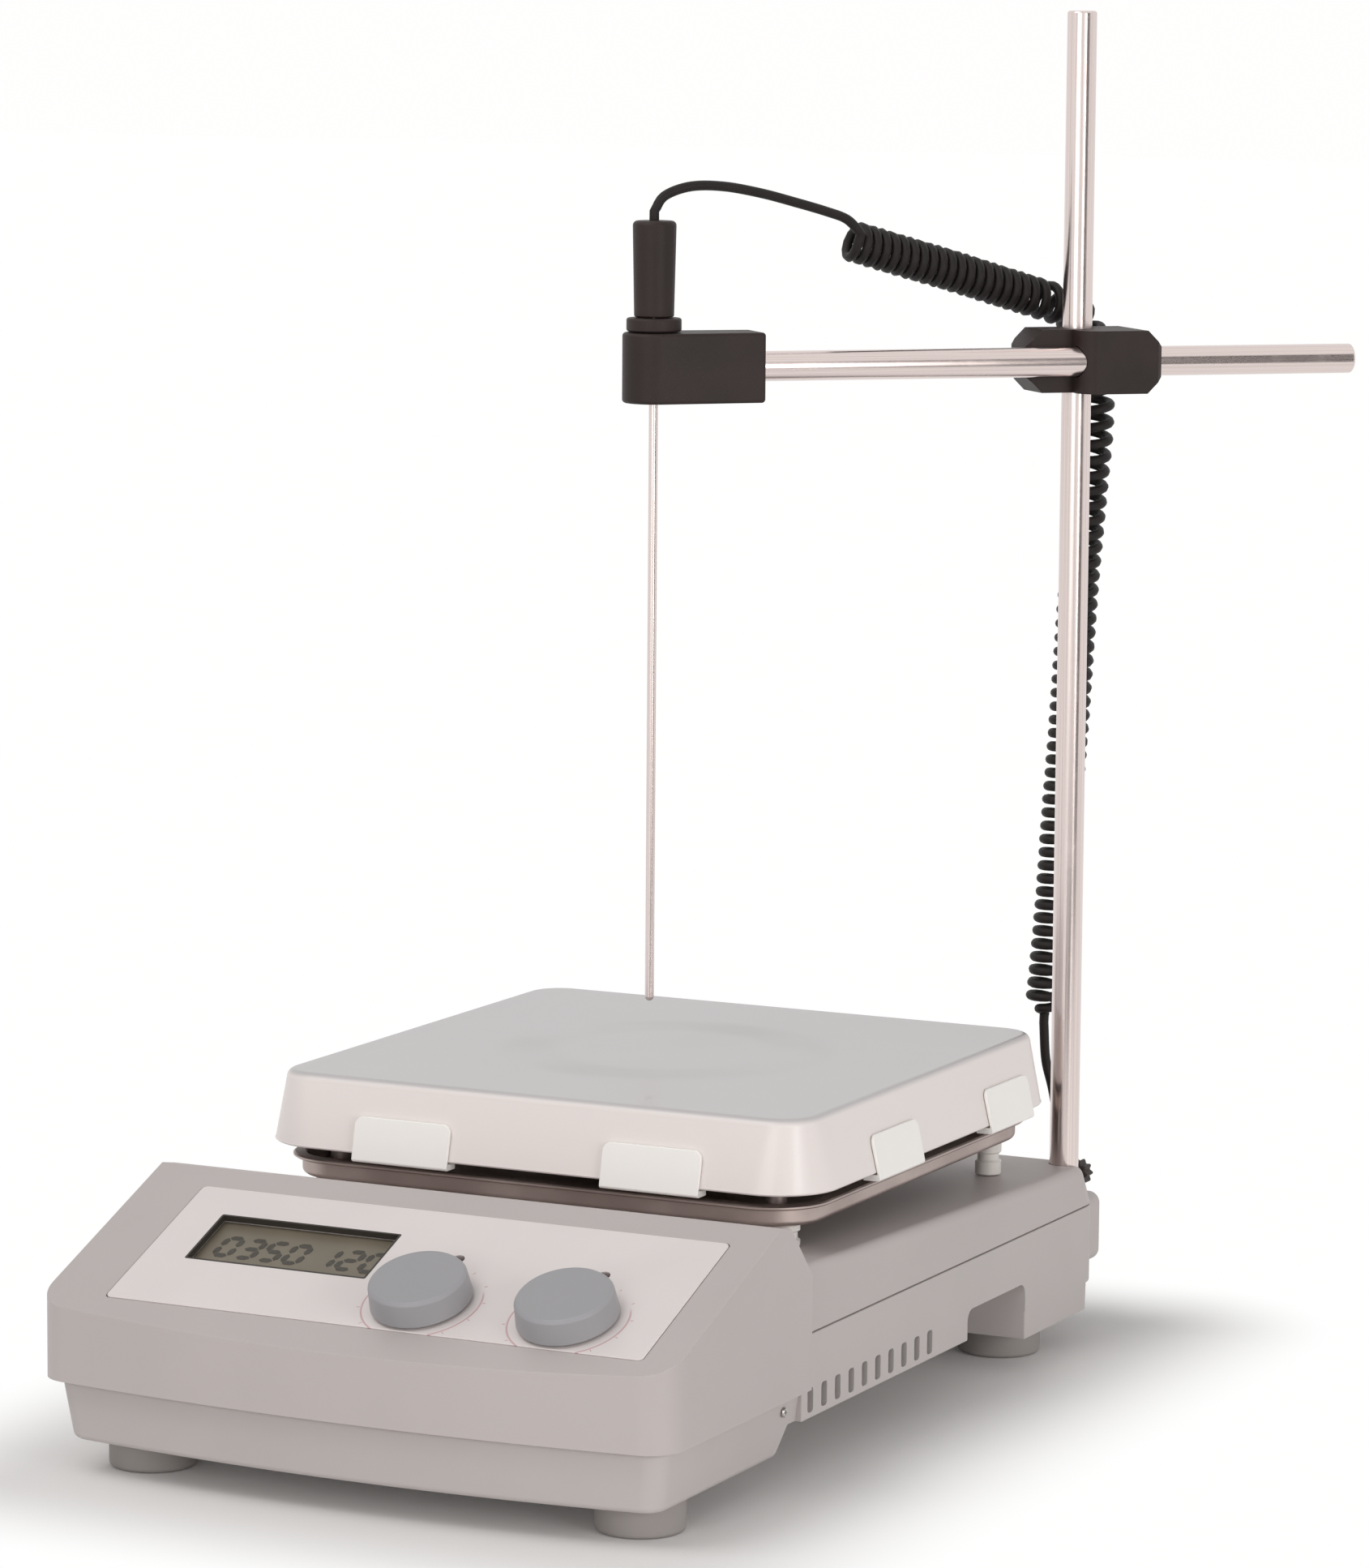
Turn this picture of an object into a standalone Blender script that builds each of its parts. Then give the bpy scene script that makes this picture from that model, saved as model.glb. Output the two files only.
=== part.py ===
"""Hotplate stirrer with a stand rod, a rod clamp, a temperature probe and its curly cord.

The model is drawn about the centre line of the heating plate, in metres, +Z up from the bench.
One empty then moves everything so that the origin is at the middle of the footprint.
"""

import math

import bmesh
import bpy
from mathutils import Matrix, Vector

# Allowances shared by every piece
FIT_GAP = 0.0003
CUT_OVERRUN = 0.004
HOUSING_WALL = 0.0025
RUNNING_CLEARANCE = 0.0003

# Front panel: its width comes from the display and the two knobs beside it
LCD_WIDTH = 0.0640
LCD_TO_PANEL_EDGE = 0.0152
LCD_TO_KNOB = 0.0248
KNOB_SPACING = 0.0503
KNOB_TO_PANEL_EDGE = 0.0321
PANEL_WIDTH = LCD_TO_PANEL_EDGE + LCD_WIDTH + LCD_TO_KNOB + KNOB_SPACING + KNOB_TO_PANEL_EDGE
PANEL_LEFT_MARGIN = 0.0218
PANEL_RIGHT_MARGIN = 0.0123
PANEL_MIDDLE_X = (PANEL_LEFT_MARGIN - PANEL_RIGHT_MARGIN) / 2
LCD_MIDDLE_X = PANEL_MIDDLE_X - PANEL_WIDTH / 2 + LCD_TO_PANEL_EDGE + LCD_WIDTH / 2
KNOB_MIDDLE_X = PANEL_MIDDLE_X + PANEL_WIDTH / 2 - KNOB_TO_PANEL_EDGE - KNOB_SPACING / 2

# Base: one wide nose that carries the controls, and a slightly narrower body behind it
NOSE_WIDTH = PANEL_WIDTH + PANEL_LEFT_MARGIN + PANEL_RIGHT_MARGIN
NOSE_FLARE = 0.0035
BODY_WIDTH = NOSE_WIDTH - 2 * NOSE_FLARE
FRONT_Y = -0.225
FRONT_BOW = 0.008
FRONT_CORNER_RADIUS = 0.012
CREST_Y = -0.141
CREST_Z = 0.086
LIP_Y = -0.217
LIP_Z = 0.0555
NOSE_REAR_Y = -0.118
NOSE_REAR_DROP = 0.0043
NOSE_BACK_LEAN = math.radians(42)
NOSE_EDGE_RADIUS = 0.007
LIP_EDGE_SHARE = 0.4
NOSE_SPLIT_Z = 0.031
BODY_REAR_Y = 0.125
BODY_SPLIT_Z = 0.0473
BODY_CORNER_RADIUS = 0.014
DECK_FRONT_Z = 0.0675
DECK_REAR_Z = 0.0600
DECK_LEAN = 0.004
DECK_EDGE_RADIUS = 0.003
NOSE_OVERLAP = 0.016

# Lower housing
TRAY_SIDE_INSET = 0.0045
TRAY_NOSE_WIDTH = NOSE_WIDTH - 2 * TRAY_SIDE_INSET
TRAY_FRONT_INSET = 0.0045
TRAY_NOSE_DRAFT = 0.0026
TRAY_BOTTOM_Z = 0.011
TRAY_WALL_BOTTOM_Z = 0.0202
TRAY_STEP_Y = -0.130
TRAY_STEP_RUN = 0.007
GRIP_START_Y = 0.010
GRIP_LENGTH = 0.048
GRIP_TOP_Z = 0.0305
GRIP_DEPTH = 0.022
LEG_WIDTH = 0.040
VENT_COUNT = 10
VENT_PITCH = 0.0101
VENT_WIDTH = 0.0042
VENT_START_Y = -0.1135
VENT_BOTTOM_Z = 0.0222
VENT_TOP_Z = 0.0300

# Feet
FOOT_RADIUS = 0.014
FOOT_TAPER = 0.001
FOOT_INSET_X = 0.0245
FRONT_FOOT_Y = -0.187
REAR_FOOT_Y = 0.085

# Control panel, measured on the slope from the crest line downwards
PANEL_HEIGHT = 0.0647
PANEL_FROM_CREST = 0.0108
PANEL_THICKNESS = 0.0012
PANEL_POCKET = 0.0012
PANEL_CORNER_RADIUS = 0.002
LCD_HEIGHT = 0.0250
LCD_FROM_CREST = 0.0381
LCD_WINDOW_THICKNESS = 0.0008
LCD_MODULE_MARGIN = 0.003
LCD_MODULE_THICKNESS = 0.0059
KNOB_FROM_CREST = 0.0595
KNOB_RADIUS = 0.0160
KNOB_TOP_RADIUS = 0.0153
KNOB_HEIGHT = 0.0085
KNOB_EDGE = 0.0010
KNOB_DISH = 0.0003
KNOB_PRESS = 0.0006
KNOB_ROOF = 0.0026
SHAFT_RADIUS = 0.003
SHAFT_HOLE_RADIUS = 0.0036
STEM_RADIUS = 0.0015
LAMP_FROM_CREST = 0.0350
LAMP_RADIUS = 0.0019
LAMP_LENGTH = 0.0040
LAMP_PROUD = 0.0006
BOARD_MARGIN_X = 0.0092
BOARD_MARGIN_Y = 0.00435
BOARD_WIDTH = PANEL_WIDTH - 2 * BOARD_MARGIN_X
BOARD_HEIGHT = PANEL_HEIGHT - 2 * BOARD_MARGIN_Y
BOARD_THICKNESS = 0.0016
ENCODER_SIZE = 0.0125

# Heating plate
PLATE_TOP_Z = 0.110
PLATE_SKIRT_Z = 0.0862
PLATE_SKIRT_SIZE = 0.2014
PLATE_TOP_SIZE = 0.1900
PLATE_CORNER_RADIUS = 0.021
PLATE_TOP_CORNER_RADIUS = 0.012
PLATE_EDGE_RADIUS = 0.003
PLATE_ROOF = 0.006
PLATE_SKIRT_WALL = 0.0022
CLIP_WIDTH = 0.035
CLIP_TOP_Z = 0.0985
CLIP_BOTTOM_Z = 0.0838
CLIP_THICKNESS = 0.0012
CLIP_HOOK = 0.005
CLIP_CORNER = 0.003
CLIP_OFFSET = 0.0450
SIDE_CLIP_SHIFT = 0.012
HEATER_THICKNESS = 0.002
INSULATION_THICKNESS = 0.009
PAN_SIZE = 0.186
PAN_FLANGE = 0.003
PAN_SHEET = 0.0015
PAN_BOTTOM_Z = 0.0745
PAN_RIM_Z = 0.0820
PAN_CORNER_RADIUS = 0.017
PAN_HOLE_RADIUS = 0.042
POST_RADIUS = 0.0035
POST_OFFSET = 0.079
HEATER_POST_GAP = 0.0035
HEATER_SIZE = 2 * (POST_OFFSET - POST_RADIUS - HEATER_POST_GAP)
PILLAR_RADIUS = 0.0045
PILLAR_OFFSET_X = 0.083
PILLAR_OFFSET_Y = 0.080

# Stirring drive
MOTOR_RADIUS = 0.034
MOTOR_FLANGE_RADIUS = 0.050
MOTOR_FLANGE_THICKNESS = 0.003
MOTOR_HEIGHT = 0.030
DECK_HOLE_RADIUS = 0.043
MOTOR_SHAFT_RADIUS = 0.003
MOTOR_SHAFT_SEAT = 0.012
YOKE_LENGTH = 0.068
YOKE_WIDTH = 0.020
YOKE_THICKNESS = 0.004
YOKE_TOP_Z = 0.082
MAGNET_RADIUS = 0.009
MAGNET_HEIGHT = 0.007
MAGNET_OFFSET = 0.024

# Boards and connections
POWER_BOARD_MARGIN = 0.029
POWER_BOARD_WIDTH = BODY_WIDTH - 2 * POWER_BOARD_MARGIN
POWER_BOARD_DEPTH = 0.060
POWER_BOARD_Y = -0.172
TRANSFORMER_SIZE = 0.034
CAPACITOR_RADIUS = 0.006
COMPONENT_HEIGHT = 0.016
REAR_PANEL_INSET = 0.007
REAR_PANEL_WIDTH = BODY_WIDTH - 2 * REAR_PANEL_INSET
REAR_PANEL_BOTTOM_Z = 0.0225
REAR_PANEL_TOP_Z = 0.0465
REAR_PANEL_THICKNESS = 0.0145
REAR_PANEL_CORNER = 0.004
REAR_WINDOW_INSET = 0.008
INLET_X = -0.055
INLET_WIDTH = 0.0270
INLET_HEIGHT = 0.0190
INLET_DEPTH = 0.024
INLET_WALL = 0.0017
INLET_SOCKET_DEPTH = 0.016
INLET_PIN_LENGTH = 0.0095
INLET_PIN_WIDTH = 0.0020
INLET_PIN_HEIGHT = 0.0040
INLET_PIN_SPACING = 0.0070
INLET_PIN_RISE = 0.0020
CONNECTION_PROUD = 0.0005
ROCKER_X = -0.020
ROCKER_WIDTH = 0.0160
ROCKER_HEIGHT = 0.0096
ROCKER_DEPTH = 0.0020
ROCKER_RISE = 0.0015
ROCKER_DIP = 0.0008
ROCKER_TILT = math.radians(10)
ROCKER_HOLE_GAP = 0.0007
SOCKET_RADIUS = 0.0060
SOCKET_LENGTH = 0.020
SOCKET_BORE_RADIUS = 0.0040
SOCKET_BORE_DEPTH = 0.008

# Stand rod and its seat
ROD_INSET = 0.0105
ROD_FROM_REAR = 0.010
ROD_X = BODY_WIDTH / 2 - ROD_INSET
ROD_Y = BODY_REAR_Y - ROD_FROM_REAR
ROD_RADIUS = 0.005
ROD_TOP_Z = 0.454
ROD_END_CHAMFER = 0.0006
ROD_BOSS_RADIUS = 0.009
ROD_SOCKET_RADIUS = 0.0070
LOCK_SCREW_Z = 0.0550
LOCK_SCREW_RADIUS = 0.0020
LOCK_HEAD_RADIUS = 0.0043
LOCK_HEAD_LENGTH = 0.0065

# Clamp and arm, drawn in a frame whose X runs along the arm and whose origin is on the stand rod
ARM_Z = 0.337
ARM_TURN = math.radians(44)
ARM_OFFSET = 0.0115
ARM_TAIL = 0.0954
CLAMP_LEFT = 0.021
CLAMP_RIGHT = 0.024
CLAMP_REAR = 0.009
CLAMP_FRONT = 0.0185
CLAMP_HALF_HEIGHT = 0.0106
CLAMP_CHAMFER = 0.0055
CLAMP_WING_FACE = 0.008
CLAMP_CHEEK_START = 0.0045
CLAMP_CHEEK_RADIUS = 0.006
CLAMP_EDGE = 0.0018
CLAMP_SCREW_RADIUS = 0.0025
CLAMP_SCREW_HEAD_RADIUS = 0.0053
CLAMP_SCREW_HEAD_LENGTH = 0.007
ARM_SCREW_X = -0.0125
GRIP_LOBES = 10
GRIP_LOBE_DEPTH = 0.0005

# Probe and its holder
PROBE_REACH = 0.1535
ARM_SHORT_OF_PROBE = 0.010
ARM_REACH = PROBE_REACH - ARM_SHORT_OF_PROBE
HOLDER_BOSS_RADIUS = 0.0104
HOLDER_LENGTH = 0.0362
HOLDER_END_HALF_THICKNESS = 0.0088
HOLDER_HALF_HEIGHT = 0.0116
HOLDER_EDGE = 0.0012
PROBE_RADIUS = 0.0015
PROBE_TIP_Z = 0.126
PROBE_TIP_LENGTH = 0.003
COLLAR_RADIUS = 0.0091
COLLAR_HEIGHT = 0.0045
COLLAR_EDGE = 0.0005
HANDLE_HEIGHT = 0.0315
HANDLE_BOTTOM_RADIUS = 0.0066
HANDLE_TOP_RADIUS = 0.0072
HANDLE_EDGE = 0.0008
HANDLE_SOCKET_DEPTH = 0.010

# Probe cord
CORD_RADIUS = 0.0015
CURL_RADIUS = 0.0055
CURL_POINTS = 8
TIGHT_PITCH = 0.0037
BEND_PITCH = 0.0063
HANGING_PITCH = 0.0053
LOWER_PITCH = 0.0047
TIGHT_UNTIL_SHARE = 0.205
BEND_FROM_SHARE = 0.235
BEND_UNTIL_SHARE = 0.31
HANGING_UNTIL_SHARE = 0.45
LOWER_FROM_SHARE = 0.70
CURL_LEAVES_OVER = 0.0055
ROUTE_SPACING = 0.0066
PLUG_NOSE_RADIUS = 0.0036
PLUG_NOSE_LENGTH = 0.006
PLUG_BODY_RADIUS = 0.0060
PLUG_BODY_END = 0.0060
PLUG_EDGE = 0.0008
PLUG_OUTLET_RADIUS = 0.0042
PLUG_RELIEF_TOP_RADIUS = 0.0026
PLUG_RELIEF_HEIGHT = 0.0195

# Routes of the cord, points chosen by hand along the way that it takes
LEAD_ROUTE = (
    (-0.00655, 0.0005, 0.3857),
    (-0.00645, 0.0006, 0.3889),
    (-0.00425, 0.0035, 0.3932),
    (0.00195, 0.0100, 0.3962),
    (0.00935, 0.0195, 0.3961),
    (0.01735, 0.0315, 0.3937),
    (0.02495, 0.0435, 0.3903),
    (0.03125, 0.0535, 0.3872),
    (0.03545, 0.0603, 0.3845),
)
CURL_ROUTE = (
    (0.03325, 0.0683, 0.3771),
    (0.04465, 0.0828, 0.3719),
    (0.05615, 0.0974, 0.3668),
    (0.06775, 0.1121, 0.3613),
    (0.07735, 0.1246, 0.3567),
    (0.08285, 0.1324, 0.3537),
    (0.08755, 0.1378, 0.3487),
    (0.09045, 0.1400, 0.3405),
    (0.09195, 0.1408, 0.3290),
    (0.09185, 0.1411, 0.3120),
    (0.09025, 0.1418, 0.2960),
    (0.08865, 0.1425, 0.2804),
    (0.08655, 0.1436, 0.2606),
    (0.08445, 0.1449, 0.2351),
    (0.08235, 0.1460, 0.2066),
    (0.07985, 0.1471, 0.1779),
    (0.07765, 0.1483, 0.1491),
    (0.07535, 0.1495, 0.1259),
    (0.07395, 0.1503, 0.1140),
    (0.07295, 0.1508, 0.1050),
)
TAIL_ROUTE = (
    (0.07265, 0.1510, 0.0985),
    (0.07355, 0.1514, 0.0890),
    (0.07585, 0.1522, 0.0790),
    (0.07755, 0.1528, 0.0690),
    (0.07805, 0.1529, 0.0620),
    (0.07805, 0.1529, 0.0570),
)

# Facets
ROD_SIDES = 20
ROUND_SIDES = 24
SMALL_SIDES = 12
KNOB_SIDES = 36
CORNER_STEPS = 4
BOW_STEPS = 8

PANEL_SLOPE = math.atan2(CREST_Z - LIP_Z, CREST_Y - LIP_Y)
DECK_FALL = (DECK_FRONT_Z - DECK_REAR_Z) / (BODY_REAR_Y - NOSE_REAR_Y)


def deck_height(y):
    """Height of the sloping deck at a distance y behind the plate's centre."""
    return DECK_FRONT_Z - (y - NOSE_REAR_Y) * DECK_FALL


def skirt_half(z):
    """Half width of the plate's leaning skirt at a height z."""
    share = (z - PLATE_SKIRT_Z) / (PLATE_TOP_Z - PLATE_SKIRT_Z)
    return (PLATE_SKIRT_SIZE + share * (PLATE_TOP_SIZE - PLATE_SKIRT_SIZE)) / 2


def skirt_corner(z):
    """Corner radius of the plate's skirt at a height z."""
    share = (z - PLATE_SKIRT_Z) / (PLATE_TOP_Z - PLATE_SKIRT_Z)
    return PLATE_CORNER_RADIUS + share * (PLATE_TOP_CORNER_RADIUS - PLATE_CORNER_RADIUS)


# Materials


def make_material(name, colour, roughness, metallic=0.0, alpha=1.0):
    """A Principled BSDF with one colour."""
    material = bpy.data.materials.new(name)
    material.use_nodes = True
    shader = material.node_tree.nodes["Principled BSDF"]
    shader.inputs["Base Color"].default_value = (*colour, 1.0)
    shader.inputs["Roughness"].default_value = roughness
    shader.inputs["Metallic"].default_value = metallic
    shader.inputs["Alpha"].default_value = alpha
    return material


def make_materials():
    """All finishes by name."""
    return {
        "housing": make_material("housing_grey", (0.50, 0.49, 0.49), 0.45),
        "tray": make_material("tray_grey", (0.46, 0.45, 0.45), 0.5),
        "panel": make_material("panel_white", (0.80, 0.76, 0.77), 0.4),
        "lens": make_material("display_lens", (0.75, 0.78, 0.70), 0.1, 0.0, 0.35),
        "display": make_material("display_olive", (0.20, 0.19, 0.12), 0.4),
        "board": make_material("board_green", (0.03, 0.20, 0.09), 0.5),
        "knob": make_material("knob_grey", (0.33, 0.35, 0.38), 0.4),
        "lamp": make_material("lamp_dark", (0.03, 0.02, 0.02), 0.2),
        "rubber": make_material("rubber_grey", (0.16, 0.16, 0.16), 0.8),
        "plate": make_material("plate_enamel", (0.72, 0.70, 0.70), 0.35),
        "clip": make_material("clip_white", (0.86, 0.85, 0.83), 0.4),
        "steel": make_material("steel", (0.62, 0.60, 0.59), 0.25, 1.0),
        "pan": make_material("pan_steel", (0.30, 0.28, 0.28), 0.4, 1.0),
        "ceramic": make_material("pillar_ceramic", (0.85, 0.84, 0.82), 0.5),
        "mica": make_material("heater_mica", (0.42, 0.36, 0.28), 0.7),
        "wool": make_material("insulation_wool", (0.80, 0.78, 0.72), 0.95),
        "motor": make_material("motor_case", (0.35, 0.35, 0.36), 0.4, 1.0),
        "magnet": make_material("magnet_nickel", (0.55, 0.53, 0.50), 0.3, 1.0),
        "black": make_material("black_plastic", (0.035, 0.03, 0.03), 0.5),
        "cord": make_material("cord_black", (0.012, 0.012, 0.012), 0.55),
        "brass": make_material("socket_brass", (0.60, 0.47, 0.22), 0.35, 1.0),
    }


# Mesh helpers


def make_object(name, shape, material=None, parent=None, location=(0, 0, 0), rotation=(0, 0, 0)):
    """Turns a bmesh into a named, smooth shaded object."""
    bmesh.ops.remove_doubles(shape, verts=shape.verts, dist=FIT_GAP / 30)
    bmesh.ops.recalc_face_normals(shape, faces=shape.faces)
    mesh = bpy.data.meshes.new(name)
    shape.to_mesh(mesh)
    shape.free()
    mesh.shade_smooth()
    mesh.set_sharp_from_angle(angle=math.radians(32))
    if material:
        mesh.materials.append(material)
    piece = bpy.data.objects.new(name, mesh)
    bpy.context.collection.objects.link(piece)
    piece.parent = parent
    piece.location = location
    piece.rotation_euler = rotation
    return piece


def make_empty(name, parent=None, location=(0, 0, 0), rotation=(0, 0, 0)):
    """A frame that pieces are placed in."""
    frame = bpy.data.objects.new(name, None)
    bpy.context.collection.objects.link(frame)
    frame.parent = parent
    frame.location = location
    frame.rotation_euler = rotation
    return frame


def boolean(piece, tool, operation="DIFFERENCE"):
    """Adds a live Boolean and hides its tool from the model."""
    step = piece.modifiers.new(operation.lower(), "BOOLEAN")
    step.operation = operation
    step.object = tool
    tool.hide_render = True
    tool.display_type = "WIRE"
    return step


def arc(centre_x, centre_y, radius, start, end, steps):
    """Points on an arc, angles in degrees."""
    points = []
    for step in range(steps + 1):
        angle = math.radians(start + (end - start) * step / steps)
        points.append((centre_x + radius * math.cos(angle), centre_y + radius * math.sin(angle)))
    return points


def rounded_rectangle(width, depth, radius, steps=CORNER_STEPS, centre=(0, 0)):
    """Anticlockwise outline of a rectangle with round corners."""
    x, y = width / 2 - radius, depth / 2 - radius
    middle_x, middle_y = centre
    points = []
    for side_x, side_y, start in ((1, -1, -90), (1, 1, 0), (-1, 1, 90), (-1, -1, 180)):
        points += arc(middle_x + side_x * x, middle_y + side_y * y, radius, start, start + 90, steps)
    return points


def bowed_outline(half_width, front_y, rear_y, corner, bow):
    """Anticlockwise plan of a block with a bowed front and round front corners."""
    reach = half_width - corner
    corner_y = front_y + bow * (reach / half_width) ** 2
    points = [(-half_width, rear_y)]
    points += arc(-reach, corner_y + corner, corner, 180, 270, CORNER_STEPS)
    for step in range(1, BOW_STEPS):
        x = -reach + 2 * reach * step / BOW_STEPS
        points.append((x, front_y + bow * (x / half_width) ** 2))
    points += arc(reach, corner_y + corner, corner, 270, 360, CORNER_STEPS)
    points.append((half_width, rear_y))
    return points


def body_outline(half_width, front_y, rear_y, corner):
    """Anticlockwise plan of a block with round rear corners."""
    points = [(-half_width, front_y), (half_width, front_y)]
    points += arc(half_width - corner, rear_y - corner, corner, 0, 90, CORNER_STEPS)
    points += arc(corner - half_width, rear_y - corner, corner, 90, 180, CORNER_STEPS)
    return points


def loft(rings):
    """A closed skin through rings of equal count, capped at both ends."""
    shape = bmesh.new()
    rows = [[shape.verts.new(point) for point in ring] for ring in rings]
    for lower, upper in zip(rows, rows[1:]):
        for index, corner in enumerate(lower):
            following = (index + 1) % len(lower)
            shape.faces.new((corner, lower[following], upper[following], upper[index]))
    shape.faces.new(list(reversed(rows[0])))
    shape.faces.new(rows[-1])
    return shape


def at_height(outline, z):
    """A plan outline as a ring at one height."""
    return [(x, y, z) for x, y in outline]


def prism(outline, bottom, top):
    """A plan outline made solid between two heights."""
    return loft([at_height(outline, bottom), at_height(outline, top)])


def box(x_range, y_range, z_range):
    """A plain block between two corners."""
    outline = [
        (x_range[0], y_range[0]),
        (x_range[1], y_range[0]),
        (x_range[1], y_range[1]),
        (x_range[0], y_range[1]),
    ]
    return prism(outline, z_range[0], z_range[1])


def turned(profile, sides=ROUND_SIDES):
    """A body turned about Z from (radius, height) points, which start and end on the axis or close up."""
    shape = bmesh.new()
    rows = []
    for radius, height in profile:
        if radius == 0:
            rows.append([shape.verts.new((0, 0, height))])
            continue
        row = []
        for side in range(sides):
            angle = 2 * math.pi * side / sides
            row.append(shape.verts.new((radius * math.cos(angle), radius * math.sin(angle), height)))
        rows.append(row)
    pairs = list(zip(rows, rows[1:]))
    if len(rows[0]) > 1:
        pairs.append((rows[-1], rows[0]))
    for lower, upper in pairs:
        for side in range(sides):
            following = (side + 1) % sides
            corners = [lower[side % len(lower)], lower[following % len(lower)]]
            corners += [upper[following % len(upper)], upper[side % len(upper)]]
            unique = list(dict.fromkeys(corners))
            shape.faces.new(unique)
    return shape


def rod_profile(radius, bottom, top, chamfer):
    """Profile of a round bar with broken ends."""
    return [
        (0, bottom),
        (radius - chamfer, bottom),
        (radius, bottom + chamfer),
        (radius, top - chamfer),
        (radius - chamfer, top),
        (0, top),
    ]


def join_shapes(*shapes):
    """Several closed skins in one bmesh, for a cutter that cuts in several places."""
    whole = bmesh.new()
    for shape in shapes:
        carrier = bpy.data.meshes.new("carrier")
        shape.to_mesh(carrier)
        shape.free()
        whole.from_mesh(carrier)
        bpy.data.meshes.remove(carrier)
    return whole


def moved(shape, offset=(0, 0, 0), turn=None):
    """The same bmesh after a turn and a shift."""
    if turn:
        bmesh.ops.transform(shape, matrix=turn, verts=shape.verts)
    bmesh.ops.translate(shape, vec=offset, verts=shape.verts)
    return shape


def slice_off(shape, point, normal):
    """Removes what lies on the side that the normal points to, and closes the cut."""
    parts = list(shape.verts) + list(shape.edges) + list(shape.faces)
    cut = bmesh.ops.bisect_plane(
        shape, geom=parts, plane_co=point, plane_no=normal, clear_outer=True, dist=FIT_GAP / 30
    )
    edges = [part for part in cut["geom_cut"] if isinstance(part, bmesh.types.BMEdge)]
    bmesh.ops.edgeloop_fill(shape, edges=edges)
    return shape


def weigh_edges(shape, weight_of):
    """Stores a bevel weight for each edge from its two faces and its middle."""
    layer = shape.edges.layers.float.new("bevel_weight_edge")
    shape.normal_update()
    for edge in shape.edges:
        if len(edge.link_faces) != 2:
            continue
        first, second = (face.normal for face in edge.link_faces)
        middle = (edge.verts[0].co + edge.verts[1].co) / 2
        edge[layer] = weight_of(first, second, middle)
    return shape


def bevel_by_weight(piece, width, segments=3):
    """Rounds the weighted edges of a piece."""
    step = piece.modifiers.new("rounding", "BEVEL")
    step.limit_method = "WEIGHT"
    step.width = width
    step.segments = segments
    step.use_clamp_overlap = True
    return step


def bevel_by_angle(piece, width, segments=2, angle=40):
    """Rounds every edge that is sharper than an angle in degrees."""
    step = piece.modifiers.new("rounding", "BEVEL")
    step.limit_method = "ANGLE"
    step.angle_limit = math.radians(angle)
    step.width = width
    step.segments = segments
    return step


def lobed_outline(radius, lobes, depth):
    """Outline of a grip with shallow lobes."""
    points = []
    count = lobes * 4
    for step in range(count):
        angle = 2 * math.pi * step / count
        swell = depth * math.cos(lobes * angle)
        points.append(((radius + swell) * math.cos(angle), (radius + swell) * math.sin(angle)))
    return points


# Base housing


def top_weight(first, second, middle):
    """Full rounding along the nose's top edges, less along its front lip."""
    upward = max(first.z, second.z)
    flattest = min(abs(first.z), abs(second.z))
    if upward < 0.5 or flattest > 0.5 or min(first.y, second.y) > 0.5:
        return 0.0
    if middle.y < FRONT_Y + FRONT_BOW + FRONT_CORNER_RADIUS and abs(middle.x) < NOSE_WIDTH / 2 - HOUSING_WALL:
        return LIP_EDGE_SHARE
    return 1.0


def nose_block(inset, bottom, name, width):
    """The nose as a block, drawn a distance inside its true skin."""
    half = NOSE_WIDTH / 2 - inset
    corner = FRONT_CORNER_RADIUS - inset
    outline = bowed_outline(half, FRONT_Y + inset, NOSE_REAR_Y - inset, corner, FRONT_BOW)
    shape = prism(outline, bottom, CREST_Z + NOSE_OVERLAP)
    slope = Vector((0, -math.sin(PANEL_SLOPE), math.cos(PANEL_SLOPE)))
    crest = Vector((0, CREST_Y, CREST_Z))
    slice_off(shape, crest - slope * inset, slope)
    fall = math.atan2(NOSE_REAR_DROP, NOSE_REAR_Y - CREST_Y)
    back = Vector((0, math.sin(fall), math.cos(fall)))
    slice_off(shape, crest - back * inset, back)
    lean = Vector((0, math.cos(NOSE_BACK_LEAN), math.sin(NOSE_BACK_LEAN)))
    slice_off(shape, Vector((0, NOSE_REAR_Y, DECK_FRONT_Z)) - lean * inset, lean)
    weigh_edges(shape, top_weight)
    piece = make_object(name, shape)
    bevel_by_weight(piece, width)
    return piece


def deck_block(inset, bottom, front_y, name):
    """The rear body's upper part as a block, leaning in towards the deck."""
    half = BODY_WIDTH / 2 - inset
    corner = BODY_CORNER_RADIUS - inset
    rear = BODY_REAR_Y - inset
    top = CREST_Z
    lean = DECK_LEAN * (top - BODY_SPLIT_Z) / (DECK_FRONT_Z - BODY_SPLIT_Z)
    drop = DECK_LEAN * (BODY_SPLIT_Z - bottom) / (DECK_FRONT_Z - BODY_SPLIT_Z)
    wide = body_outline(half + (drop if inset else 0), front_y, rear + (drop if inset else 0), corner)
    narrow = body_outline(half - lean, front_y, rear - lean, corner)
    shape = loft([at_height(wide, bottom), at_height(narrow, top)])
    fall = math.atan(DECK_FALL)
    normal = Vector((0, math.sin(fall), math.cos(fall)))
    surface = Vector((0, NOSE_REAR_Y, DECK_FRONT_Z))
    slice_off(shape, surface - normal * inset, normal)
    weigh_edges(shape, lambda first, second, middle: float(max(first.z, second.z) > 0.9 > min(first.z, second.z)))
    piece = make_object(name, shape)
    if not inset:
        bevel_by_weight(piece, DECK_EDGE_RADIUS, 2)
    return piece


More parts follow.
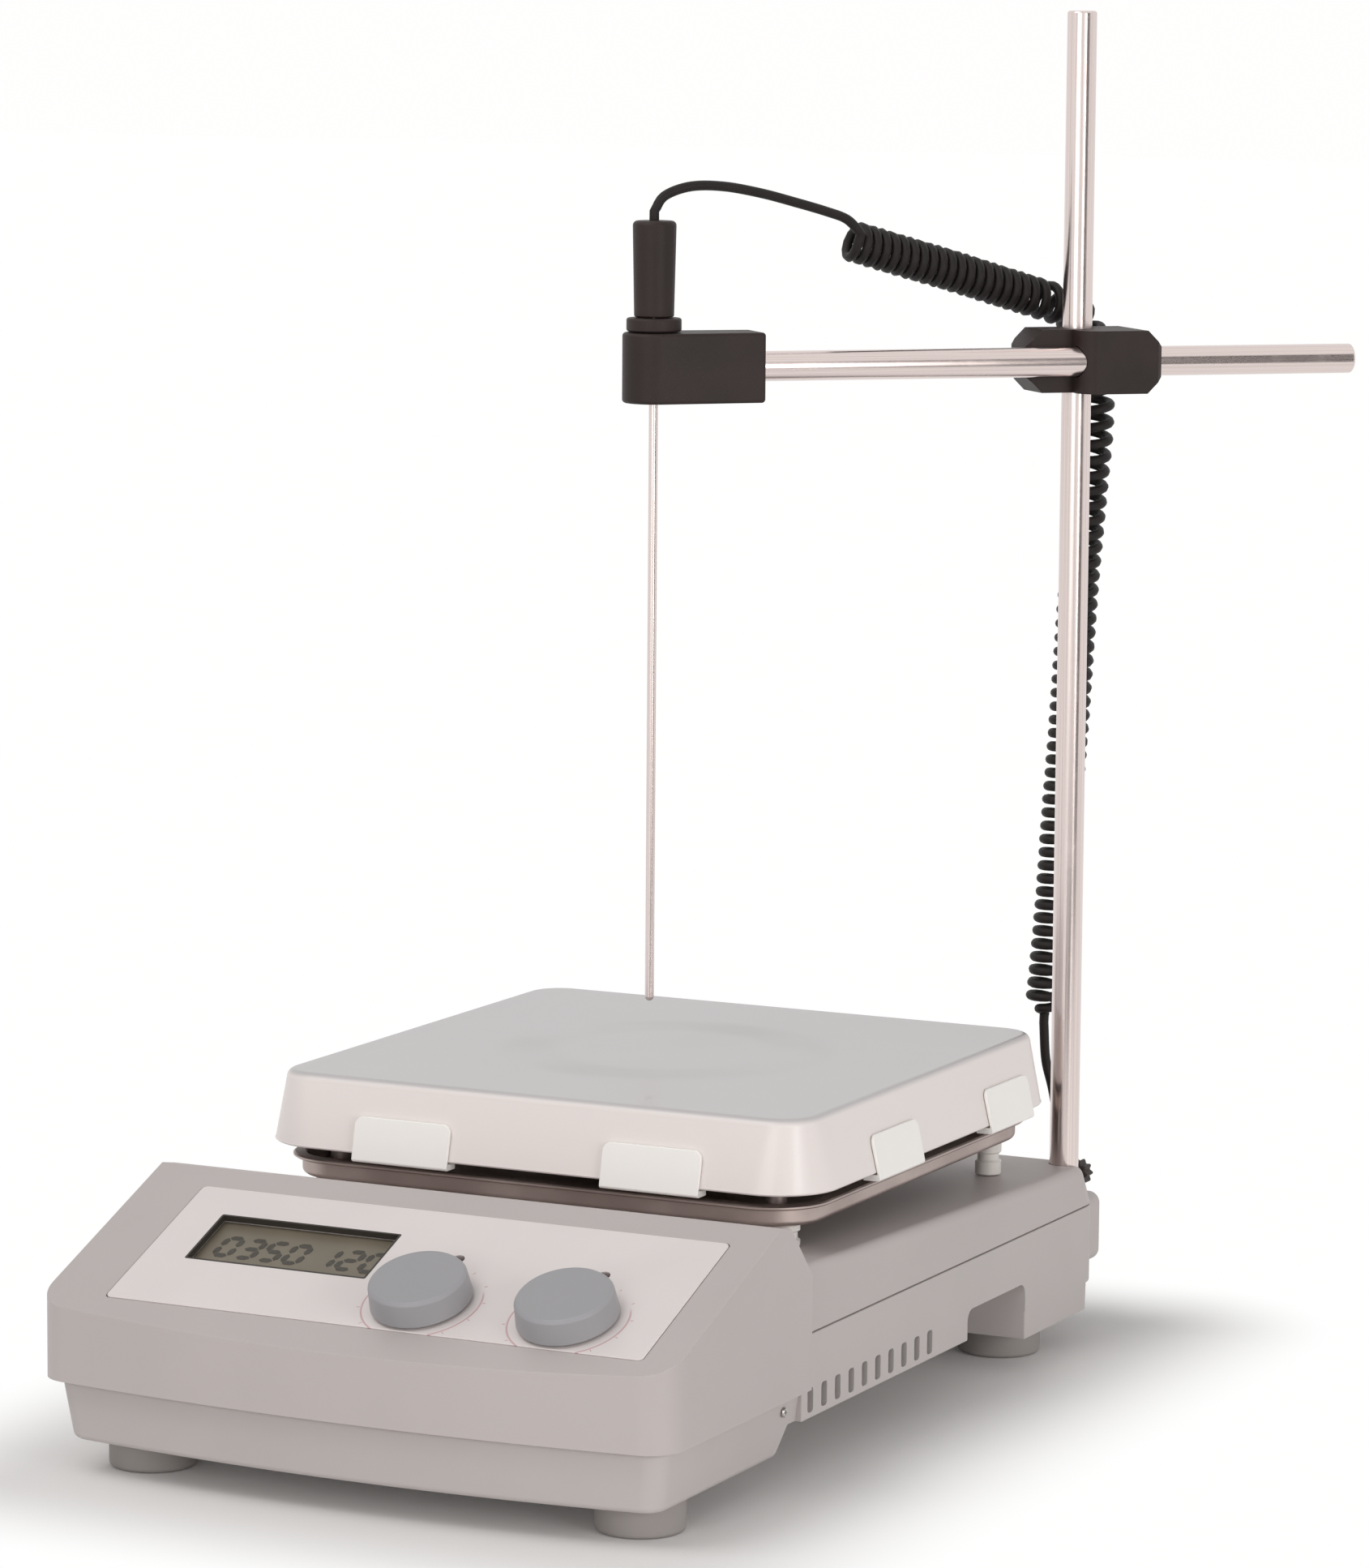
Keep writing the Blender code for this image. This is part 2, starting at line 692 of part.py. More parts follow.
def panel_cutters(depth):
    """Cutters in the panel's plane: the display window, the shaft holes and the lamp holes."""
    gap = FIT_GAP
    window = rounded_rectangle(LCD_WIDTH + 2 * gap, LCD_HEIGHT + 2 * gap, gap * 2, 2)
    shapes = [moved(prism(window, -depth, CUT_OVERRUN), (LCD_MIDDLE_X, -LCD_FROM_CREST, 0))]
    for side in (-1, 1):
        knob_x = KNOB_MIDDLE_X + side * KNOB_SPACING / 2
        for radius, distance in ((SHAFT_HOLE_RADIUS, KNOB_FROM_CREST), (LAMP_RADIUS + gap, LAMP_FROM_CREST)):
            profile = [(0, -depth), (radius, -depth), (radius, CUT_OVERRUN), (0, CUT_OVERRUN)]
            shapes.append(moved(turned(profile, SMALL_SIDES), (knob_x, -distance, 0)))
    return join_shapes(*shapes)


def make_upper_housing(origin, panel_plane, materials):
    """Upper housing: the nose with its sloping control face, and the deck behind it, as one shell."""
    piece = nose_block(0, NOSE_SPLIT_Z, "upper_housing", NOSE_EDGE_RADIUS)
    piece.data.materials.append(materials["housing"])
    piece.parent = origin
    inner_radius = NOSE_EDGE_RADIUS - HOUSING_WALL
    deck = deck_block(0, BODY_SPLIT_Z, NOSE_REAR_Y - NOSE_OVERLAP, "deck_block")
    nose_inside = nose_block(HOUSING_WALL, NOSE_SPLIT_Z + HOUSING_WALL, "nose_inside", inner_radius)
    mouth_inset = (NOSE_WIDTH - TRAY_NOSE_WIDTH) / 2 + 2 * HOUSING_WALL
    mouth_plan = bowed_outline(
        NOSE_WIDTH / 2 - mouth_inset,
        FRONT_Y + mouth_inset,
        NOSE_REAR_Y - HOUSING_WALL,
        FRONT_CORNER_RADIUS - HOUSING_WALL,
        FRONT_BOW,
    )
    mouth_top = NOSE_SPLIT_Z + HOUSING_WALL + CUT_OVERRUN
    nose_mouth = make_object("nose_mouth", prism(mouth_plan, NOSE_SPLIT_Z - CUT_OVERRUN, mouth_top))
    deck_inside = deck_block(
        HOUSING_WALL, NOSE_SPLIT_Z - CUT_OVERRUN, NOSE_REAR_Y - NOSE_OVERLAP, "deck_inside"
    )
    boss_bottom = NOSE_SPLIT_Z - 2 * CUT_OVERRUN
    boss_profile = [(0, boss_bottom), (ROD_BOSS_RADIUS, boss_bottom), (ROD_BOSS_RADIUS, CREST_Z), (0, CREST_Z)]
    boss = make_object("rod_boss", turned(boss_profile), location=(ROD_X, ROD_Y, 0))
    for tool in (deck, nose_inside, nose_mouth, deck_inside, boss):
        tool.parent = origin
    boolean(deck_inside, boss)
    boolean(piece, deck, "UNION")
    boolean(piece, nose_inside)
    boolean(piece, nose_mouth)
    boolean(piece, deck_inside)

    pocket = rounded_rectangle(PANEL_WIDTH + 2 * FIT_GAP, PANEL_HEIGHT + 2 * FIT_GAP, PANEL_CORNER_RADIUS)
    pocket_y = -PANEL_FROM_CREST - PANEL_HEIGHT / 2
    pocket_tool = make_object(
        "panel_pocket",
        moved(prism(pocket, -PANEL_POCKET, CUT_OVERRUN), (PANEL_MIDDLE_X, pocket_y, 0)),
        parent=panel_plane,
    )
    boolean(piece, pocket_tool)
    holes = make_object("panel_holes", panel_cutters(HOUSING_WALL + CUT_OVERRUN), parent=panel_plane)
    boolean(piece, holes)

    low, high = BODY_SPLIT_Z - CUT_OVERRUN, CREST_Z
    drive_hole = [(0, low), (DECK_HOLE_RADIUS, low), (DECK_HOLE_RADIUS, high), (0, high)]
    rod_hole_radius = ROD_RADIUS + RUNNING_CLEARANCE
    rod_hole = [(0, low), (rod_hole_radius, low), (rod_hole_radius, high), (0, high)]
    screw_hole_radius = LOCK_SCREW_RADIUS + RUNNING_CLEARANCE
    screw_length = BODY_REAR_Y - ROD_Y + CUT_OVERRUN
    screw_hole = [(0, 0), (screw_hole_radius, 0), (screw_hole_radius, screw_length), (0, screw_length)]
    towards_rear = Matrix.Rotation(-math.pi / 2, 4, "X")
    deck_holes = join_shapes(
        turned(drive_hole, KNOB_SIDES),
        moved(turned(rod_hole, ROD_SIDES), (ROD_X, ROD_Y, 0)),
    )
    boolean(piece, make_object("deck_holes", deck_holes, parent=origin))
    lock_hole = moved(turned(screw_hole, SMALL_SIDES), (ROD_X, ROD_Y, LOCK_SCREW_Z), towards_rear)
    boolean(piece, make_object("lock_screw_hole", lock_hole, parent=origin))
    return piece


def make_lower_housing(origin, materials):
    """Lower housing: a deep nose, a raised body with vents and hand grips, and two rear legs."""
    wall = HOUSING_WALL
    nose_half = TRAY_NOSE_WIDTH / 2
    nose_front = FRONT_Y + TRAY_FRONT_INSET
    nose_top = NOSE_SPLIT_Z - FIT_GAP
    body_top = BODY_SPLIT_Z - FIT_GAP
    body_front = NOSE_REAR_Y + FIT_GAP
    corner = FRONT_CORNER_RADIUS - TRAY_FRONT_INSET
    wide = BODY_WIDTH / 2 + CUT_OVERRUN
    below = TRAY_BOTTOM_Z - CUT_OVERRUN

    def nose_plan(inset, rear):
        return bowed_outline(nose_half - inset, nose_front + inset, rear, corner, FRONT_BOW)

    nose_rear = body_front + 2 * wall
    nose = loft([
        at_height(nose_plan(TRAY_NOSE_DRAFT, nose_rear), TRAY_BOTTOM_Z),
        at_height(nose_plan(0, nose_rear), nose_top),
    ])
    piece = make_object("lower_housing", nose, materials["tray"], origin)
    bevel_by_angle(piece, wall * 0.8, 2, 50)
    step_rear = nose_rear + CUT_OVERRUN
    step_top = TRAY_WALL_BOTTOM_Z + FIT_GAP
    step_side = [
        (TRAY_STEP_Y - TRAY_STEP_RUN / 2, below),
        (step_rear, below),
        (step_rear, step_top),
        (TRAY_STEP_Y + TRAY_STEP_RUN, step_top),
    ]
    step = loft([[(x, y, z) for y, z in step_side] for x in (-wide, wide)])
    boolean(piece, make_object("tray_step", step, parent=origin))

    body_plan = body_outline(BODY_WIDTH / 2, body_front, BODY_REAR_Y, BODY_CORNER_RADIUS)
    body = make_object("tray_body", prism(body_plan, TRAY_BOTTOM_Z, body_top), parent=origin)
    leg_front = GRIP_START_Y + GRIP_LENGTH
    leg_rear = BODY_REAR_Y - BODY_CORNER_RADIUS
    leg_inner = BODY_WIDTH / 2 - LEG_WIDTH
    under = [
        (-wide, body_front - CUT_OVERRUN),
        (wide, body_front - CUT_OVERRUN),
        (wide, leg_front),
        (leg_inner, leg_front),
        (leg_inner, leg_rear),
        (wide, leg_rear),
        (wide, BODY_REAR_Y + CUT_OVERRUN),
        (-wide, BODY_REAR_Y + CUT_OVERRUN),
        (-wide, leg_rear),
        (-leg_inner, leg_rear),
        (-leg_inner, leg_front),
        (-wide, leg_front),
    ]
    boolean(body, make_object("body_underside", prism(under, below, TRAY_WALL_BOTTOM_Z), parent=origin))
    boolean(piece, body, "UNION")

    nose_room = loft([
        at_height(bowed_outline(nose_half - TRAY_NOSE_DRAFT - wall, nose_front + wall, TRAY_STEP_Y - wall, corner, FRONT_BOW), TRAY_BOTTOM_Z + wall),
        at_height(bowed_outline(nose_half - wall, nose_front + wall, TRAY_STEP_Y - wall, corner, FRONT_BOW), NOSE_SPLIT_Z + CUT_OVERRUN),
    ])
    boolean(piece, make_object("tray_nose_inside", nose_room, parent=origin))
    grip_rear = leg_front
    inner_half = BODY_WIDTH / 2 - wall
    neck_half = nose_half - 2 * wall
    grip_half = BODY_WIDTH / 2 - GRIP_DEPTH - wall
    inner_corner = BODY_CORNER_RADIUS - wall
    rear = BODY_REAR_Y - wall
    right_side = [
        (neck_half, TRAY_STEP_Y - 2 * wall),
        (neck_half, body_front + wall),
        (inner_half, body_front + wall),
        (inner_half, GRIP_START_Y - wall),
        (grip_half, GRIP_START_Y - wall),
        (grip_half, grip_rear + wall),
        (inner_half, grip_rear + wall),
    ]
    right_side += arc(inner_half - inner_corner, rear - inner_corner, inner_corner, 0, 90, CORNER_STEPS)
    room_plan = right_side + [(-x, y) for x, y in reversed(right_side)]
    room = prism(room_plan, TRAY_WALL_BOTTOM_Z + wall, body_top + CUT_OVERRUN)
    boolean(piece, make_object("tray_body_inside", room, parent=origin))
    over_grips = box(
        (-inner_half, inner_half),
        (GRIP_START_Y - 2 * wall, grip_rear + 2 * wall),
        (GRIP_TOP_Z + wall, body_top + 2 * CUT_OVERRUN),
    )
    boolean(piece, make_object("tray_over_grips", over_grips, parent=origin))
    seat_radius = ROD_SOCKET_RADIUS + FIT_GAP
    seat_bottom, seat_top = TRAY_WALL_BOTTOM_Z + wall, body_top + 3 * CUT_OVERRUN
    seat_profile = [(0, seat_bottom), (seat_radius, seat_bottom), (seat_radius, seat_top), (0, seat_top)]
    seat = turned(seat_profile, ROD_SIDES)
    boolean(piece, make_object("rod_seat", seat, parent=origin, location=(ROD_X, ROD_Y, 0)))

    cuts = []
    for side in (-1, 1):
        edge = side * wide
        inner = side * (BODY_WIDTH / 2 - GRIP_DEPTH)
        x_range = (min(edge, inner), max(edge, inner))
        cuts.append(box(x_range, (GRIP_START_Y, grip_rear), (below, GRIP_TOP_Z)))
        inner = side * (BODY_WIDTH / 2 - wall - CUT_OVERRUN)
        x_range = (min(edge, inner), max(edge, inner))
        for index in range(VENT_COUNT):
            y = VENT_START_Y + index * VENT_PITCH
            cuts.append(box(x_range, (y, y + VENT_WIDTH), (VENT_BOTTOM_Z + FIT_GAP * 2, VENT_TOP_Z)))
    boolean(piece, make_object("grips_and_vents", join_shapes(*cuts), parent=origin))

    window_half = REAR_PANEL_WIDTH / 2 - REAR_WINDOW_INSET
    window = box(
        (-window_half, window_half),
        (BODY_REAR_Y - wall - CUT_OVERRUN, BODY_REAR_Y + CUT_OVERRUN),
        (REAR_PANEL_BOTTOM_Z + wall, REAR_PANEL_TOP_Z - wall),
    )
    boolean(piece, make_object("rear_window", window, parent=origin))
    return piece


def make_feet(origin, materials):
    """Four rubber feet under the corners."""
    profile = [
        (0, 0),
        (FOOT_RADIUS - FOOT_TAPER, 0),
        (FOOT_RADIUS, FOOT_TAPER),
        (FOOT_RADIUS, TRAY_BOTTOM_Z - FIT_GAP),
        (0, TRAY_BOTTOM_Z - FIT_GAP),
    ]
    foot_x = NOSE_WIDTH / 2 - FOOT_INSET_X
    for name, x, y in (
        ("foot_front_left", -foot_x, FRONT_FOOT_Y),
        ("foot_front_right", foot_x, FRONT_FOOT_Y),
        ("foot_rear_left", -foot_x, REAR_FOOT_Y),
        ("foot_rear_right", foot_x, REAR_FOOT_Y),
    ):
        make_object(name, turned(profile), materials["rubber"], origin, (x, y, 0))


# Controls


def make_panel(panel_plane, materials):
    """The pale front plate, let into the slope."""
    outline = rounded_rectangle(PANEL_WIDTH, PANEL_HEIGHT, PANEL_CORNER_RADIUS)
    bottom = FIT_GAP - PANEL_POCKET
    shape = prism(outline, bottom, bottom + PANEL_THICKNESS)
    moved(shape, (PANEL_MIDDLE_X, -PANEL_FROM_CREST - PANEL_HEIGHT / 2, 0))
    piece = make_object("front_panel", shape, materials["panel"], panel_plane)
    boolean(piece, make_object("panel_openings", panel_cutters(HOUSING_WALL), parent=panel_plane))


def make_display(panel_plane, materials):
    """Display window, the display behind it, and the board that carries both encoders."""
    middle = (LCD_MIDDLE_X, -LCD_FROM_CREST, 0)
    window_top = LCD_WINDOW_THICKNESS - HOUSING_WALL
    window = prism(rounded_rectangle(LCD_WIDTH, LCD_HEIGHT, FIT_GAP * 2, 2), -HOUSING_WALL, window_top)
    make_object("lcd_window", window, materials["lens"], panel_plane, middle)
    margin = 2 * LCD_MODULE_MARGIN
    module_top = -HOUSING_WALL - FIT_GAP
    module_bottom = module_top - LCD_MODULE_THICKNESS
    module = prism(
        rounded_rectangle(LCD_WIDTH + margin, LCD_HEIGHT + margin, LCD_MODULE_MARGIN / 3, 2),
        module_bottom,
        module_top,
    )
    make_object("lcd_module", module, materials["display"], panel_plane, middle)

    board_top = module_bottom - FIT_GAP
    board_bottom = board_top - BOARD_THICKNESS
    board_y = -PANEL_FROM_CREST - PANEL_HEIGHT / 2
    board = box(
        (-BOARD_WIDTH / 2, BOARD_WIDTH / 2),
        (board_y - BOARD_HEIGHT / 2, board_y + BOARD_HEIGHT / 2),
        (board_bottom, board_top),
    )
    piece = make_object("display_board", board, materials["board"], panel_plane)
    half = ENCODER_SIZE / 2
    for side, name in ((-1, "speed"), (1, "heat")):
        knob_x = KNOB_MIDDLE_X + side * KNOB_SPACING / 2
        encoder = box(
            (knob_x - half, knob_x + half),
            (-KNOB_FROM_CREST - half, -KNOB_FROM_CREST + half),
            (board_top - BOARD_THICKNESS / 2, module_top),
        )
        boolean(piece, make_object(f"{name}_encoder_block", encoder, parent=panel_plane), "UNION")
        bore = STEM_RADIUS + RUNNING_CLEARANCE
        profile = [(0, board_top), (bore, board_top), (bore, CUT_OVERRUN), (0, CUT_OVERRUN)]
        bore_tool = make_object(
            f"{name}_encoder_bore",
            turned(profile, SMALL_SIDES),
            parent=panel_plane,
            location=(knob_x, -KNOB_FROM_CREST, 0),
        )
        boolean(piece, bore_tool)
    return board_top, module_top


def make_knobs(panel_plane, board_top, encoder_top, materials):
    """Two press knobs, each on a shaft that turns and pushes a stem inside its encoder."""
    panel_top = FIT_GAP - PANEL_POCKET + PANEL_THICKNESS
    bottom = panel_top + KNOB_PRESS + FIT_GAP
    top = bottom + KNOB_HEIGHT
    roof = top - KNOB_ROOF
    bore = SHAFT_RADIUS + FIT_GAP
    knob_profile = [
        (0, roof),
        (bore, roof),
        (bore, bottom),
        (KNOB_RADIUS - KNOB_EDGE, bottom),
        (KNOB_RADIUS, bottom + KNOB_EDGE),
        (KNOB_TOP_RADIUS, top - KNOB_EDGE),
        (KNOB_TOP_RADIUS - KNOB_EDGE * 0.3, top - KNOB_EDGE * 0.3),
        (KNOB_TOP_RADIUS - KNOB_EDGE, top),
        (KNOB_TOP_RADIUS / 2, top - KNOB_DISH * 0.8),
        (0, top - KNOB_DISH),
    ]
    shaft_bottom = encoder_top + KNOB_PRESS + FIT_GAP
    shaft_top = roof - FIT_GAP
    stem_bottom = board_top + KNOB_PRESS + FIT_GAP
    stem_top = shaft_bottom - FIT_GAP
    chamfer = FIT_GAP
    for side, name in ((-1, "speed"), (1, "heat")):
        place = (KNOB_MIDDLE_X + side * KNOB_SPACING / 2, -KNOB_FROM_CREST, 0)
        make_object(f"{name}_knob", turned(knob_profile, KNOB_SIDES), materials["knob"], panel_plane, place)
        shaft = turned(rod_profile(SHAFT_RADIUS, shaft_bottom, shaft_top, chamfer), SMALL_SIDES)
        make_object(f"{name}_shaft", shaft, materials["steel"], panel_plane, place)
        stem = turned(rod_profile(STEM_RADIUS, stem_bottom, stem_top, chamfer), SMALL_SIDES)
        make_object(f"{name}_push_stem", stem, materials["black"], panel_plane, place)
        lamp_place = (place[0], -LAMP_FROM_CREST, panel_top + LAMP_PROUD - LAMP_LENGTH)
        lamp_profile = [
            (0, 0),
            (LAMP_RADIUS, 0),
            (LAMP_RADIUS, LAMP_LENGTH - LAMP_PROUD),
            (LAMP_RADIUS * 0.7, LAMP_LENGTH - LAMP_PROUD * 0.3),
            (0, LAMP_LENGTH),
        ]
        make_object(f"{name}_lamp", turned(lamp_profile, SMALL_SIDES), materials["lamp"], panel_plane, lamp_place)


# Heating plate and stirring drive


def square_ring(half, corner, z):
    """A rounded square ring at one height."""
    return at_height(rounded_rectangle(2 * half, 2 * half, corner), z)


def make_plate(origin, materials):
    """The skirted heating plate, hollow underneath, with a soft upper edge."""
    edge = PLATE_EDGE_RADIUS
    wall = PLATE_SKIRT_WALL
    ceiling = PLATE_TOP_Z - PLATE_ROOF
    shoulder = PLATE_TOP_Z - edge
    rings = [
        square_ring(skirt_half(ceiling) - wall, skirt_corner(ceiling) - wall, ceiling),
        square_ring(skirt_half(PLATE_SKIRT_Z) - wall, PLATE_CORNER_RADIUS - wall, PLATE_SKIRT_Z),
        square_ring(skirt_half(PLATE_SKIRT_Z), PLATE_CORNER_RADIUS, PLATE_SKIRT_Z),
    ]
    for step in range(4):
        angle = math.pi / 2 * step / 3
        height = PLATE_TOP_Z - edge + edge * math.sin(angle)
        inset = edge * (1 - math.cos(angle))
        rings.append(square_ring(skirt_half(shoulder) - inset, skirt_corner(shoulder) - inset, height))
    make_object("top_plate", loft(rings), materials["plate"], origin)
    return ceiling


def make_clips(origin, materials):
    """Eight white clips, two on each side, that lie on the skirt and hook under its edge."""
    out_low, out_high = skirt_half(PLATE_SKIRT_Z), skirt_half(CLIP_TOP_Z)
    face = FIT_GAP
    below = PLATE_SKIRT_Z - FIT_GAP
    profile = [
        (out_low + face, below),
        (out_high + face, CLIP_TOP_Z),
        (out_high + face + CLIP_THICKNESS, CLIP_TOP_Z),
        (out_low + face + CLIP_THICKNESS, CLIP_BOTTOM_Z),
        (out_low + face - CLIP_HOOK, CLIP_BOTTOM_Z),
        (out_low + face - CLIP_HOOK, below),
    ]
    for quarter, wall_name in enumerate(("right", "rear", "left", "front")):
        turn = Matrix.Rotation(quarter * math.pi / 2, 4, "Z")
        shift = {"right": SIDE_CLIP_SHIFT, "left": -SIDE_CLIP_SHIFT}.get(wall_name, 0)
        for number, offset in ((1, -CLIP_OFFSET), (2, CLIP_OFFSET)):
            ends = (offset + shift - CLIP_WIDTH / 2, offset + shift + CLIP_WIDTH / 2)
            shape = loft([[(x, y, z) for x, z in profile] for y in ends])
            upper = [
                edge
                for edge in shape.edges
                if all(vert.co.z > CLIP_TOP_Z - FIT_GAP for vert in edge.verts)
                and abs(edge.verts[0].co.y - edge.verts[1].co.y) < FIT_GAP
            ]
            bmesh.ops.bevel(shape, geom=upper, offset=CLIP_CORNER, segments=3, profile=0.5, affect="EDGES")
            moved(shape, turn=turn)
            make_object(f"plate_clip_{wall_name}_{number}", shape, materials["clip"], origin)


def make_heater(origin, ceiling, materials):
    """Heating element and insulation under the plate."""
    top = ceiling - FIT_GAP
    corner = PLATE_CORNER_RADIUS / 2
    bottom = top - HEATER_THICKNESS
    heater = prism(rounded_rectangle(HEATER_SIZE, HEATER_SIZE, corner), bottom, top)
    make_object("heater_element", heater, materials["mica"], origin)
    top = bottom - FIT_GAP
    bottom = top - INSULATION_THICKNESS
    wool = prism(rounded_rectangle(HEATER_SIZE, HEATER_SIZE, corner), bottom, top)
    make_object("insulation_pad", wool, materials["wool"], origin)


def make_pan(origin, ceiling, materials):
    """The steel heat shield: a shallow flanged pan with an opening for the drive and four posts."""
    half = PAN_SIZE / 2
    sheet = PAN_SHEET
    corner = PAN_CORNER_RADIUS
    inner = half - sheet
    rings = [
        square_ring(inner, corner - sheet, PAN_BOTTOM_Z + sheet),
        square_ring(inner, corner - sheet, PAN_RIM_Z),
        square_ring(half + PAN_FLANGE, corner + PAN_FLANGE, PAN_RIM_Z),
        square_ring(half + PAN_FLANGE, corner + PAN_FLANGE, PAN_RIM_Z - sheet),
        square_ring(half, corner, PAN_RIM_Z - sheet),
        square_ring(half, corner, PAN_BOTTOM_Z),
    ]
    piece = make_object("heat_shield_pan", loft(rings), materials["pan"], origin)
    low, high = PAN_BOTTOM_Z - CUT_OVERRUN, PAN_BOTTOM_Z + CUT_OVERRUN
    hole = [(0, low), (PAN_HOLE_RADIUS, low), (PAN_HOLE_RADIUS, high), (0, high)]
    boolean(piece, make_object("pan_hole", turned(hole, KNOB_SIDES), parent=origin))
    post_bottom = PAN_BOTTOM_Z + sheet / 2
    post_top = ceiling - FIT_GAP
    post = [(0, post_bottom), (POST_RADIUS, post_bottom), (POST_RADIUS, post_top), (0, post_top)]
    for x_side in (-1, 1):
        for y_side in (-1, 1):
            tool = make_object(
                "pan_post",
                turned(post, SMALL_SIDES),
                parent=origin,
                location=(x_side * POST_OFFSET, y_side * POST_OFFSET, 0),
            )
            boolean(piece, tool, "UNION")
    for x_side, x_name in ((-1, "left"), (1, "right")):
        for y_side, y_name in ((-1, "front"), (1, "rear")):
            x, y = x_side * PILLAR_OFFSET_X, y_side * PILLAR_OFFSET_Y
            foot = deck_height(y - PILLAR_RADIUS) + FIT_GAP
            pillar = turned(rod_profile(PILLAR_RADIUS, foot, PAN_BOTTOM_Z - FIT_GAP, FIT_GAP), SMALL_SIDES)
            make_object(f"pillar_{y_name}_{x_name}", pillar, materials["ceramic"], origin, (x, y, 0))


def make_drive(origin, materials):
    """Motor under the deck, with the magnet yoke on its shaft turning in the pan's opening."""
    top = deck_height(MOTOR_FLANGE_RADIUS) - HOUSING_WALL - FIT_GAP
    bottom = top - MOTOR_HEIGHT
    bore = MOTOR_SHAFT_RADIUS + RUNNING_CLEARANCE
    seat = top - MOTOR_SHAFT_SEAT
    motor = [
        (0, bottom),
        (MOTOR_RADIUS, bottom),
        (MOTOR_RADIUS, top - MOTOR_FLANGE_THICKNESS),
        (MOTOR_FLANGE_RADIUS, top - MOTOR_FLANGE_THICKNESS),
        (MOTOR_FLANGE_RADIUS, top),
        (bore, top),
        (bore, seat),
        (0, seat),
    ]
    make_object("stirring_motor", turned(motor), materials["motor"], origin)
    yoke_bottom = YOKE_TOP_Z - YOKE_THICKNESS
    shaft = rod_profile(MOTOR_SHAFT_RADIUS, seat + FIT_GAP, yoke_bottom - FIT_GAP, FIT_GAP)
    make_object("motor_shaft", turned(shaft, SMALL_SIDES), materials["steel"], origin)
    yoke = prism(rounded_rectangle(YOKE_LENGTH, YOKE_WIDTH, YOKE_WIDTH / 4), yoke_bottom, YOKE_TOP_Z)
    make_object("magnet_yoke", yoke, materials["steel"], origin)
    magnet_bottom = YOKE_TOP_Z + FIT_GAP
    magnet = rod_profile(MAGNET_RADIUS, magnet_bottom, magnet_bottom + MAGNET_HEIGHT, FIT_GAP)
    for name, side in (("magnet_north", 1), ("magnet_south", -1)):
        make_object(name, turned(magnet), materials["magnet"], origin, (side * MAGNET_OFFSET, 0, 0))


# Power supply and connections


def make_power_board(origin, materials):
    """Power board on the floor of the nose, with its transformer and two capacitors."""
    floor = TRAY_BOTTOM_Z + HOUSING_WALL + FIT_GAP
    top = floor + BOARD_THICKNESS
    half_width, half_depth = POWER_BOARD_WIDTH / 2, POWER_BOARD_DEPTH / 2
    board = box((-half_width, half_width), (-half_depth, half_depth), (floor, top))
    piece = make_object("power_board", board, materials["board"], origin, (0, POWER_BOARD_Y, 0))
    core = TRANSFORMER_SIZE / 2
    low = floor + BOARD_THICKNESS / 2
    transformer = box((-core, core), (-core, core), (low, low + COMPONENT_HEIGHT))
    places = [("transformer", transformer, (-half_width / 2, POWER_BOARD_Y, 0))]
    for number, x in ((1, half_width / 4), (2, half_width / 2)):
        profile = [
            (0, low),
            (CAPACITOR_RADIUS, low),
            (CAPACITOR_RADIUS, low + COMPONENT_HEIGHT),
            (0, low + COMPONENT_HEIGHT),
        ]
        places.append((f"capacitor_{number}", turned(profile, SMALL_SIDES), (x, POWER_BOARD_Y, 0)))
    for name, shape, place in places:
        boolean(piece, make_object(name, shape, parent=origin, location=place), "UNION")


def make_rear_panel(origin, materials):
    """The raised panel on the back that carries the mains inlet, the switch and the sensor socket."""
    bottom, top = REAR_PANEL_BOTTOM_Z, REAR_PANEL_TOP_Z
    front = BODY_REAR_Y + FIT_GAP
    middle_z = (bottom + top) / 2
    outline = rounded_rectangle(REAR_PANEL_WIDTH, top - bottom, REAR_PANEL_CORNER)
    stand_up = Matrix.Rotation(math.pi / 2, 4, "X")
    shape = moved(prism(outline, -REAR_PANEL_THICKNESS, 0), (0, front, middle_z), stand_up)
    piece = make_object("rear_panel", shape, materials["housing"], origin)
    far = front + REAR_PANEL_THICKNESS + CUT_OVERRUN
    near = front - CUT_OVERRUN
    gap = FIT_GAP
    inlet_half, inlet_rise = INLET_WIDTH / 2 + gap, INLET_HEIGHT / 2 + gap
    rocker_half, rocker_rise = ROCKER_WIDTH / 2 + gap, ROCKER_HEIGHT / 2 + ROCKER_HOLE_GAP
    inlet_cut = box((INLET_X - inlet_half, INLET_X + inlet_half), (near, far), (middle_z - inlet_rise, middle_z + inlet_rise))
    rocker_cut = box((ROCKER_X - rocker_half, ROCKER_X + rocker_half), (near, far), (middle_z - rocker_rise, middle_z + rocker_rise))
    radius = SOCKET_RADIUS + gap
    length = far - near
    socket_profile = [(0, 0), (radius, 0), (radius, length), (0, length)]
    socket_x = TAIL_ROUTE[-1][0]
    towards_rear = Matrix.Rotation(-math.pi / 2, 4, "X")
    socket_cut = moved(turned(socket_profile, ROD_SIDES), (socket_x, near, middle_z), towards_rear)
    boolean(piece, make_object("rear_cuts", join_shapes(inlet_cut, rocker_cut, socket_cut), parent=origin))
    return front + REAR_PANEL_THICKNESS, middle_z


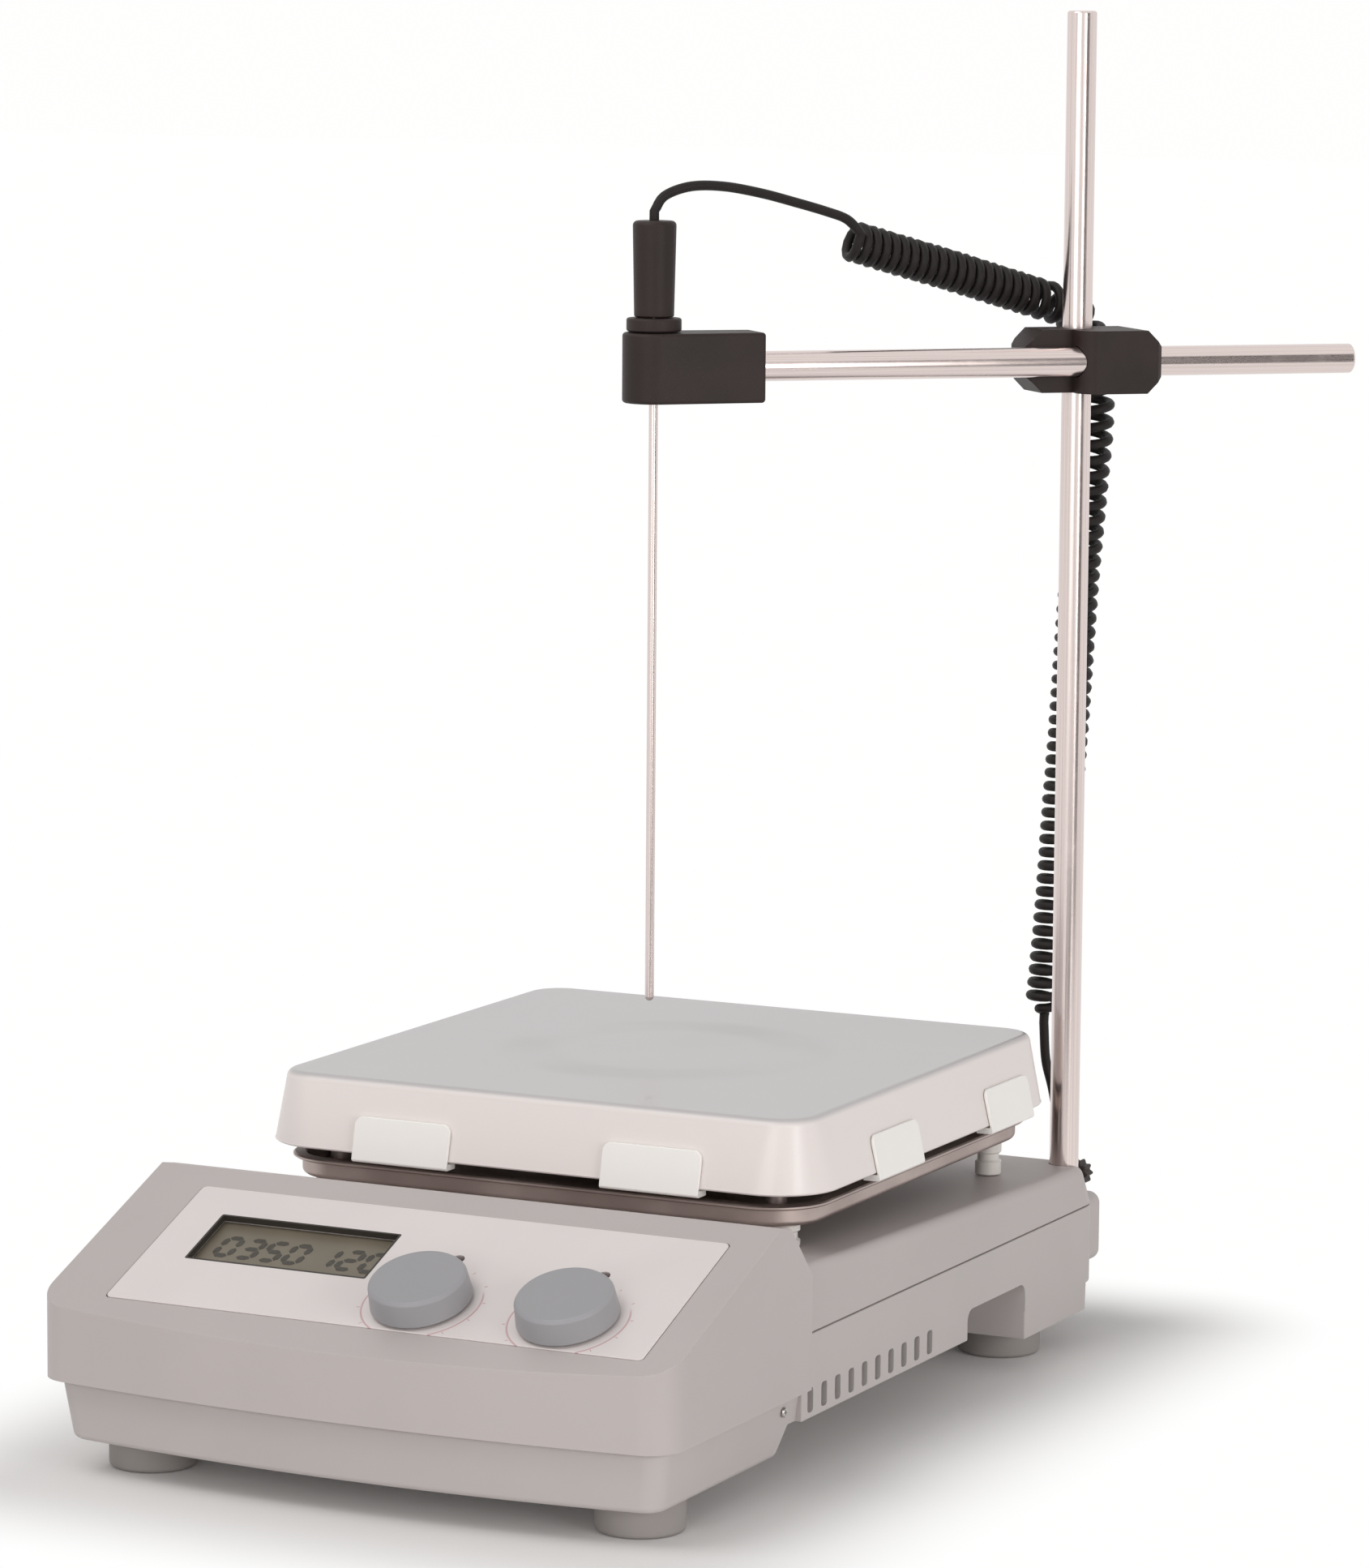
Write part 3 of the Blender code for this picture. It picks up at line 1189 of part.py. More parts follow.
def make_inlet(origin, face, middle_z, materials):
    """Mains inlet: a sleeve with three flat pins on its floor."""
    half, rise = INLET_WIDTH / 2, INLET_HEIGHT / 2
    mouth = face + CONNECTION_PROUD
    back = mouth - INLET_DEPTH
    shape = box((INLET_X - half, INLET_X + half), (back, mouth), (middle_z - rise, middle_z + rise))
    piece = make_object("power_inlet", shape, materials["black"], origin)
    bevel_by_angle(piece, INLET_WALL / 2, 1, 60)
    floor = mouth - INLET_SOCKET_DEPTH
    inner, lift = half - INLET_WALL, rise - INLET_WALL
    recess = box((INLET_X - inner, INLET_X + inner), (floor, mouth + CUT_OVERRUN), (middle_z - lift, middle_z + lift))
    boolean(piece, make_object("inlet_recess", recess, parent=origin))
    pins = []
    for x, z in ((-INLET_PIN_SPACING, -INLET_PIN_RISE), (0, INLET_PIN_RISE), (INLET_PIN_SPACING, -INLET_PIN_RISE)):
        x_range = (INLET_X + x - INLET_PIN_WIDTH / 2, INLET_X + x + INLET_PIN_WIDTH / 2)
        z_range = (middle_z + z - INLET_PIN_HEIGHT / 2, middle_z + z + INLET_PIN_HEIGHT / 2)
        pins.append(box(x_range, (floor - INLET_WALL, floor + INLET_PIN_LENGTH), z_range))
    boolean(piece, make_object("inlet_pins", join_shapes(*pins), parent=origin), "UNION")


def make_rocker(origin, face, middle_z, materials):
    """Mains rocker, resting on its off side and turning about a pin just behind the panel's face."""
    half, rise = ROCKER_WIDTH / 2, ROCKER_HEIGHT / 2
    top = ROCKER_DEPTH + ROCKER_RISE
    profile = [(-rise, top), (0, top - ROCKER_DIP), (rise, top), (rise, 0)]
    profile += arc(0, 0, rise, 0, -180, 8)[1:]
    rings = [[(x, height, z) for z, height in profile] for x in (-half, half)]
    shape = loft(rings)
    moved(shape, turn=Matrix.Rotation(-ROCKER_TILT, 4, "X"))
    make_object("power_rocker", shape, materials["black"], origin, (ROCKER_X, face - ROCKER_DEPTH, middle_z))


def make_sensor_socket(origin, face, middle_z, materials):
    """Round sensor socket in the rear panel."""
    length = SOCKET_LENGTH
    profile = [
        (0, 0),
        (SOCKET_RADIUS, 0),
        (SOCKET_RADIUS, length),
        (SOCKET_BORE_RADIUS, length),
        (SOCKET_BORE_RADIUS, length - SOCKET_BORE_DEPTH),
        (0, length - SOCKET_BORE_DEPTH),
    ]
    mouth = face + CONNECTION_PROUD
    towards_rear = (-math.pi / 2, 0, 0)
    place = (TAIL_ROUTE[-1][0], mouth - length, middle_z)
    make_object("sensor_socket", turned(profile, ROD_SIDES), materials["steel"], origin, place, towards_rear)
    return mouth


# Stand rod, clamp and arm


def make_stand(origin, materials):
    """Stand rod in its socket, with the screw that locks it from behind."""
    floor = TRAY_WALL_BOTTOM_Z + HOUSING_WALL + FIT_GAP
    rod = rod_profile(ROD_RADIUS, floor, ROD_TOP_Z, ROD_END_CHAMFER)
    make_object("stand_rod", turned(rod, ROD_SIDES), materials["steel"], origin, (ROD_X, ROD_Y, 0))
    inner = ROD_RADIUS + RUNNING_CLEARANCE
    top = BODY_SPLIT_Z - FIT_GAP
    socket = [(inner, floor), (ROD_SOCKET_RADIUS, floor), (ROD_SOCKET_RADIUS, top), (inner, top)]
    make_object("rod_socket", turned(socket, ROD_SIDES), materials["brass"], origin, (ROD_X, ROD_Y, 0))
    lean = DECK_LEAN * (LOCK_SCREW_Z - BODY_SPLIT_Z) / (DECK_FRONT_Z - BODY_SPLIT_Z)
    head = BODY_REAR_Y - ROD_Y - lean + 2 * FIT_GAP
    tip = ROD_RADIUS + RUNNING_CLEARANCE
    screw = thumb_screw(LOCK_SCREW_RADIUS, LOCK_HEAD_RADIUS, tip, head, LOCK_HEAD_LENGTH)
    towards_rear = Matrix.Rotation(-math.pi / 2, 4, "X")
    place = (ROD_X, ROD_Y, LOCK_SCREW_Z)
    make_object("rod_lock_screw", moved(screw, turn=towards_rear), materials["black"], origin, place)


def thumb_screw(shank_radius, head_radius, tip, seat, head_length):
    """A screw along Z with a lobed grip, its tip and its head's seat at given heights."""
    count = GRIP_LOBES * 4
    shank = arc(0, 0, shank_radius, 0, 360 - 360 / count, count - 1)
    edge = GRIP_LOBE_DEPTH
    lobes = lobed_outline(head_radius, GRIP_LOBES, GRIP_LOBE_DEPTH)
    small_lobes = lobed_outline(head_radius - edge, GRIP_LOBES, GRIP_LOBE_DEPTH)
    return loft([
        at_height(shank, tip),
        at_height(shank, seat),
        at_height(small_lobes, seat),
        at_height(lobes, seat + edge),
        at_height(lobes, seat + head_length - edge),
        at_height(small_lobes, seat + head_length),
    ])


def make_clamp(arm_frame, materials):
    """Rod clamp: one bore for the stand rod, one for the arm, an open wing behind the arm and two screws."""
    left, right = -CLAMP_LEFT, CLAMP_RIGHT
    rear, front = CLAMP_REAR, -CLAMP_FRONT
    wing = -CLAMP_WING_FACE
    edge = CLAMP_EDGE
    cheek = -CLAMP_CHEEK_START
    radius = CLAMP_CHEEK_RADIUS
    plan = [(left, rear - edge), (left, wing + edge), (left + edge, wing), (cheek, wing)]
    plan += arc(cheek + radius, front + radius, radius, 180, 270, CORNER_STEPS)
    plan += [(right - edge, front), (right, front + edge), (right, rear - edge), (right - edge, rear), (left + edge, rear)]
    half = CLAMP_HALF_HEIGHT
    piece = make_object("clamp_body", prism(plan, -half, half), materials["black"], arm_frame)
    chamfer = CLAMP_CHAMFER
    side_view = [
        (left, -half + chamfer),
        (left + chamfer, -half),
        (right - chamfer, -half),
        (right, -half + chamfer),
        (right, half - chamfer),
        (right - chamfer, half),
        (left + chamfer, half),
        (left, half - chamfer),
    ]
    reach = CLAMP_FRONT + CUT_OVERRUN
    envelope = loft([[(x, y, z) for x, z in side_view] for y in (reach, -reach)])
    boolean(piece, make_object("clamp_envelope", envelope, parent=arm_frame), "INTERSECT")
    bore = ROD_RADIUS + RUNNING_CLEARANCE
    tall = half + CUT_OVERRUN
    rod_bore = [(0, -tall), (bore, -tall), (bore, tall), (0, tall)]
    boolean(piece, make_object("clamp_rod_bore", turned(rod_bore, ROD_SIDES), parent=arm_frame))
    long = CLAMP_RIGHT + CUT_OVERRUN
    arm_bore = [(0, -long), (bore, -long), (bore, long), (0, long)]
    along_arm = Matrix.Rotation(math.pi / 2, 4, "Y")
    arm_cut = moved(turned(arm_bore, ROD_SIDES), (0, -ARM_OFFSET, 0), along_arm)
    boolean(piece, make_object("clamp_arm_bore", arm_cut, parent=arm_frame))
    screw_bore = CLAMP_SCREW_RADIUS + RUNNING_CLEARANCE
    deep = CLAMP_REAR + CUT_OVERRUN
    backwards = Matrix.Rotation(-math.pi / 2, 4, "X")
    short_bore = [(0, 0), (screw_bore, 0), (screw_bore, deep), (0, deep)]
    long_bore = [(0, -ARM_OFFSET), (screw_bore, -ARM_OFFSET), (screw_bore, deep), (0, deep)]
    screw_cuts = join_shapes(
        moved(turned(short_bore, SMALL_SIDES), turn=backwards),
        moved(turned(long_bore, SMALL_SIDES), (ARM_SCREW_X, 0, 0), backwards),
    )
    boolean(piece, make_object("clamp_screw_bores", screw_cuts, parent=arm_frame))
    seat = CLAMP_REAR + FIT_GAP
    for name, x, tip in (
        ("clamp_rod_screw", 0, ROD_RADIUS + RUNNING_CLEARANCE),
        ("clamp_arm_screw", ARM_SCREW_X, ROD_RADIUS + RUNNING_CLEARANCE - ARM_OFFSET),
    ):
        screw = thumb_screw(CLAMP_SCREW_RADIUS, CLAMP_SCREW_HEAD_RADIUS, tip, seat, CLAMP_SCREW_HEAD_LENGTH)
        make_object(name, moved(screw, turn=backwards), materials["black"], arm_frame, (x, 0, 0))


def make_arm(arm_frame, materials):
    """The arm rod, and the probe holder on its end."""
    along_arm = Matrix.Rotation(math.pi / 2, 4, "Y")
    place = (0, -ARM_OFFSET, 0)
    arm = turned(rod_profile(ROD_RADIUS, -ARM_REACH, ARM_TAIL, ROD_END_CHAMFER), ROD_SIDES)
    make_object("arm_rod", moved(arm, turn=along_arm), materials["steel"], arm_frame, place)

    boss = HOLDER_BOSS_RADIUS
    thick = HOLDER_END_HALF_THICKNESS
    end = HOLDER_LENGTH
    half = HOLDER_HALF_HEIGHT
    lean = math.degrees(math.acos((boss - thick) / end))
    plan = arc(0, 0, boss, lean, 360 - lean, 10) + [(end, -thick), (end, thick)]
    shape = prism(plan, -half, half)
    probe_place = (-PROBE_REACH, -ARM_OFFSET, 0)
    piece = make_object("probe_holder", shape, materials["black"], arm_frame, probe_place)
    bevel_by_angle(piece, HOLDER_EDGE, 2, 50)
    bore = ROD_RADIUS + FIT_GAP
    bore_start = PROBE_REACH - ARM_REACH - FIT_GAP
    arm_bore = [(0, bore_start), (bore, bore_start), (bore, end + CUT_OVERRUN), (0, end + CUT_OVERRUN)]
    arm_cut = make_object("holder_arm_bore", moved(turned(arm_bore, ROD_SIDES), turn=along_arm), parent=arm_frame)
    arm_cut.location = probe_place
    boolean(piece, arm_cut)
    hole = PROBE_RADIUS + RUNNING_CLEARANCE
    tall = half + CUT_OVERRUN
    probe_bore = [(0, -tall), (hole, -tall), (hole, tall), (0, tall)]
    probe_cut = make_object("holder_probe_bore", turned(probe_bore, SMALL_SIDES), parent=arm_frame)
    probe_cut.location = probe_place
    boolean(piece, probe_cut)


def make_probe(probe_frame, materials):
    """Temperature probe: stem, seating collar and handle, on the probe's own axis from the bench up."""
    hole = PROBE_RADIUS + FIT_GAP
    bottom = ARM_Z + HOLDER_HALF_HEIGHT + FIT_GAP
    top = bottom + COLLAR_HEIGHT
    collar = [
        (hole, bottom),
        (COLLAR_RADIUS - COLLAR_EDGE, bottom),
        (COLLAR_RADIUS, bottom + COLLAR_EDGE),
        (COLLAR_RADIUS, top - COLLAR_EDGE),
        (COLLAR_RADIUS - COLLAR_EDGE, top),
        (hole, top),
    ]
    make_object("probe_collar", turned(collar), materials["black"], probe_frame)
    bottom = top + FIT_GAP
    top = bottom + HANDLE_HEIGHT
    socket = bottom + HANDLE_SOCKET_DEPTH
    handle = [
        (0, socket),
        (hole, socket),
        (hole, bottom),
        (HANDLE_BOTTOM_RADIUS, bottom),
        (HANDLE_TOP_RADIUS, top - HANDLE_EDGE),
        (HANDLE_TOP_RADIUS - HANDLE_EDGE, top),
        (0, top),
    ]
    make_object("probe_handle", turned(handle), materials["black"], probe_frame)
    stem = [
        (0, PROBE_TIP_Z),
        (PROBE_RADIUS / 2, PROBE_TIP_Z + PROBE_TIP_LENGTH / 6),
        (PROBE_RADIUS, PROBE_TIP_Z + PROBE_TIP_LENGTH),
        (PROBE_RADIUS, socket - FIT_GAP),
        (0, socket - FIT_GAP),
    ]
    make_object("probe_stem", turned(stem, SMALL_SIDES), materials["steel"], probe_frame)


# Probe cord


def smooth_route(points, spacing):
    """Points at even distances along a smooth curve through a route."""
    knots = [Vector(point) for point in points]
    knots = [2 * knots[0] - knots[1]] + knots + [2 * knots[-1] - knots[-2]]
    fine = []
    steps = 24
    for before, start, end, after in zip(knots, knots[1:], knots[2:], knots[3:]):
        for step in range(steps):
            share = step / steps
            fine.append(
                0.5
                * (
                    2 * start
                    + (end - before) * share
                    + (2 * before - 5 * start + 4 * end - after) * share**2
                    + (3 * start - before - 3 * end + after) * share**3
                )
            )
    fine.append(knots[-2])
    lengths = [0.0]
    for first, second in zip(fine, fine[1:]):
        lengths.append(lengths[-1] + (second - first).length)
    count = max(2, round(lengths[-1] / spacing))
    result = []
    index = 0
    for step in range(count + 1):
        target = lengths[-1] * step / count
        while index < len(lengths) - 2 and lengths[index + 1] < target:
            index += 1
        share = (target - lengths[index]) / (lengths[index + 1] - lengths[index])
        result.append(fine[index].lerp(fine[index + 1], share))
    return result, lengths[-1]


def pitch_at(share):
    """Distance between curls at a share of the way along the curly stretch."""
    stops = (
        (0.0, TIGHT_PITCH),
        (TIGHT_UNTIL_SHARE, TIGHT_PITCH),
        (BEND_FROM_SHARE, BEND_PITCH),
        (BEND_UNTIL_SHARE, BEND_PITCH),
        (HANGING_UNTIL_SHARE, HANGING_PITCH),
        (LOWER_FROM_SHARE, LOWER_PITCH),
        (1.0, LOWER_PITCH),
    )
    for (start, first), (end, second) in zip(stops, stops[1:]):
        if share <= end:
            return first + (second - first) * (share - start) / (end - start)
    return LOWER_PITCH


def curl_points():
    """The helix of the curly stretch, wound about its route, with its turns and its first direction."""
    step_length = CORD_RADIUS / 5
    axis, length = smooth_route(CURL_ROUTE, step_length)
    count = len(axis) - 1
    first_side = Vector((1, -1, 0))
    side = None
    angle = 0.0
    turns = 0.0
    path = []
    for index, centre in enumerate(axis):
        ahead = axis[min(index + 1, count)]
        behind = axis[max(index - 1, 0)]
        tangent = (ahead - behind).normalized()
        reference = first_side if side is None else side
        side = (reference - tangent * reference.dot(tangent)).normalized()
        across = tangent.cross(side)
        left = length * (1 - index / count)
        radius = CURL_RADIUS * min(1.0, left / CURL_LEAVES_OVER)
        path.append((turns, centre + radius * (side * math.cos(angle) + across * math.sin(angle))))
        turn = (length / count) / pitch_at(index / count)
        turns += turn
        angle = 2 * math.pi * turns
    return path, turns


def pick_by_turns(path, per_turn):
    """Every point of a fine helix that falls on an even share of a turn."""
    picked = []
    target = 0.0
    for turns, point in path:
        if turns >= target:
            picked.append(point)
            target += 1 / per_turn
    picked.append(path[-1][1])
    return picked


def least_gap(points, radius, skip):
    """Smallest distance between the skins of stretches that aren't neighbours along the cord."""
    smallest = math.inf
    for first in range(len(points)):
        for second in range(first + skip, min(first + 4 * skip, len(points))):
            smallest = min(smallest, (points[first] - points[second]).length - 2 * radius)
    return smallest


def make_tube(name, points, radius, resolution, material, parent):
    """A round tube with filled ends along points."""
    curve = bpy.data.curves.new(name, "CURVE")
    curve.dimensions = "3D"
    curve.bevel_depth = radius
    curve.bevel_resolution = resolution
    curve.use_fill_caps = True
    spline = curve.splines.new("POLY")
    spline.points.add(len(points) - 1)
    for target, point in zip(spline.points, points):
        target.co = (*point, 1.0)
    curve.materials.append(material)
    piece = bpy.data.objects.new(name, curve)
    bpy.context.collection.objects.link(piece)
    piece.parent = parent
    return piece


def make_cord(origin, handle_top, plug_top, materials):
    """Probe cord in three stretches: the lead over the arm, the curly stretch and the tail to the plug."""
    fine, turns = curl_points()
    curls = pick_by_turns(fine, CURL_POINTS)
    diameter = 2 * CORD_RADIUS
    into_curls = (curls[1] - curls[0]).normalized()
    curls = [curls[0] - into_curls * diameter] + curls
    out_of_curls = (Vector(TAIL_ROUTE[0]) - curls[-1]).normalized()
    curls.append(curls[-1] + out_of_curls * diameter)
    print("curls", round(turns, 1), "least gap in mm", round(1000 * least_gap(curls, CORD_RADIUS, 5), 2))
    make_tube("curly_cord", curls, CORD_RADIUS, 1, materials["cord"], origin)

    gap = FIT_GAP
    start = Vector((LEAD_ROUTE[0][0], LEAD_ROUTE[0][1], handle_top + gap))
    rise = start + Vector((0, 0, diameter))
    end = curls[0] - into_curls * gap
    run_in = end - into_curls * diameter
    lead, _ = smooth_route([rise, *LEAD_ROUTE[2:], run_in], ROUTE_SPACING)
    make_tube("cord_lead", [start] + lead + [end], CORD_RADIUS, 2, materials["cord"], origin)

    start = curls[-1] + out_of_curls * gap
    run_out = start + out_of_curls * diameter
    end = Vector((TAIL_ROUTE[-1][0], TAIL_ROUTE[-1][1], plug_top + gap))
    above = end + Vector((0, 0, diameter))
    tail, _ = smooth_route([run_out, *TAIL_ROUTE[1:-1], above], ROUTE_SPACING)
    make_tube("cord_tail", [start] + tail + [end], CORD_RADIUS, 2, materials["cord"], origin)


def make_plug(origin, mouth, middle_z, materials):
    """Angled sensor plug: a nose in the socket, a round body and a tapered relief that points up."""
    x, outlet_y = TAIL_ROUTE[-1][0], TAIL_ROUTE[-1][1]
    start = mouth + FIT_GAP
    length = outlet_y - start + PLUG_BODY_END
    profile = [
        (0, -PLUG_NOSE_LENGTH),
        (PLUG_NOSE_RADIUS, -PLUG_NOSE_LENGTH),
        (PLUG_NOSE_RADIUS, 0),
        (PLUG_BODY_RADIUS, 0),
        (PLUG_BODY_RADIUS, length - PLUG_EDGE),
        (PLUG_BODY_RADIUS - PLUG_EDGE, length),
        (0, length),
    ]
    towards_rear = Matrix.Rotation(-math.pi / 2, 4, "X")
    shape = moved(turned(profile, ROD_SIDES), (x, start, middle_z), towards_rear)
    piece = make_object("sensor_plug", shape, materials["black"], origin)
    relief = [
        (0, 0),
        (PLUG_OUTLET_RADIUS, 0),
        (PLUG_OUTLET_RADIUS, PLUG_BODY_RADIUS + PLUG_EDGE),
        (PLUG_RELIEF_TOP_RADIUS, PLUG_RELIEF_HEIGHT),
        (0, PLUG_RELIEF_HEIGHT),
    ]
    tool = make_object("plug_relief", turned(relief, SMALL_SIDES), parent=origin, location=(x, outlet_y, middle_z))
    boolean(piece, tool, "UNION")
    return middle_z + PLUG_RELIEF_HEIGHT


# Assembly


def footprint_middle():
    """Middle of the footprint without the cord: nose on the left and front, arm end on the right and rear."""
    along = Vector((math.cos(ARM_TURN), math.sin(ARM_TURN), 0))
    across = Vector((-along.y, along.x, 0))
    end = Vector((ROD_X, ROD_Y, 0)) + along * ARM_TAIL - across * ARM_OFFSET
    edge = end - along * ROD_END_CHAMFER
    right = max(edge.x + ROD_RADIUS * along.y, end.x + (ROD_RADIUS - ROD_END_CHAMFER) * along.y)
    rear = max(edge.y + ROD_RADIUS * along.x, end.y + (ROD_RADIUS - ROD_END_CHAMFER) * along.x)
    return (right - NOSE_WIDTH / 2) / 2, (rear + FRONT_Y) / 2


def clear_scene():
    """Removes whatever the scene holds."""
    for item in list(bpy.data.objects):
        bpy.data.objects.remove(item, do_unlink=True)


def main():
    clear_scene()
    materials = make_materials()
    middle_x, middle_y = footprint_middle()
    origin = make_empty("hotplate_stirrer", location=(-middle_x, -middle_y, 0))
    panel_plane = make_empty("panel_plane", origin, (0, CREST_Y, CREST_Z), (PANEL_SLOPE, 0, 0))
    arm_frame = make_empty("arm_frame", origin, (ROD_X, ROD_Y, ARM_Z), (0, 0, ARM_TURN))
    probe_frame = make_empty("probe_frame", arm_frame, (-PROBE_REACH, -ARM_OFFSET, -ARM_Z))

    make_upper_housing(origin, panel_plane, materials)
    make_lower_housing(origin, materials)
    make_feet(origin, materials)
    make_panel(panel_plane, materials)
    board_top, encoder_top = make_display(panel_plane, materials)
    make_knobs(panel_plane, board_top, encoder_top, materials)
    ceiling = make_plate(origin, materials)
    make_clips(origin, materials)
    make_heater(origin, ceiling, materials)
    make_pan(origin, ceiling, materials)
    make_drive(origin, materials)
    make_power_board(origin, materials)
    face, middle_z = make_rear_panel(origin, materials)
    make_inlet(origin, face, middle_z, materials)
    make_rocker(origin, face, middle_z, materials)
    mouth = make_sensor_socket(origin, face, middle_z, materials)
    make_stand(origin, materials)
    make_clamp(arm_frame, materials)
    make_arm(arm_frame, materials)
    make_probe(probe_frame, materials)
    plug_top = make_plug(origin, mouth, middle_z, materials)
    handle_top = ARM_Z + HOLDER_HALF_HEIGHT + COLLAR_HEIGHT + HANDLE_HEIGHT + 2 * FIT_GAP
    make_cord(origin, handle_top, plug_top, materials)


main()
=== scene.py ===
"""Looks of the hotplate stirrer: finished pieces, their materials, and a plain stage.

The pieces are drawn about the centre line of the heating plate, in metres, +Z up from the bench,
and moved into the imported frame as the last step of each.
"""

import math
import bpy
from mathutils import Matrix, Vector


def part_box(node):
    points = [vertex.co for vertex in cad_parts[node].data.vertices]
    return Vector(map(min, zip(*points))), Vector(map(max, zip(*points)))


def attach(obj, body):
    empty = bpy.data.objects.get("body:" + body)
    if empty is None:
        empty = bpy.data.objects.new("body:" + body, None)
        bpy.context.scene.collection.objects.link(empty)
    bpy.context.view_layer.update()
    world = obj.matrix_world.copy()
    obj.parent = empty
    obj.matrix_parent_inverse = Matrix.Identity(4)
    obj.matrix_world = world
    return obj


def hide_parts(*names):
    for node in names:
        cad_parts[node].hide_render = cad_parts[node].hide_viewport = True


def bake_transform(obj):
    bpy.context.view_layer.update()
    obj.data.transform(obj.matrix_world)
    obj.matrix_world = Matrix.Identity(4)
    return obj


bl_info = {
    "name": "Hotplate stirrer",
    "version": (1, 0, 0),
    "blender": (4, 5, 0),
    "location": "3D View > Sidebar > Hotplate",
    "description": "Dresses the hotplate stirrer with finished pieces, procedural materials and a plain stage",
    "category": "Object",
}

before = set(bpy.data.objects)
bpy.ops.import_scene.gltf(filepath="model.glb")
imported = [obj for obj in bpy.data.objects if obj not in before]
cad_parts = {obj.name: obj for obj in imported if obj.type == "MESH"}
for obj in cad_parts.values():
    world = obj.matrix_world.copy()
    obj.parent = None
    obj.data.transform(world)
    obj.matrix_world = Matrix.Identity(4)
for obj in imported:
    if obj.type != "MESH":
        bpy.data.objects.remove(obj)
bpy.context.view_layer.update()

import bmesh
import bpy
from bpy.props import FloatProperty, FloatVectorProperty, IntProperty, PointerProperty
from bpy.types import Operator, Panel, PropertyGroup
from mathutils import Matrix, Vector

plate_low, plate_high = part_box("top_plate")
SHIFT = Vector(((plate_low.x + plate_high.x) / 2, (plate_low.y + plate_high.y) / 2, 0))

# Allowances shared by every piece
FIT_GAP = 0.0003
CUT_OVERRUN = 0.004
HOUSING_WALL = 0.0025
RUNNING_CLEARANCE = 0.0003

# Front panel: its width comes from the display and the two knobs beside it
LCD_WIDTH = 0.0640
LCD_TO_PANEL_EDGE = 0.0152
LCD_TO_KNOB = 0.0248
KNOB_SPACING = 0.0503
KNOB_TO_PANEL_EDGE = 0.0321
PANEL_WIDTH = LCD_TO_PANEL_EDGE + LCD_WIDTH + LCD_TO_KNOB + KNOB_SPACING + KNOB_TO_PANEL_EDGE
PANEL_LEFT_MARGIN = 0.0218
PANEL_RIGHT_MARGIN = 0.0123
PANEL_MIDDLE_X = (PANEL_LEFT_MARGIN - PANEL_RIGHT_MARGIN) / 2
LCD_MIDDLE_X = PANEL_MIDDLE_X - PANEL_WIDTH / 2 + LCD_TO_PANEL_EDGE + LCD_WIDTH / 2
KNOB_MIDDLE_X = PANEL_MIDDLE_X + PANEL_WIDTH / 2 - KNOB_TO_PANEL_EDGE - KNOB_SPACING / 2

# Base: one wide nose that carries the controls, and a slightly narrower body behind it
NOSE_WIDTH = PANEL_WIDTH + PANEL_LEFT_MARGIN + PANEL_RIGHT_MARGIN
NOSE_FLARE = 0.0035
BODY_WIDTH = NOSE_WIDTH - 2 * NOSE_FLARE
FRONT_Y = -0.225
FRONT_BOW = 0.008
FRONT_CORNER_RADIUS = 0.012
CREST_Y = -0.141
CREST_Z = 0.086
LIP_Y = -0.217
LIP_Z = 0.0555
NOSE_REAR_Y = -0.118
NOSE_REAR_DROP = 0.0043
NOSE_BACK_LEAN = math.radians(42)
NOSE_EDGE_RADIUS = 0.007
LIP_EDGE_SHARE = 0.4
NOSE_SPLIT_Z = 0.031
BODY_REAR_Y = 0.125
BODY_SPLIT_Z = 0.0473
BODY_CORNER_RADIUS = 0.014
DECK_FRONT_Z = 0.0675
DECK_REAR_Z = 0.0600
DECK_LEAN = 0.004
DECK_EDGE_RADIUS = 0.003
NOSE_OVERLAP = 0.016

# Lower housing
TRAY_SIDE_INSET = 0.0045
TRAY_NOSE_WIDTH = NOSE_WIDTH - 2 * TRAY_SIDE_INSET
TRAY_FRONT_INSET = 0.0045
TRAY_NOSE_DRAFT = 0.0026
TRAY_BOTTOM_Z = 0.011
TRAY_WALL_BOTTOM_Z = 0.0202
TRAY_STEP_Y = -0.130
TRAY_STEP_RUN = 0.007
GRIP_START_Y = 0.010
GRIP_LENGTH = 0.048
GRIP_TOP_Z = 0.0305
GRIP_DEPTH = 0.022
LEG_WIDTH = 0.040
VENT_COUNT = 10
VENT_PITCH = 0.0101
VENT_WIDTH = 0.0042
VENT_START_Y = -0.1135
VENT_BOTTOM_Z = 0.0222
VENT_TOP_Z = 0.0300

# Feet
FOOT_RADIUS = 0.014
FOOT_TAPER = 0.001
FOOT_INSET_X = 0.0245
FRONT_FOOT_Y = -0.187
REAR_FOOT_Y = 0.085

# Control panel, measured on the slope from the crest line downwards
PANEL_HEIGHT = 0.0647
PANEL_FROM_CREST = 0.0108
PANEL_THICKNESS = 0.0012
PANEL_POCKET = 0.0012
PANEL_CORNER_RADIUS = 0.002
LCD_HEIGHT = 0.0250
LCD_FROM_CREST = 0.0381
LCD_WINDOW_THICKNESS = 0.0008
KNOB_FROM_CREST = 0.0595
KNOB_RADIUS = 0.0160
KNOB_TOP_RADIUS = 0.0153
KNOB_HEIGHT = 0.0085
KNOB_DISH = 0.0003
KNOB_PRESS = 0.0006
KNOB_ROOF = 0.0026
SHAFT_RADIUS = 0.003
SHAFT_HOLE_RADIUS = 0.0036
LAMP_FROM_CREST = 0.0350
LAMP_RADIUS = 0.0019
LAMP_LENGTH = 0.0040
LAMP_PROUD = 0.0006

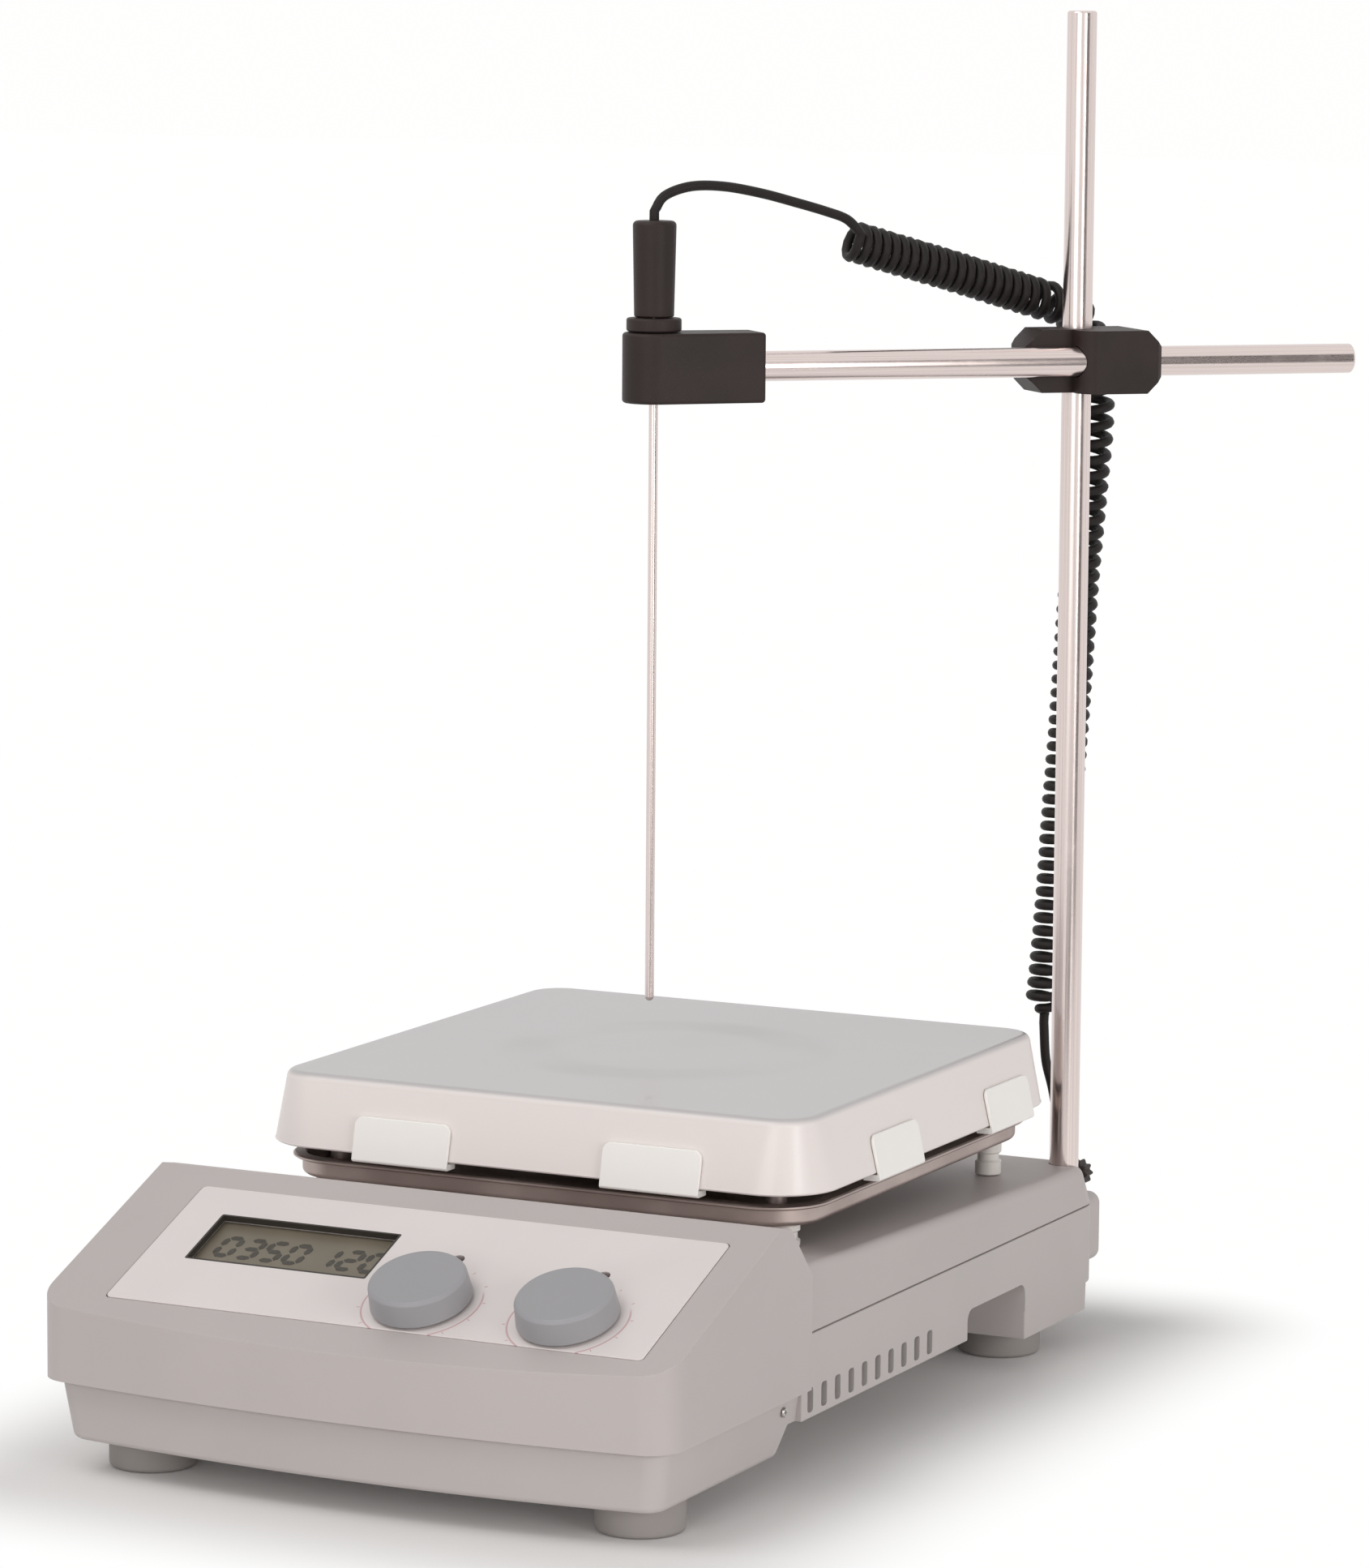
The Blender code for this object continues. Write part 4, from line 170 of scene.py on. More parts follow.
# Heating plate
PLATE_TOP_Z = 0.110
PLATE_SKIRT_Z = 0.0862
PLATE_SKIRT_SIZE = 0.2014
PLATE_TOP_SIZE = 0.1900
PLATE_CORNER_RADIUS = 0.021
PLATE_TOP_CORNER_RADIUS = 0.012
PLATE_EDGE_RADIUS = 0.003
PLATE_ROOF = 0.006
PLATE_SKIRT_WALL = 0.0022
CLIP_WIDTH = 0.035
CLIP_TOP_Z = 0.0985
CLIP_BOTTOM_Z = 0.0838
CLIP_THICKNESS = 0.0012
CLIP_HOOK = 0.005
CLIP_CORNER = 0.003
CLIP_OFFSET = 0.0450
SIDE_CLIP_SHIFT = 0.012
PAN_SIZE = 0.186
PAN_FLANGE = 0.003
PAN_SHEET = 0.0015
PAN_BOTTOM_Z = 0.0745
PAN_RIM_Z = 0.0820
PAN_CORNER_RADIUS = 0.017
PAN_HOLE_RADIUS = 0.042
POST_RADIUS = 0.0035
POST_OFFSET = 0.079
PILLAR_RADIUS = 0.0045
PILLAR_OFFSET_X = 0.083
PILLAR_OFFSET_Y = 0.080

# Opening in the deck over the stirring drive
DECK_HOLE_RADIUS = 0.043

# Rear connections
REAR_PANEL_INSET = 0.007
REAR_PANEL_WIDTH = BODY_WIDTH - 2 * REAR_PANEL_INSET
REAR_PANEL_BOTTOM_Z = 0.0225
REAR_PANEL_TOP_Z = 0.0465
REAR_PANEL_THICKNESS = 0.0145
REAR_PANEL_CORNER = 0.004
REAR_WINDOW_INSET = 0.008
INLET_X = -0.055
INLET_WIDTH = 0.0270
INLET_HEIGHT = 0.0190
INLET_DEPTH = 0.024
INLET_WALL = 0.0017
INLET_SOCKET_DEPTH = 0.016
INLET_PIN_LENGTH = 0.0095
INLET_PIN_WIDTH = 0.0020
INLET_PIN_HEIGHT = 0.0040
INLET_PIN_SPACING = 0.0070
INLET_PIN_RISE = 0.0020
CONNECTION_PROUD = 0.0005
ROCKER_X = -0.020
ROCKER_WIDTH = 0.0160
ROCKER_HEIGHT = 0.0096
ROCKER_DEPTH = 0.0020
ROCKER_RISE = 0.0015
ROCKER_DIP = 0.0008
ROCKER_TILT = math.radians(10)
ROCKER_HOLE_GAP = 0.0007
SOCKET_RADIUS = 0.0060
SOCKET_LENGTH = 0.020
SOCKET_BORE_RADIUS = 0.0040
SOCKET_BORE_DEPTH = 0.008

# Stand rod and its seat
ROD_INSET = 0.0105
ROD_FROM_REAR = 0.010
ROD_X = BODY_WIDTH / 2 - ROD_INSET
ROD_Y = BODY_REAR_Y - ROD_FROM_REAR
ROD_RADIUS = 0.005
ROD_TOP_Z = 0.454
ROD_END_CHAMFER = 0.0006
ROD_BOSS_RADIUS = 0.009
ROD_SOCKET_RADIUS = 0.0070
LOCK_SCREW_Z = 0.0550
LOCK_SCREW_RADIUS = 0.0020
LOCK_HEAD_RADIUS = 0.0043
LOCK_HEAD_LENGTH = 0.0065

# Clamp and arm, drawn in a frame whose X runs along the arm and whose origin is on the stand rod
ARM_Z = 0.337
ARM_TURN = math.radians(44)
ARM_OFFSET = 0.0115
ARM_TAIL = 0.0954
CLAMP_LEFT = 0.021
CLAMP_RIGHT = 0.024
CLAMP_REAR = 0.009
CLAMP_FRONT = 0.0185
CLAMP_HALF_HEIGHT = 0.0106
CLAMP_CHAMFER = 0.0055
CLAMP_WING_FACE = 0.008
CLAMP_CHEEK_START = 0.0045
CLAMP_CHEEK_RADIUS = 0.006
CLAMP_EDGE = 0.0018
CLAMP_SCREW_RADIUS = 0.0025
CLAMP_SCREW_HEAD_RADIUS = 0.0053
CLAMP_SCREW_HEAD_LENGTH = 0.007
ARM_SCREW_X = -0.0125
GRIP_LOBES = 10
GRIP_LOBE_DEPTH = 0.0005

# Probe and its holder
PROBE_REACH = 0.1535
ARM_SHORT_OF_PROBE = 0.010
ARM_REACH = PROBE_REACH - ARM_SHORT_OF_PROBE
HOLDER_BOSS_RADIUS = 0.0104
HOLDER_LENGTH = 0.0362
HOLDER_END_HALF_THICKNESS = 0.0088
HOLDER_HALF_HEIGHT = 0.0116
HOLDER_EDGE = 0.0012
PROBE_RADIUS = 0.0015
PROBE_TIP_Z = 0.126
COLLAR_RADIUS = 0.0091
COLLAR_HEIGHT = 0.0045
COLLAR_EDGE = 0.0005
HANDLE_HEIGHT = 0.0315
HANDLE_BOTTOM_RADIUS = 0.0066
HANDLE_TOP_RADIUS = 0.0072
HANDLE_EDGE = 0.0008
HANDLE_SOCKET_DEPTH = 0.010

# Probe cord
CORD_RADIUS = 0.0015
CURL_RADIUS = 0.0055
TIGHT_PITCH = 0.0037
BEND_PITCH = 0.0063
HANGING_PITCH = 0.0053
LOWER_PITCH = 0.0047
TIGHT_UNTIL_SHARE = 0.205
BEND_FROM_SHARE = 0.235
BEND_UNTIL_SHARE = 0.31
HANGING_UNTIL_SHARE = 0.45
LOWER_FROM_SHARE = 0.70
CURL_LEAVES_OVER = 0.0055
PLUG_NOSE_RADIUS = 0.0036
PLUG_NOSE_LENGTH = 0.006
PLUG_BODY_RADIUS = 0.0060
PLUG_BODY_END = 0.0060
PLUG_EDGE = 0.0008
PLUG_OUTLET_RADIUS = 0.0042
PLUG_RELIEF_TOP_RADIUS = 0.0026
PLUG_RELIEF_HEIGHT = 0.0195

# Routes of the cord, points listed along the way that it takes
LEAD_ROUTE = (
    (-0.00655, 0.0005, 0.3857),
    (-0.00645, 0.0006, 0.3889),
    (-0.00425, 0.0035, 0.3932),
    (0.00195, 0.0100, 0.3962),
    (0.00935, 0.0195, 0.3961),
    (0.01735, 0.0315, 0.3937),
    (0.02495, 0.0435, 0.3903),
    (0.03125, 0.0535, 0.3872),
    (0.03545, 0.0603, 0.3845),
)
CURL_ROUTE = (
    (0.03325, 0.0683, 0.3771),
    (0.04465, 0.0828, 0.3719),
    (0.05615, 0.0974, 0.3668),
    (0.06775, 0.1121, 0.3613),
    (0.07735, 0.1246, 0.3567),
    (0.08285, 0.1324, 0.3537),
    (0.08755, 0.1378, 0.3487),
    (0.09045, 0.1400, 0.3405),
    (0.09195, 0.1408, 0.3290),
    (0.09185, 0.1411, 0.3120),
    (0.09025, 0.1418, 0.2960),
    (0.08865, 0.1425, 0.2804),
    (0.08655, 0.1436, 0.2606),
    (0.08445, 0.1449, 0.2351),
    (0.08235, 0.1460, 0.2066),
    (0.07985, 0.1471, 0.1779),
    (0.07765, 0.1483, 0.1491),
    (0.07535, 0.1495, 0.1259),
    (0.07395, 0.1503, 0.1140),
    (0.07295, 0.1508, 0.1050),
)
TAIL_ROUTE = (
    (0.07265, 0.1510, 0.0985),
    (0.07355, 0.1514, 0.0890),
    (0.07585, 0.1522, 0.0790),
    (0.07755, 0.1528, 0.0690),
    (0.07805, 0.1529, 0.0620),
    (0.07805, 0.1529, 0.0570),
)

# Camera: its place from the plate's centre line, its azimuth, pitch and roll in degrees, and its lens
CAMERA_PLACE = Vector((0.894432, -1.796092, 0.470714))
CAMERA_ANGLES = (26.311, 7.703, 0.436)
CAMERA_LENS = 140.31

# Stage: each lamp's place and width, and each card's place, target, width, height and shade
LAMP_TARGET = (0, 0, 0.1)
KEY_LAMP = ((-0.7, -1.2, 2.1), 1.3)
SIDE_LAMP = ((2.1, -0.9, 0.45), 1.0)
FRONT_LAMP = ((0.2, -2.3, 0.6), 1.0)
FRONT_SHARE = 0.45
RIGHT_CARD = ((0.86, -0.12, 0.40), (0.063, 0.139, 0.30), 0.42, 0.80, 0.05)
FLOOR_CARD = ((0.42, -0.42, 0.012), (0.40, -0.36, 0.30), 0.50, 0.30, 0.05)
FLOOR_DROP = 0.0002
SHADOW_REACH = 0.075
LAMP_COLOUR = (1.0, 0.985, 0.97)
SKY_COLOUR = (1.0, 0.995, 0.99, 1.0)
PAPER_WHITE = (1.0, 1.0, 0.995)
PAPER_DARK = (0.88, 0.87, 0.865)
PAPER_LIGHT = (0.92, 0.91, 0.905)

# Facets
ROD_SIDES = 64
ROUND_SIDES = 72
SMALL_SIDES = 32
KNOB_SIDES = 128
CORNER_STEPS = 12
PLATE_CORNER_STEPS = 16
BOW_STEPS = 32

# Fine detail that only shows
RIM_EDGE = 0.0006
GRIP_CORNER = 0.004
PANEL_EDGE = 0.00025
DIAL_RING_RADIUS = 0.0190
DIAL_RING_WIDTH = 0.0006
DIAL_RING_MIDDLE = math.radians(118)
DIAL_RING_REACH = math.radians(46)
TICK_START = 0.0196
TICK_END = 0.0206
TICK_WIDTH = 0.00024
INK_THICKNESS = 0.00004
TICK_COUNT = 11
TICK_STEP = math.radians(27)
SURROUND_WALL = 0.0007
SURROUND_PLAY = 0.00004
SURROUND_PROUD = 0.00005
PANE_EDGE = 0.0001
DIGIT_HEIGHT = 0.0098
DIGIT_PITCH = 0.0082
DIGIT_LEAN = 0.1
DIGIT_THICKNESS = 0.00008
DIGIT_LEFT = -0.0270
DIGIT_RIGHT = 0.0085
KNOB_CHAMFER = 0.0011
KNOB_HOLLOW = 0.0006
KNOB_EDGE = 0.0005
CLIP_EDGE = 0.0003
PAN_BEND = 0.002
BRACKET_EDGE = 0.0004
BRACKET_REACH = (-0.066, -0.052)
BRACKET_SIDE = (
    (0, 0),
    (0.010, 0),
    (0.010, -0.0022),
    (0.0062, -0.0022),
    (0.0062, -0.0055),
    (0.0015, -0.0055),
    (0.0015, -0.0030),
    (-0.0055, -0.0022),
    (-0.0055, 0),
)
WORN_RING_RADIUS = 0.046
PILLAR_EDGE = 0.0006
PILLAR_WAIST = PILLAR_RADIUS * 0.82
PILLAR_GROOVE = 0.0032
PILLAR_GROOVE_FLOOR = 0.0020
SIDE_SCREW_RADIUS = 0.0016
SIDE_SCREW_SINK = 0.0002
SIDE_SCREW_HEAD = 0.0006
SIDE_SCREW_Y = -0.128
SIDE_SCREW_Z = 0.0255
REAR_PANEL_EDGE = 0.0008
INLET_SLANT = 0.0045
PIN_EDGE = 0.0003
ROCKER_EDGE = 0.0004
SOCKET_EDGE = 0.0004
HEAD_DISH = 0.0005
HANDLE_RIM = 0.0004
RIB_DEPTH = 0.0004
PLUG_RIB_START = 0.0012
PLUG_RIB_PITCH = 0.0016
RELIEF_RIBS = 4
RELIEF_SLIT_SHARE = 0.86
SHEATH_RADIUS = 0.00165
CORD_STEP = 0.0015
CURL_CLAMP_SHARE = 0.30
CURL_MIDDLE_SHARE = 0.65

PANEL_SLOPE = math.atan2(CREST_Z - LIP_Z, CREST_Y - LIP_Y)
DECK_FALL = (DECK_FRONT_Z - DECK_REAR_Z) / (BODY_REAR_Y - NOSE_REAR_Y)
PANEL_PLANE = Matrix.Translation((0, CREST_Y, CREST_Z)) @ Matrix.Rotation(PANEL_SLOPE, 4, "X")
PANEL_TOP = FIT_GAP - PANEL_POCKET + PANEL_THICKNESS
ARM_FRAME = Matrix.Translation((ROD_X, ROD_Y, ARM_Z)) @ Matrix.Rotation(ARM_TURN, 4, "Z")
PROBE_FRAME = ARM_FRAME @ Matrix.Translation((-PROBE_REACH, -ARM_OFFSET, -ARM_Z))
ALONG_X = Matrix.Rotation(math.pi / 2, 4, "Y")
TOWARDS_REAR = Matrix.Rotation(-math.pi / 2, 4, "X")
REAR_FACE = BODY_REAR_Y + FIT_GAP + REAR_PANEL_THICKNESS
REAR_MIDDLE_Z = (REAR_PANEL_BOTTOM_Z + REAR_PANEL_TOP_Z) / 2
SOCKET_X, OUTLET_Y = TAIL_ROUTE[-1][:2]
PLATE_CEILING = PLATE_TOP_Z - PLATE_ROOF
SPEED_X = KNOB_MIDDLE_X - KNOB_SPACING / 2
HEAT_X = KNOB_MIDDLE_X + KNOB_SPACING / 2


def srgb(red, green, blue):
    """A screen colour, 0 to 255 a channel, as the linear colour that a material takes."""
    linear = []
    for channel in (red, green, blue):
        share = channel / 255
        linear.append(share / 12.92 if share <= 0.04045 else ((share + 0.055) / 1.055) ** 2.4)
    return tuple(linear)


def deck_height(y):
    """Height of the sloping deck at a distance y behind the plate's centre."""
    return DECK_FRONT_Z - (y - NOSE_REAR_Y) * DECK_FALL


def skirt_half(z):
    """Half width of the plate's leaning skirt at a height z."""
    share = (z - PLATE_SKIRT_Z) / (PLATE_TOP_Z - PLATE_SKIRT_Z)
    return (PLATE_SKIRT_SIZE + share * (PLATE_TOP_SIZE - PLATE_SKIRT_SIZE)) / 2


def skirt_corner(z):
    """Corner radius of the plate's skirt at a height z."""
    share = (z - PLATE_SKIRT_Z) / (PLATE_TOP_Z - PLATE_SKIRT_Z)
    return PLATE_CORNER_RADIUS + share * (PLATE_TOP_CORNER_RADIUS - PLATE_CORNER_RADIUS)


# Mesh tools


def new_piece(name, shape, matrix=None):
    """A bmesh as an object, with its doubles merged and its faces pointing out."""
    bmesh.ops.remove_doubles(shape, verts=shape.verts, dist=FIT_GAP / 60)
    if matrix:
        bmesh.ops.transform(shape, matrix=matrix, verts=shape.verts)
    bmesh.ops.recalc_face_normals(shape, faces=shape.faces)
    mesh = bpy.data.meshes.new(name)
    shape.to_mesh(mesh)
    shape.free()
    piece = bpy.data.objects.new(name, mesh)
    bpy.context.scene.collection.objects.link(piece)
    return piece


def settle(piece):
    """Makes the result of a piece's modifiers its mesh, and removes them."""
    graph = bpy.context.evaluated_depsgraph_get()
    evaluated = piece.evaluated_get(graph)
    mesh = bpy.data.meshes.new_from_object(evaluated, preserve_all_data_layers=True, depsgraph=graph)
    piece.modifiers.clear()
    piece.data = mesh
    return piece


def boolean(piece, tool, operation="DIFFERENCE"):
    """Cuts, joins or intersects a piece with a tool, and removes the tool."""
    step = piece.modifiers.new("cut", "BOOLEAN")
    step.operation = operation
    step.solver = "EXACT"
    step.object = tool
    settle(piece)
    bpy.data.objects.remove(tool, do_unlink=True)
    return piece


def rounded(piece, width, segments, method, angle=30):
    """Rounds the edges of a piece that a method picks."""
    step = piece.modifiers.new("rounding", "BEVEL")
    step.limit_method = method
    step.angle_limit = math.radians(angle)
    step.width = width
    step.segments = segments
    step.use_clamp_overlap = True
    return settle(piece)


def round_weighted(piece, width, segments):
    """Rounds the weighted edges of a piece."""
    return rounded(piece, width, segments, "WEIGHT")


def round_sharp(piece, width, segments, angle):
    """Rounds every edge of a piece that is sharper than an angle in degrees."""
    return rounded(piece, width, segments, "ANGLE", angle)


def arc(centre_x, centre_y, radius, start, end, steps):
    """Points on an arc, angles in degrees."""
    points = []
    for step in range(steps + 1):
        angle = math.radians(start + (end - start) * step / steps)
        points.append((centre_x + radius * math.cos(angle), centre_y + radius * math.sin(angle)))
    return points


def rounded_rectangle(width, depth, radius, steps=CORNER_STEPS, centre=(0, 0)):
    """Anticlockwise outline of a rectangle with round corners."""
    x, y = width / 2 - radius, depth / 2 - radius
    points = []
    for side_x, side_y, start in ((1, -1, -90), (1, 1, 0), (-1, 1, 90), (-1, -1, 180)):
        points += arc(centre[0] + side_x * x, centre[1] + side_y * y, radius, start, start + 90, steps)
    return points


def bowed_outline(half_width, front_y, rear_y, corner, bow):
    """Anticlockwise plan of a block with a bowed front and round front corners."""
    reach = half_width - corner
    corner_y = front_y + bow * (reach / half_width) ** 2
    points = [(-half_width, rear_y)]
    points += arc(-reach, corner_y + corner, corner, 180, 270, CORNER_STEPS)
    for step in range(1, BOW_STEPS):
        x = -reach + 2 * reach * step / BOW_STEPS
        points.append((x, front_y + bow * (x / half_width) ** 2))
    points += arc(reach, corner_y + corner, corner, 270, 360, CORNER_STEPS)
    points.append((half_width, rear_y))
    return points


def body_outline(half_width, front_y, rear_y, corner):
    """Anticlockwise plan of a block with round rear corners."""
    points = [(-half_width, front_y), (half_width, front_y)]
    points += arc(half_width - corner, rear_y - corner, corner, 0, 90, CORNER_STEPS)
    points += arc(corner - half_width, rear_y - corner, corner, 90, 180, CORNER_STEPS)
    return points


def loft(rings, closed=False):
    """A skin through rings of equal count, capped at both ends or closed up on itself."""
    shape = bmesh.new()
    rows = [[shape.verts.new(point) for point in ring] for ring in rings]
    pairs = list(zip(rows, rows[1:]))
    if closed:
        pairs.append((rows[-1], rows[0]))
    for lower, upper in pairs:
        for index, corner in enumerate(lower):
            following = (index + 1) % len(lower)
            shape.faces.new((corner, lower[following], upper[following], upper[index]))
    if not closed:
        shape.faces.new(list(reversed(rows[0])))
        shape.faces.new(rows[-1])
    return shape


def at_height(outline, z):
    """A plan outline as a ring at one height."""
    return [(x, y, z) for x, y in outline]


def prism(outline, bottom, top):
    """A plan outline made solid between two heights."""
    return loft([at_height(outline, bottom), at_height(outline, top)])


def soft_prism(outline_at, bottom, top, edge, steps=4):
    """A solid between two heights whose outline shrinks by an inset along both rounded edges."""
    rings = []
    for angle in quarter(steps):
        rings.append(at_height(outline_at(edge * (1 - math.sin(angle))), bottom + edge * (1 - math.cos(angle))))
    for angle in quarter(steps):
        rings.append(at_height(outline_at(edge * (1 - math.cos(angle))), top - edge * (1 - math.sin(angle))))
    return loft(rings)


def across_x(side_view, x_range):
    """A (y, z) outline made solid between two distances along X."""
    return loft([[(x, y, z) for y, z in side_view] for x in x_range])


def across_y(side_view, y_range):
    """An (x, z) outline made solid between two distances along Y."""
    return loft([[(x, y, z) for x, z in side_view] for y in y_range])


def box(x_range, y_range, z_range):
    """A plain block between two corners."""
    outline = [
        (x_range[0], y_range[0]),
        (x_range[1], y_range[0]),
        (x_range[1], y_range[1]),
        (x_range[0], y_range[1]),
    ]
    return prism(outline, z_range[0], z_range[1])


def turned(profile, sides=ROUND_SIDES):
    """A body turned about Z from (radius, height) points, which start and end on the axis or close up."""
    shape = bmesh.new()
    rows = []
    for radius, height in profile:
        if radius == 0:
            rows.append([shape.verts.new((0, 0, height))])
            continue
        row = []
        for side in range(sides):
            angle = 2 * math.pi * side / sides
            row.append(shape.verts.new((radius * math.cos(angle), radius * math.sin(angle), height)))
        rows.append(row)
    pairs = list(zip(rows, rows[1:]))
    if len(rows[0]) > 1:
        pairs.append((rows[-1], rows[0]))
    for lower, upper in pairs:
        for side in range(sides):
            following = (side + 1) % sides
            corners = [lower[side % len(lower)], lower[following % len(lower)]]
            corners += [upper[following % len(upper)], upper[side % len(upper)]]
            shape.faces.new(list(dict.fromkeys(corners)))
    return shape


def cylinder(radius, bottom, top, sides):
    """A plain round bar along Z."""
    return turned([(0, bottom), (radius, bottom), (radius, top), (0, top)], sides)


def quarter(steps):
    """Angles from nothing to a right angle."""
    return [math.pi / 2 * step / steps for step in range(steps + 1)]


def lower_edge(radius, bottom, edge, steps):
    """Profile points round the lower edge of a turned body."""
    return [(radius - edge + edge * math.sin(a), bottom + edge - edge * math.cos(a)) for a in quarter(steps)]


def upper_edge(radius, top, edge, steps):
    """Profile points round the upper edge of a turned body."""
    return [(radius - edge + edge * math.cos(a), top - edge + edge * math.sin(a)) for a in quarter(steps)]


def bar_profile(radius, bottom, top, edge, steps):
    """Profile of a round bar with rounded ends."""
    ends = lower_edge(radius, bottom, edge, steps) + upper_edge(radius, top, edge, steps)
    return [(0, bottom), *ends, (0, top)]


def join_shapes(*shapes):
    """Several closed skins in one bmesh."""
    whole = bmesh.new()
    for shape in shapes:
        carrier = bpy.data.meshes.new("carrier")
        shape.to_mesh(carrier)
        shape.free()
        whole.from_mesh(carrier)
        bpy.data.meshes.remove(carrier)
    return whole


def moved(shape, offset=(0, 0, 0), turn=None):
    """The same bmesh after a turn and a shift."""
    if turn:
        bmesh.ops.transform(shape, matrix=turn, verts=shape.verts)
    bmesh.ops.translate(shape, vec=offset, verts=shape.verts)
    return shape


def slice_off(shape, point, normal):
    """Removes what lies on the side that the normal points to, and closes the cut."""
    parts = list(shape.verts) + list(shape.edges) + list(shape.faces)
    cut = bmesh.ops.bisect_plane(
        shape, geom=parts, plane_co=point, plane_no=normal, clear_outer=True, dist=FIT_GAP / 30
    )
    edges = [part for part in cut["geom_cut"] if isinstance(part, bmesh.types.BMEdge)]
    bmesh.ops.edgeloop_fill(shape, edges=edges)
    return shape


def weigh_edges(shape, weight_of):
    """Stores a bevel weight for each edge from its two faces and its middle."""
    layer = shape.edges.layers.float.new("bevel_weight_edge")
    shape.normal_update()
    for edge in shape.edges:
        if len(edge.link_faces) != 2:
            continue
        first, second = (face.normal for face in edge.link_faces)
        middle = (edge.verts[0].co + edge.verts[1].co) / 2
        edge[layer] = weight_of(first, second, middle)
    return shape


def frames_along(points):
    """A side direction at each point of a path that doesn't twist about it."""
    frames = []
    side = None
    for index, point in enumerate(points):
        ahead = points[min(index + 1, len(points) - 1)]
        behind = points[max(index - 1, 0)]
        tangent = (ahead - behind).normalized()
        if side is None:
            side = tangent.orthogonal()
        side = (side - tangent * side.dot(tangent)).normalized()
        frames.append((side, tangent.cross(side)))
    return frames


def tube(points, frames, radius, sides):
    """A round tube with closed ends along points."""
    rings = []
    for point, (side, across) in zip(points, frames):
        ring = []
        for step in range(sides):
            angle = 2 * math.pi * step / sides
            ring.append(point + radius * (side * math.cos(angle) + across * math.sin(angle)))
        rings.append(ring)
    return loft(rings)


def hand_over(piece, finish, body, nodes=(), sharp=32, even=True):
    """Gives a piece its material and shading, moves it into the frame, and lets it ride on its body."""
    piece.data.materials.clear()
    piece.data.materials.append(finish_named(finish))
    piece.data.transform(Matrix.Translation(SHIFT))
    piece.data.shade_smooth()
    piece.data.set_sharp_from_angle(angle=math.radians(sharp))
    if even:
        step = piece.modifiers.new("even_shading", "WEIGHTED_NORMAL")
        step.keep_sharp = True
        settle(piece)
    if body:
        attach(piece, body)
    if nodes:
        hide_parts(*nodes)
    return piece


# Geometry Nodes


class Tree:
    """A Geometry Nodes tree with named inputs, ending in Realize Instances and Set Material."""

    def __init__(self, name, inputs):
        self.group = bpy.data.node_groups.new(name, "GeometryNodeTree")
        self.names = {}
        self.group.interface.new_socket("Shape", in_out="INPUT", socket_type="NodeSocketGeometry")
        for label, kind, default in inputs:
            socket = self.group.interface.new_socket(label, in_out="INPUT", socket_type=kind)
            if default is not None:
                socket.default_value = default
            self.names[label] = socket.identifier
        socket = self.group.interface.new_socket("Finish", in_out="INPUT", socket_type="NodeSocketMaterial")
        self.names["Finish"] = socket.identifier
        self.group.interface.new_socket("Shape", in_out="OUTPUT", socket_type="NodeSocketGeometry")
        self.entry = self.group.nodes.new("NodeGroupInput")

    def given(self, label):
        """The socket that brings a named input into the tree."""
        return self.entry.outputs[label]

    def node(self, kind, settings=None, values=None, output=0):
        """Adds a node with its settings and its values or links, and returns one of its outputs."""
        node = self.group.nodes.new(kind)
        for label, value in (settings or {}).items():
            setattr(node, label, value)
        for key, value in (values or {}).items():
            if isinstance(value, bpy.types.NodeSocket):
                self.group.links.new(value, node.inputs[key])
            else:
                node.inputs[key].default_value = value
        return node.outputs[output]

    def close(self, instances):
        """Ends the tree with real geometry in its material."""
        real = self.node("GeometryNodeRealizeInstances", values={0: instances})
        painted = self.node("GeometryNodeSetMaterial", values={"Geometry": real, "Material": self.given("Finish")})
        out = self.group.nodes.new("NodeGroupOutput")
        self.group.links.new(painted, out.inputs[0])
        return self


def ring_tree():
    """Copies of a shape round the Z axis."""
    tree = Tree(
        "ring_of_copies",
        [
            ("Copies", "NodeSocketInt", 4),
            ("Step angle", "NodeSocketFloat", math.pi / 2),
            ("First angle", "NodeSocketFloat", 0.0),
        ],
    )
    points = tree.node("GeometryNodePoints", values={"Count": tree.given("Copies")})
    index = tree.node("GeometryNodeInputIndex")
    turn = tree.node(
        "ShaderNodeMath",
        {"operation": "MULTIPLY_ADD"},
        {0: index, 1: tree.given("Step angle"), 2: tree.given("First angle")},
    )
    rotation = tree.node("ShaderNodeCombineXYZ", values={"Z": turn})
    copies = tree.node(
        "GeometryNodeInstanceOnPoints",
        values={"Points": points, "Instance": tree.given("Shape"), "Rotation": rotation},
    )
    return tree.close(copies)


def grid_tree():
    """Copies of a shape in columns along X and rows along Y, about the middle."""
    tree = Tree(
        "grid_of_copies",
        [
            ("Columns", "NodeSocketInt", 2),
            ("Rows", "NodeSocketInt", 2),
            ("Column spacing", "NodeSocketFloat", 0.1),
            ("Row spacing", "NodeSocketFloat", 0.1),
        ],
    )
    columns, rows = tree.given("Columns"), tree.given("Rows")

    def span(count, spacing):
        gaps = tree.node("ShaderNodeMath", {"operation": "SUBTRACT"}, {0: count, 1: 1.0})
        return tree.node("ShaderNodeMath", {"operation": "MULTIPLY"}, {0: gaps, 1: spacing})

    points = tree.node(
        "GeometryNodeMeshGrid",
        values={
            "Size X": span(columns, tree.given("Column spacing")),
            "Size Y": span(rows, tree.given("Row spacing")),
            "Vertices X": columns,
            "Vertices Y": rows,
        },
    )
    copies = tree.node("GeometryNodeInstanceOnPoints", values={"Points": points, "Instance": tree.given("Shape")})
    return tree.close(copies)


TREES = {}


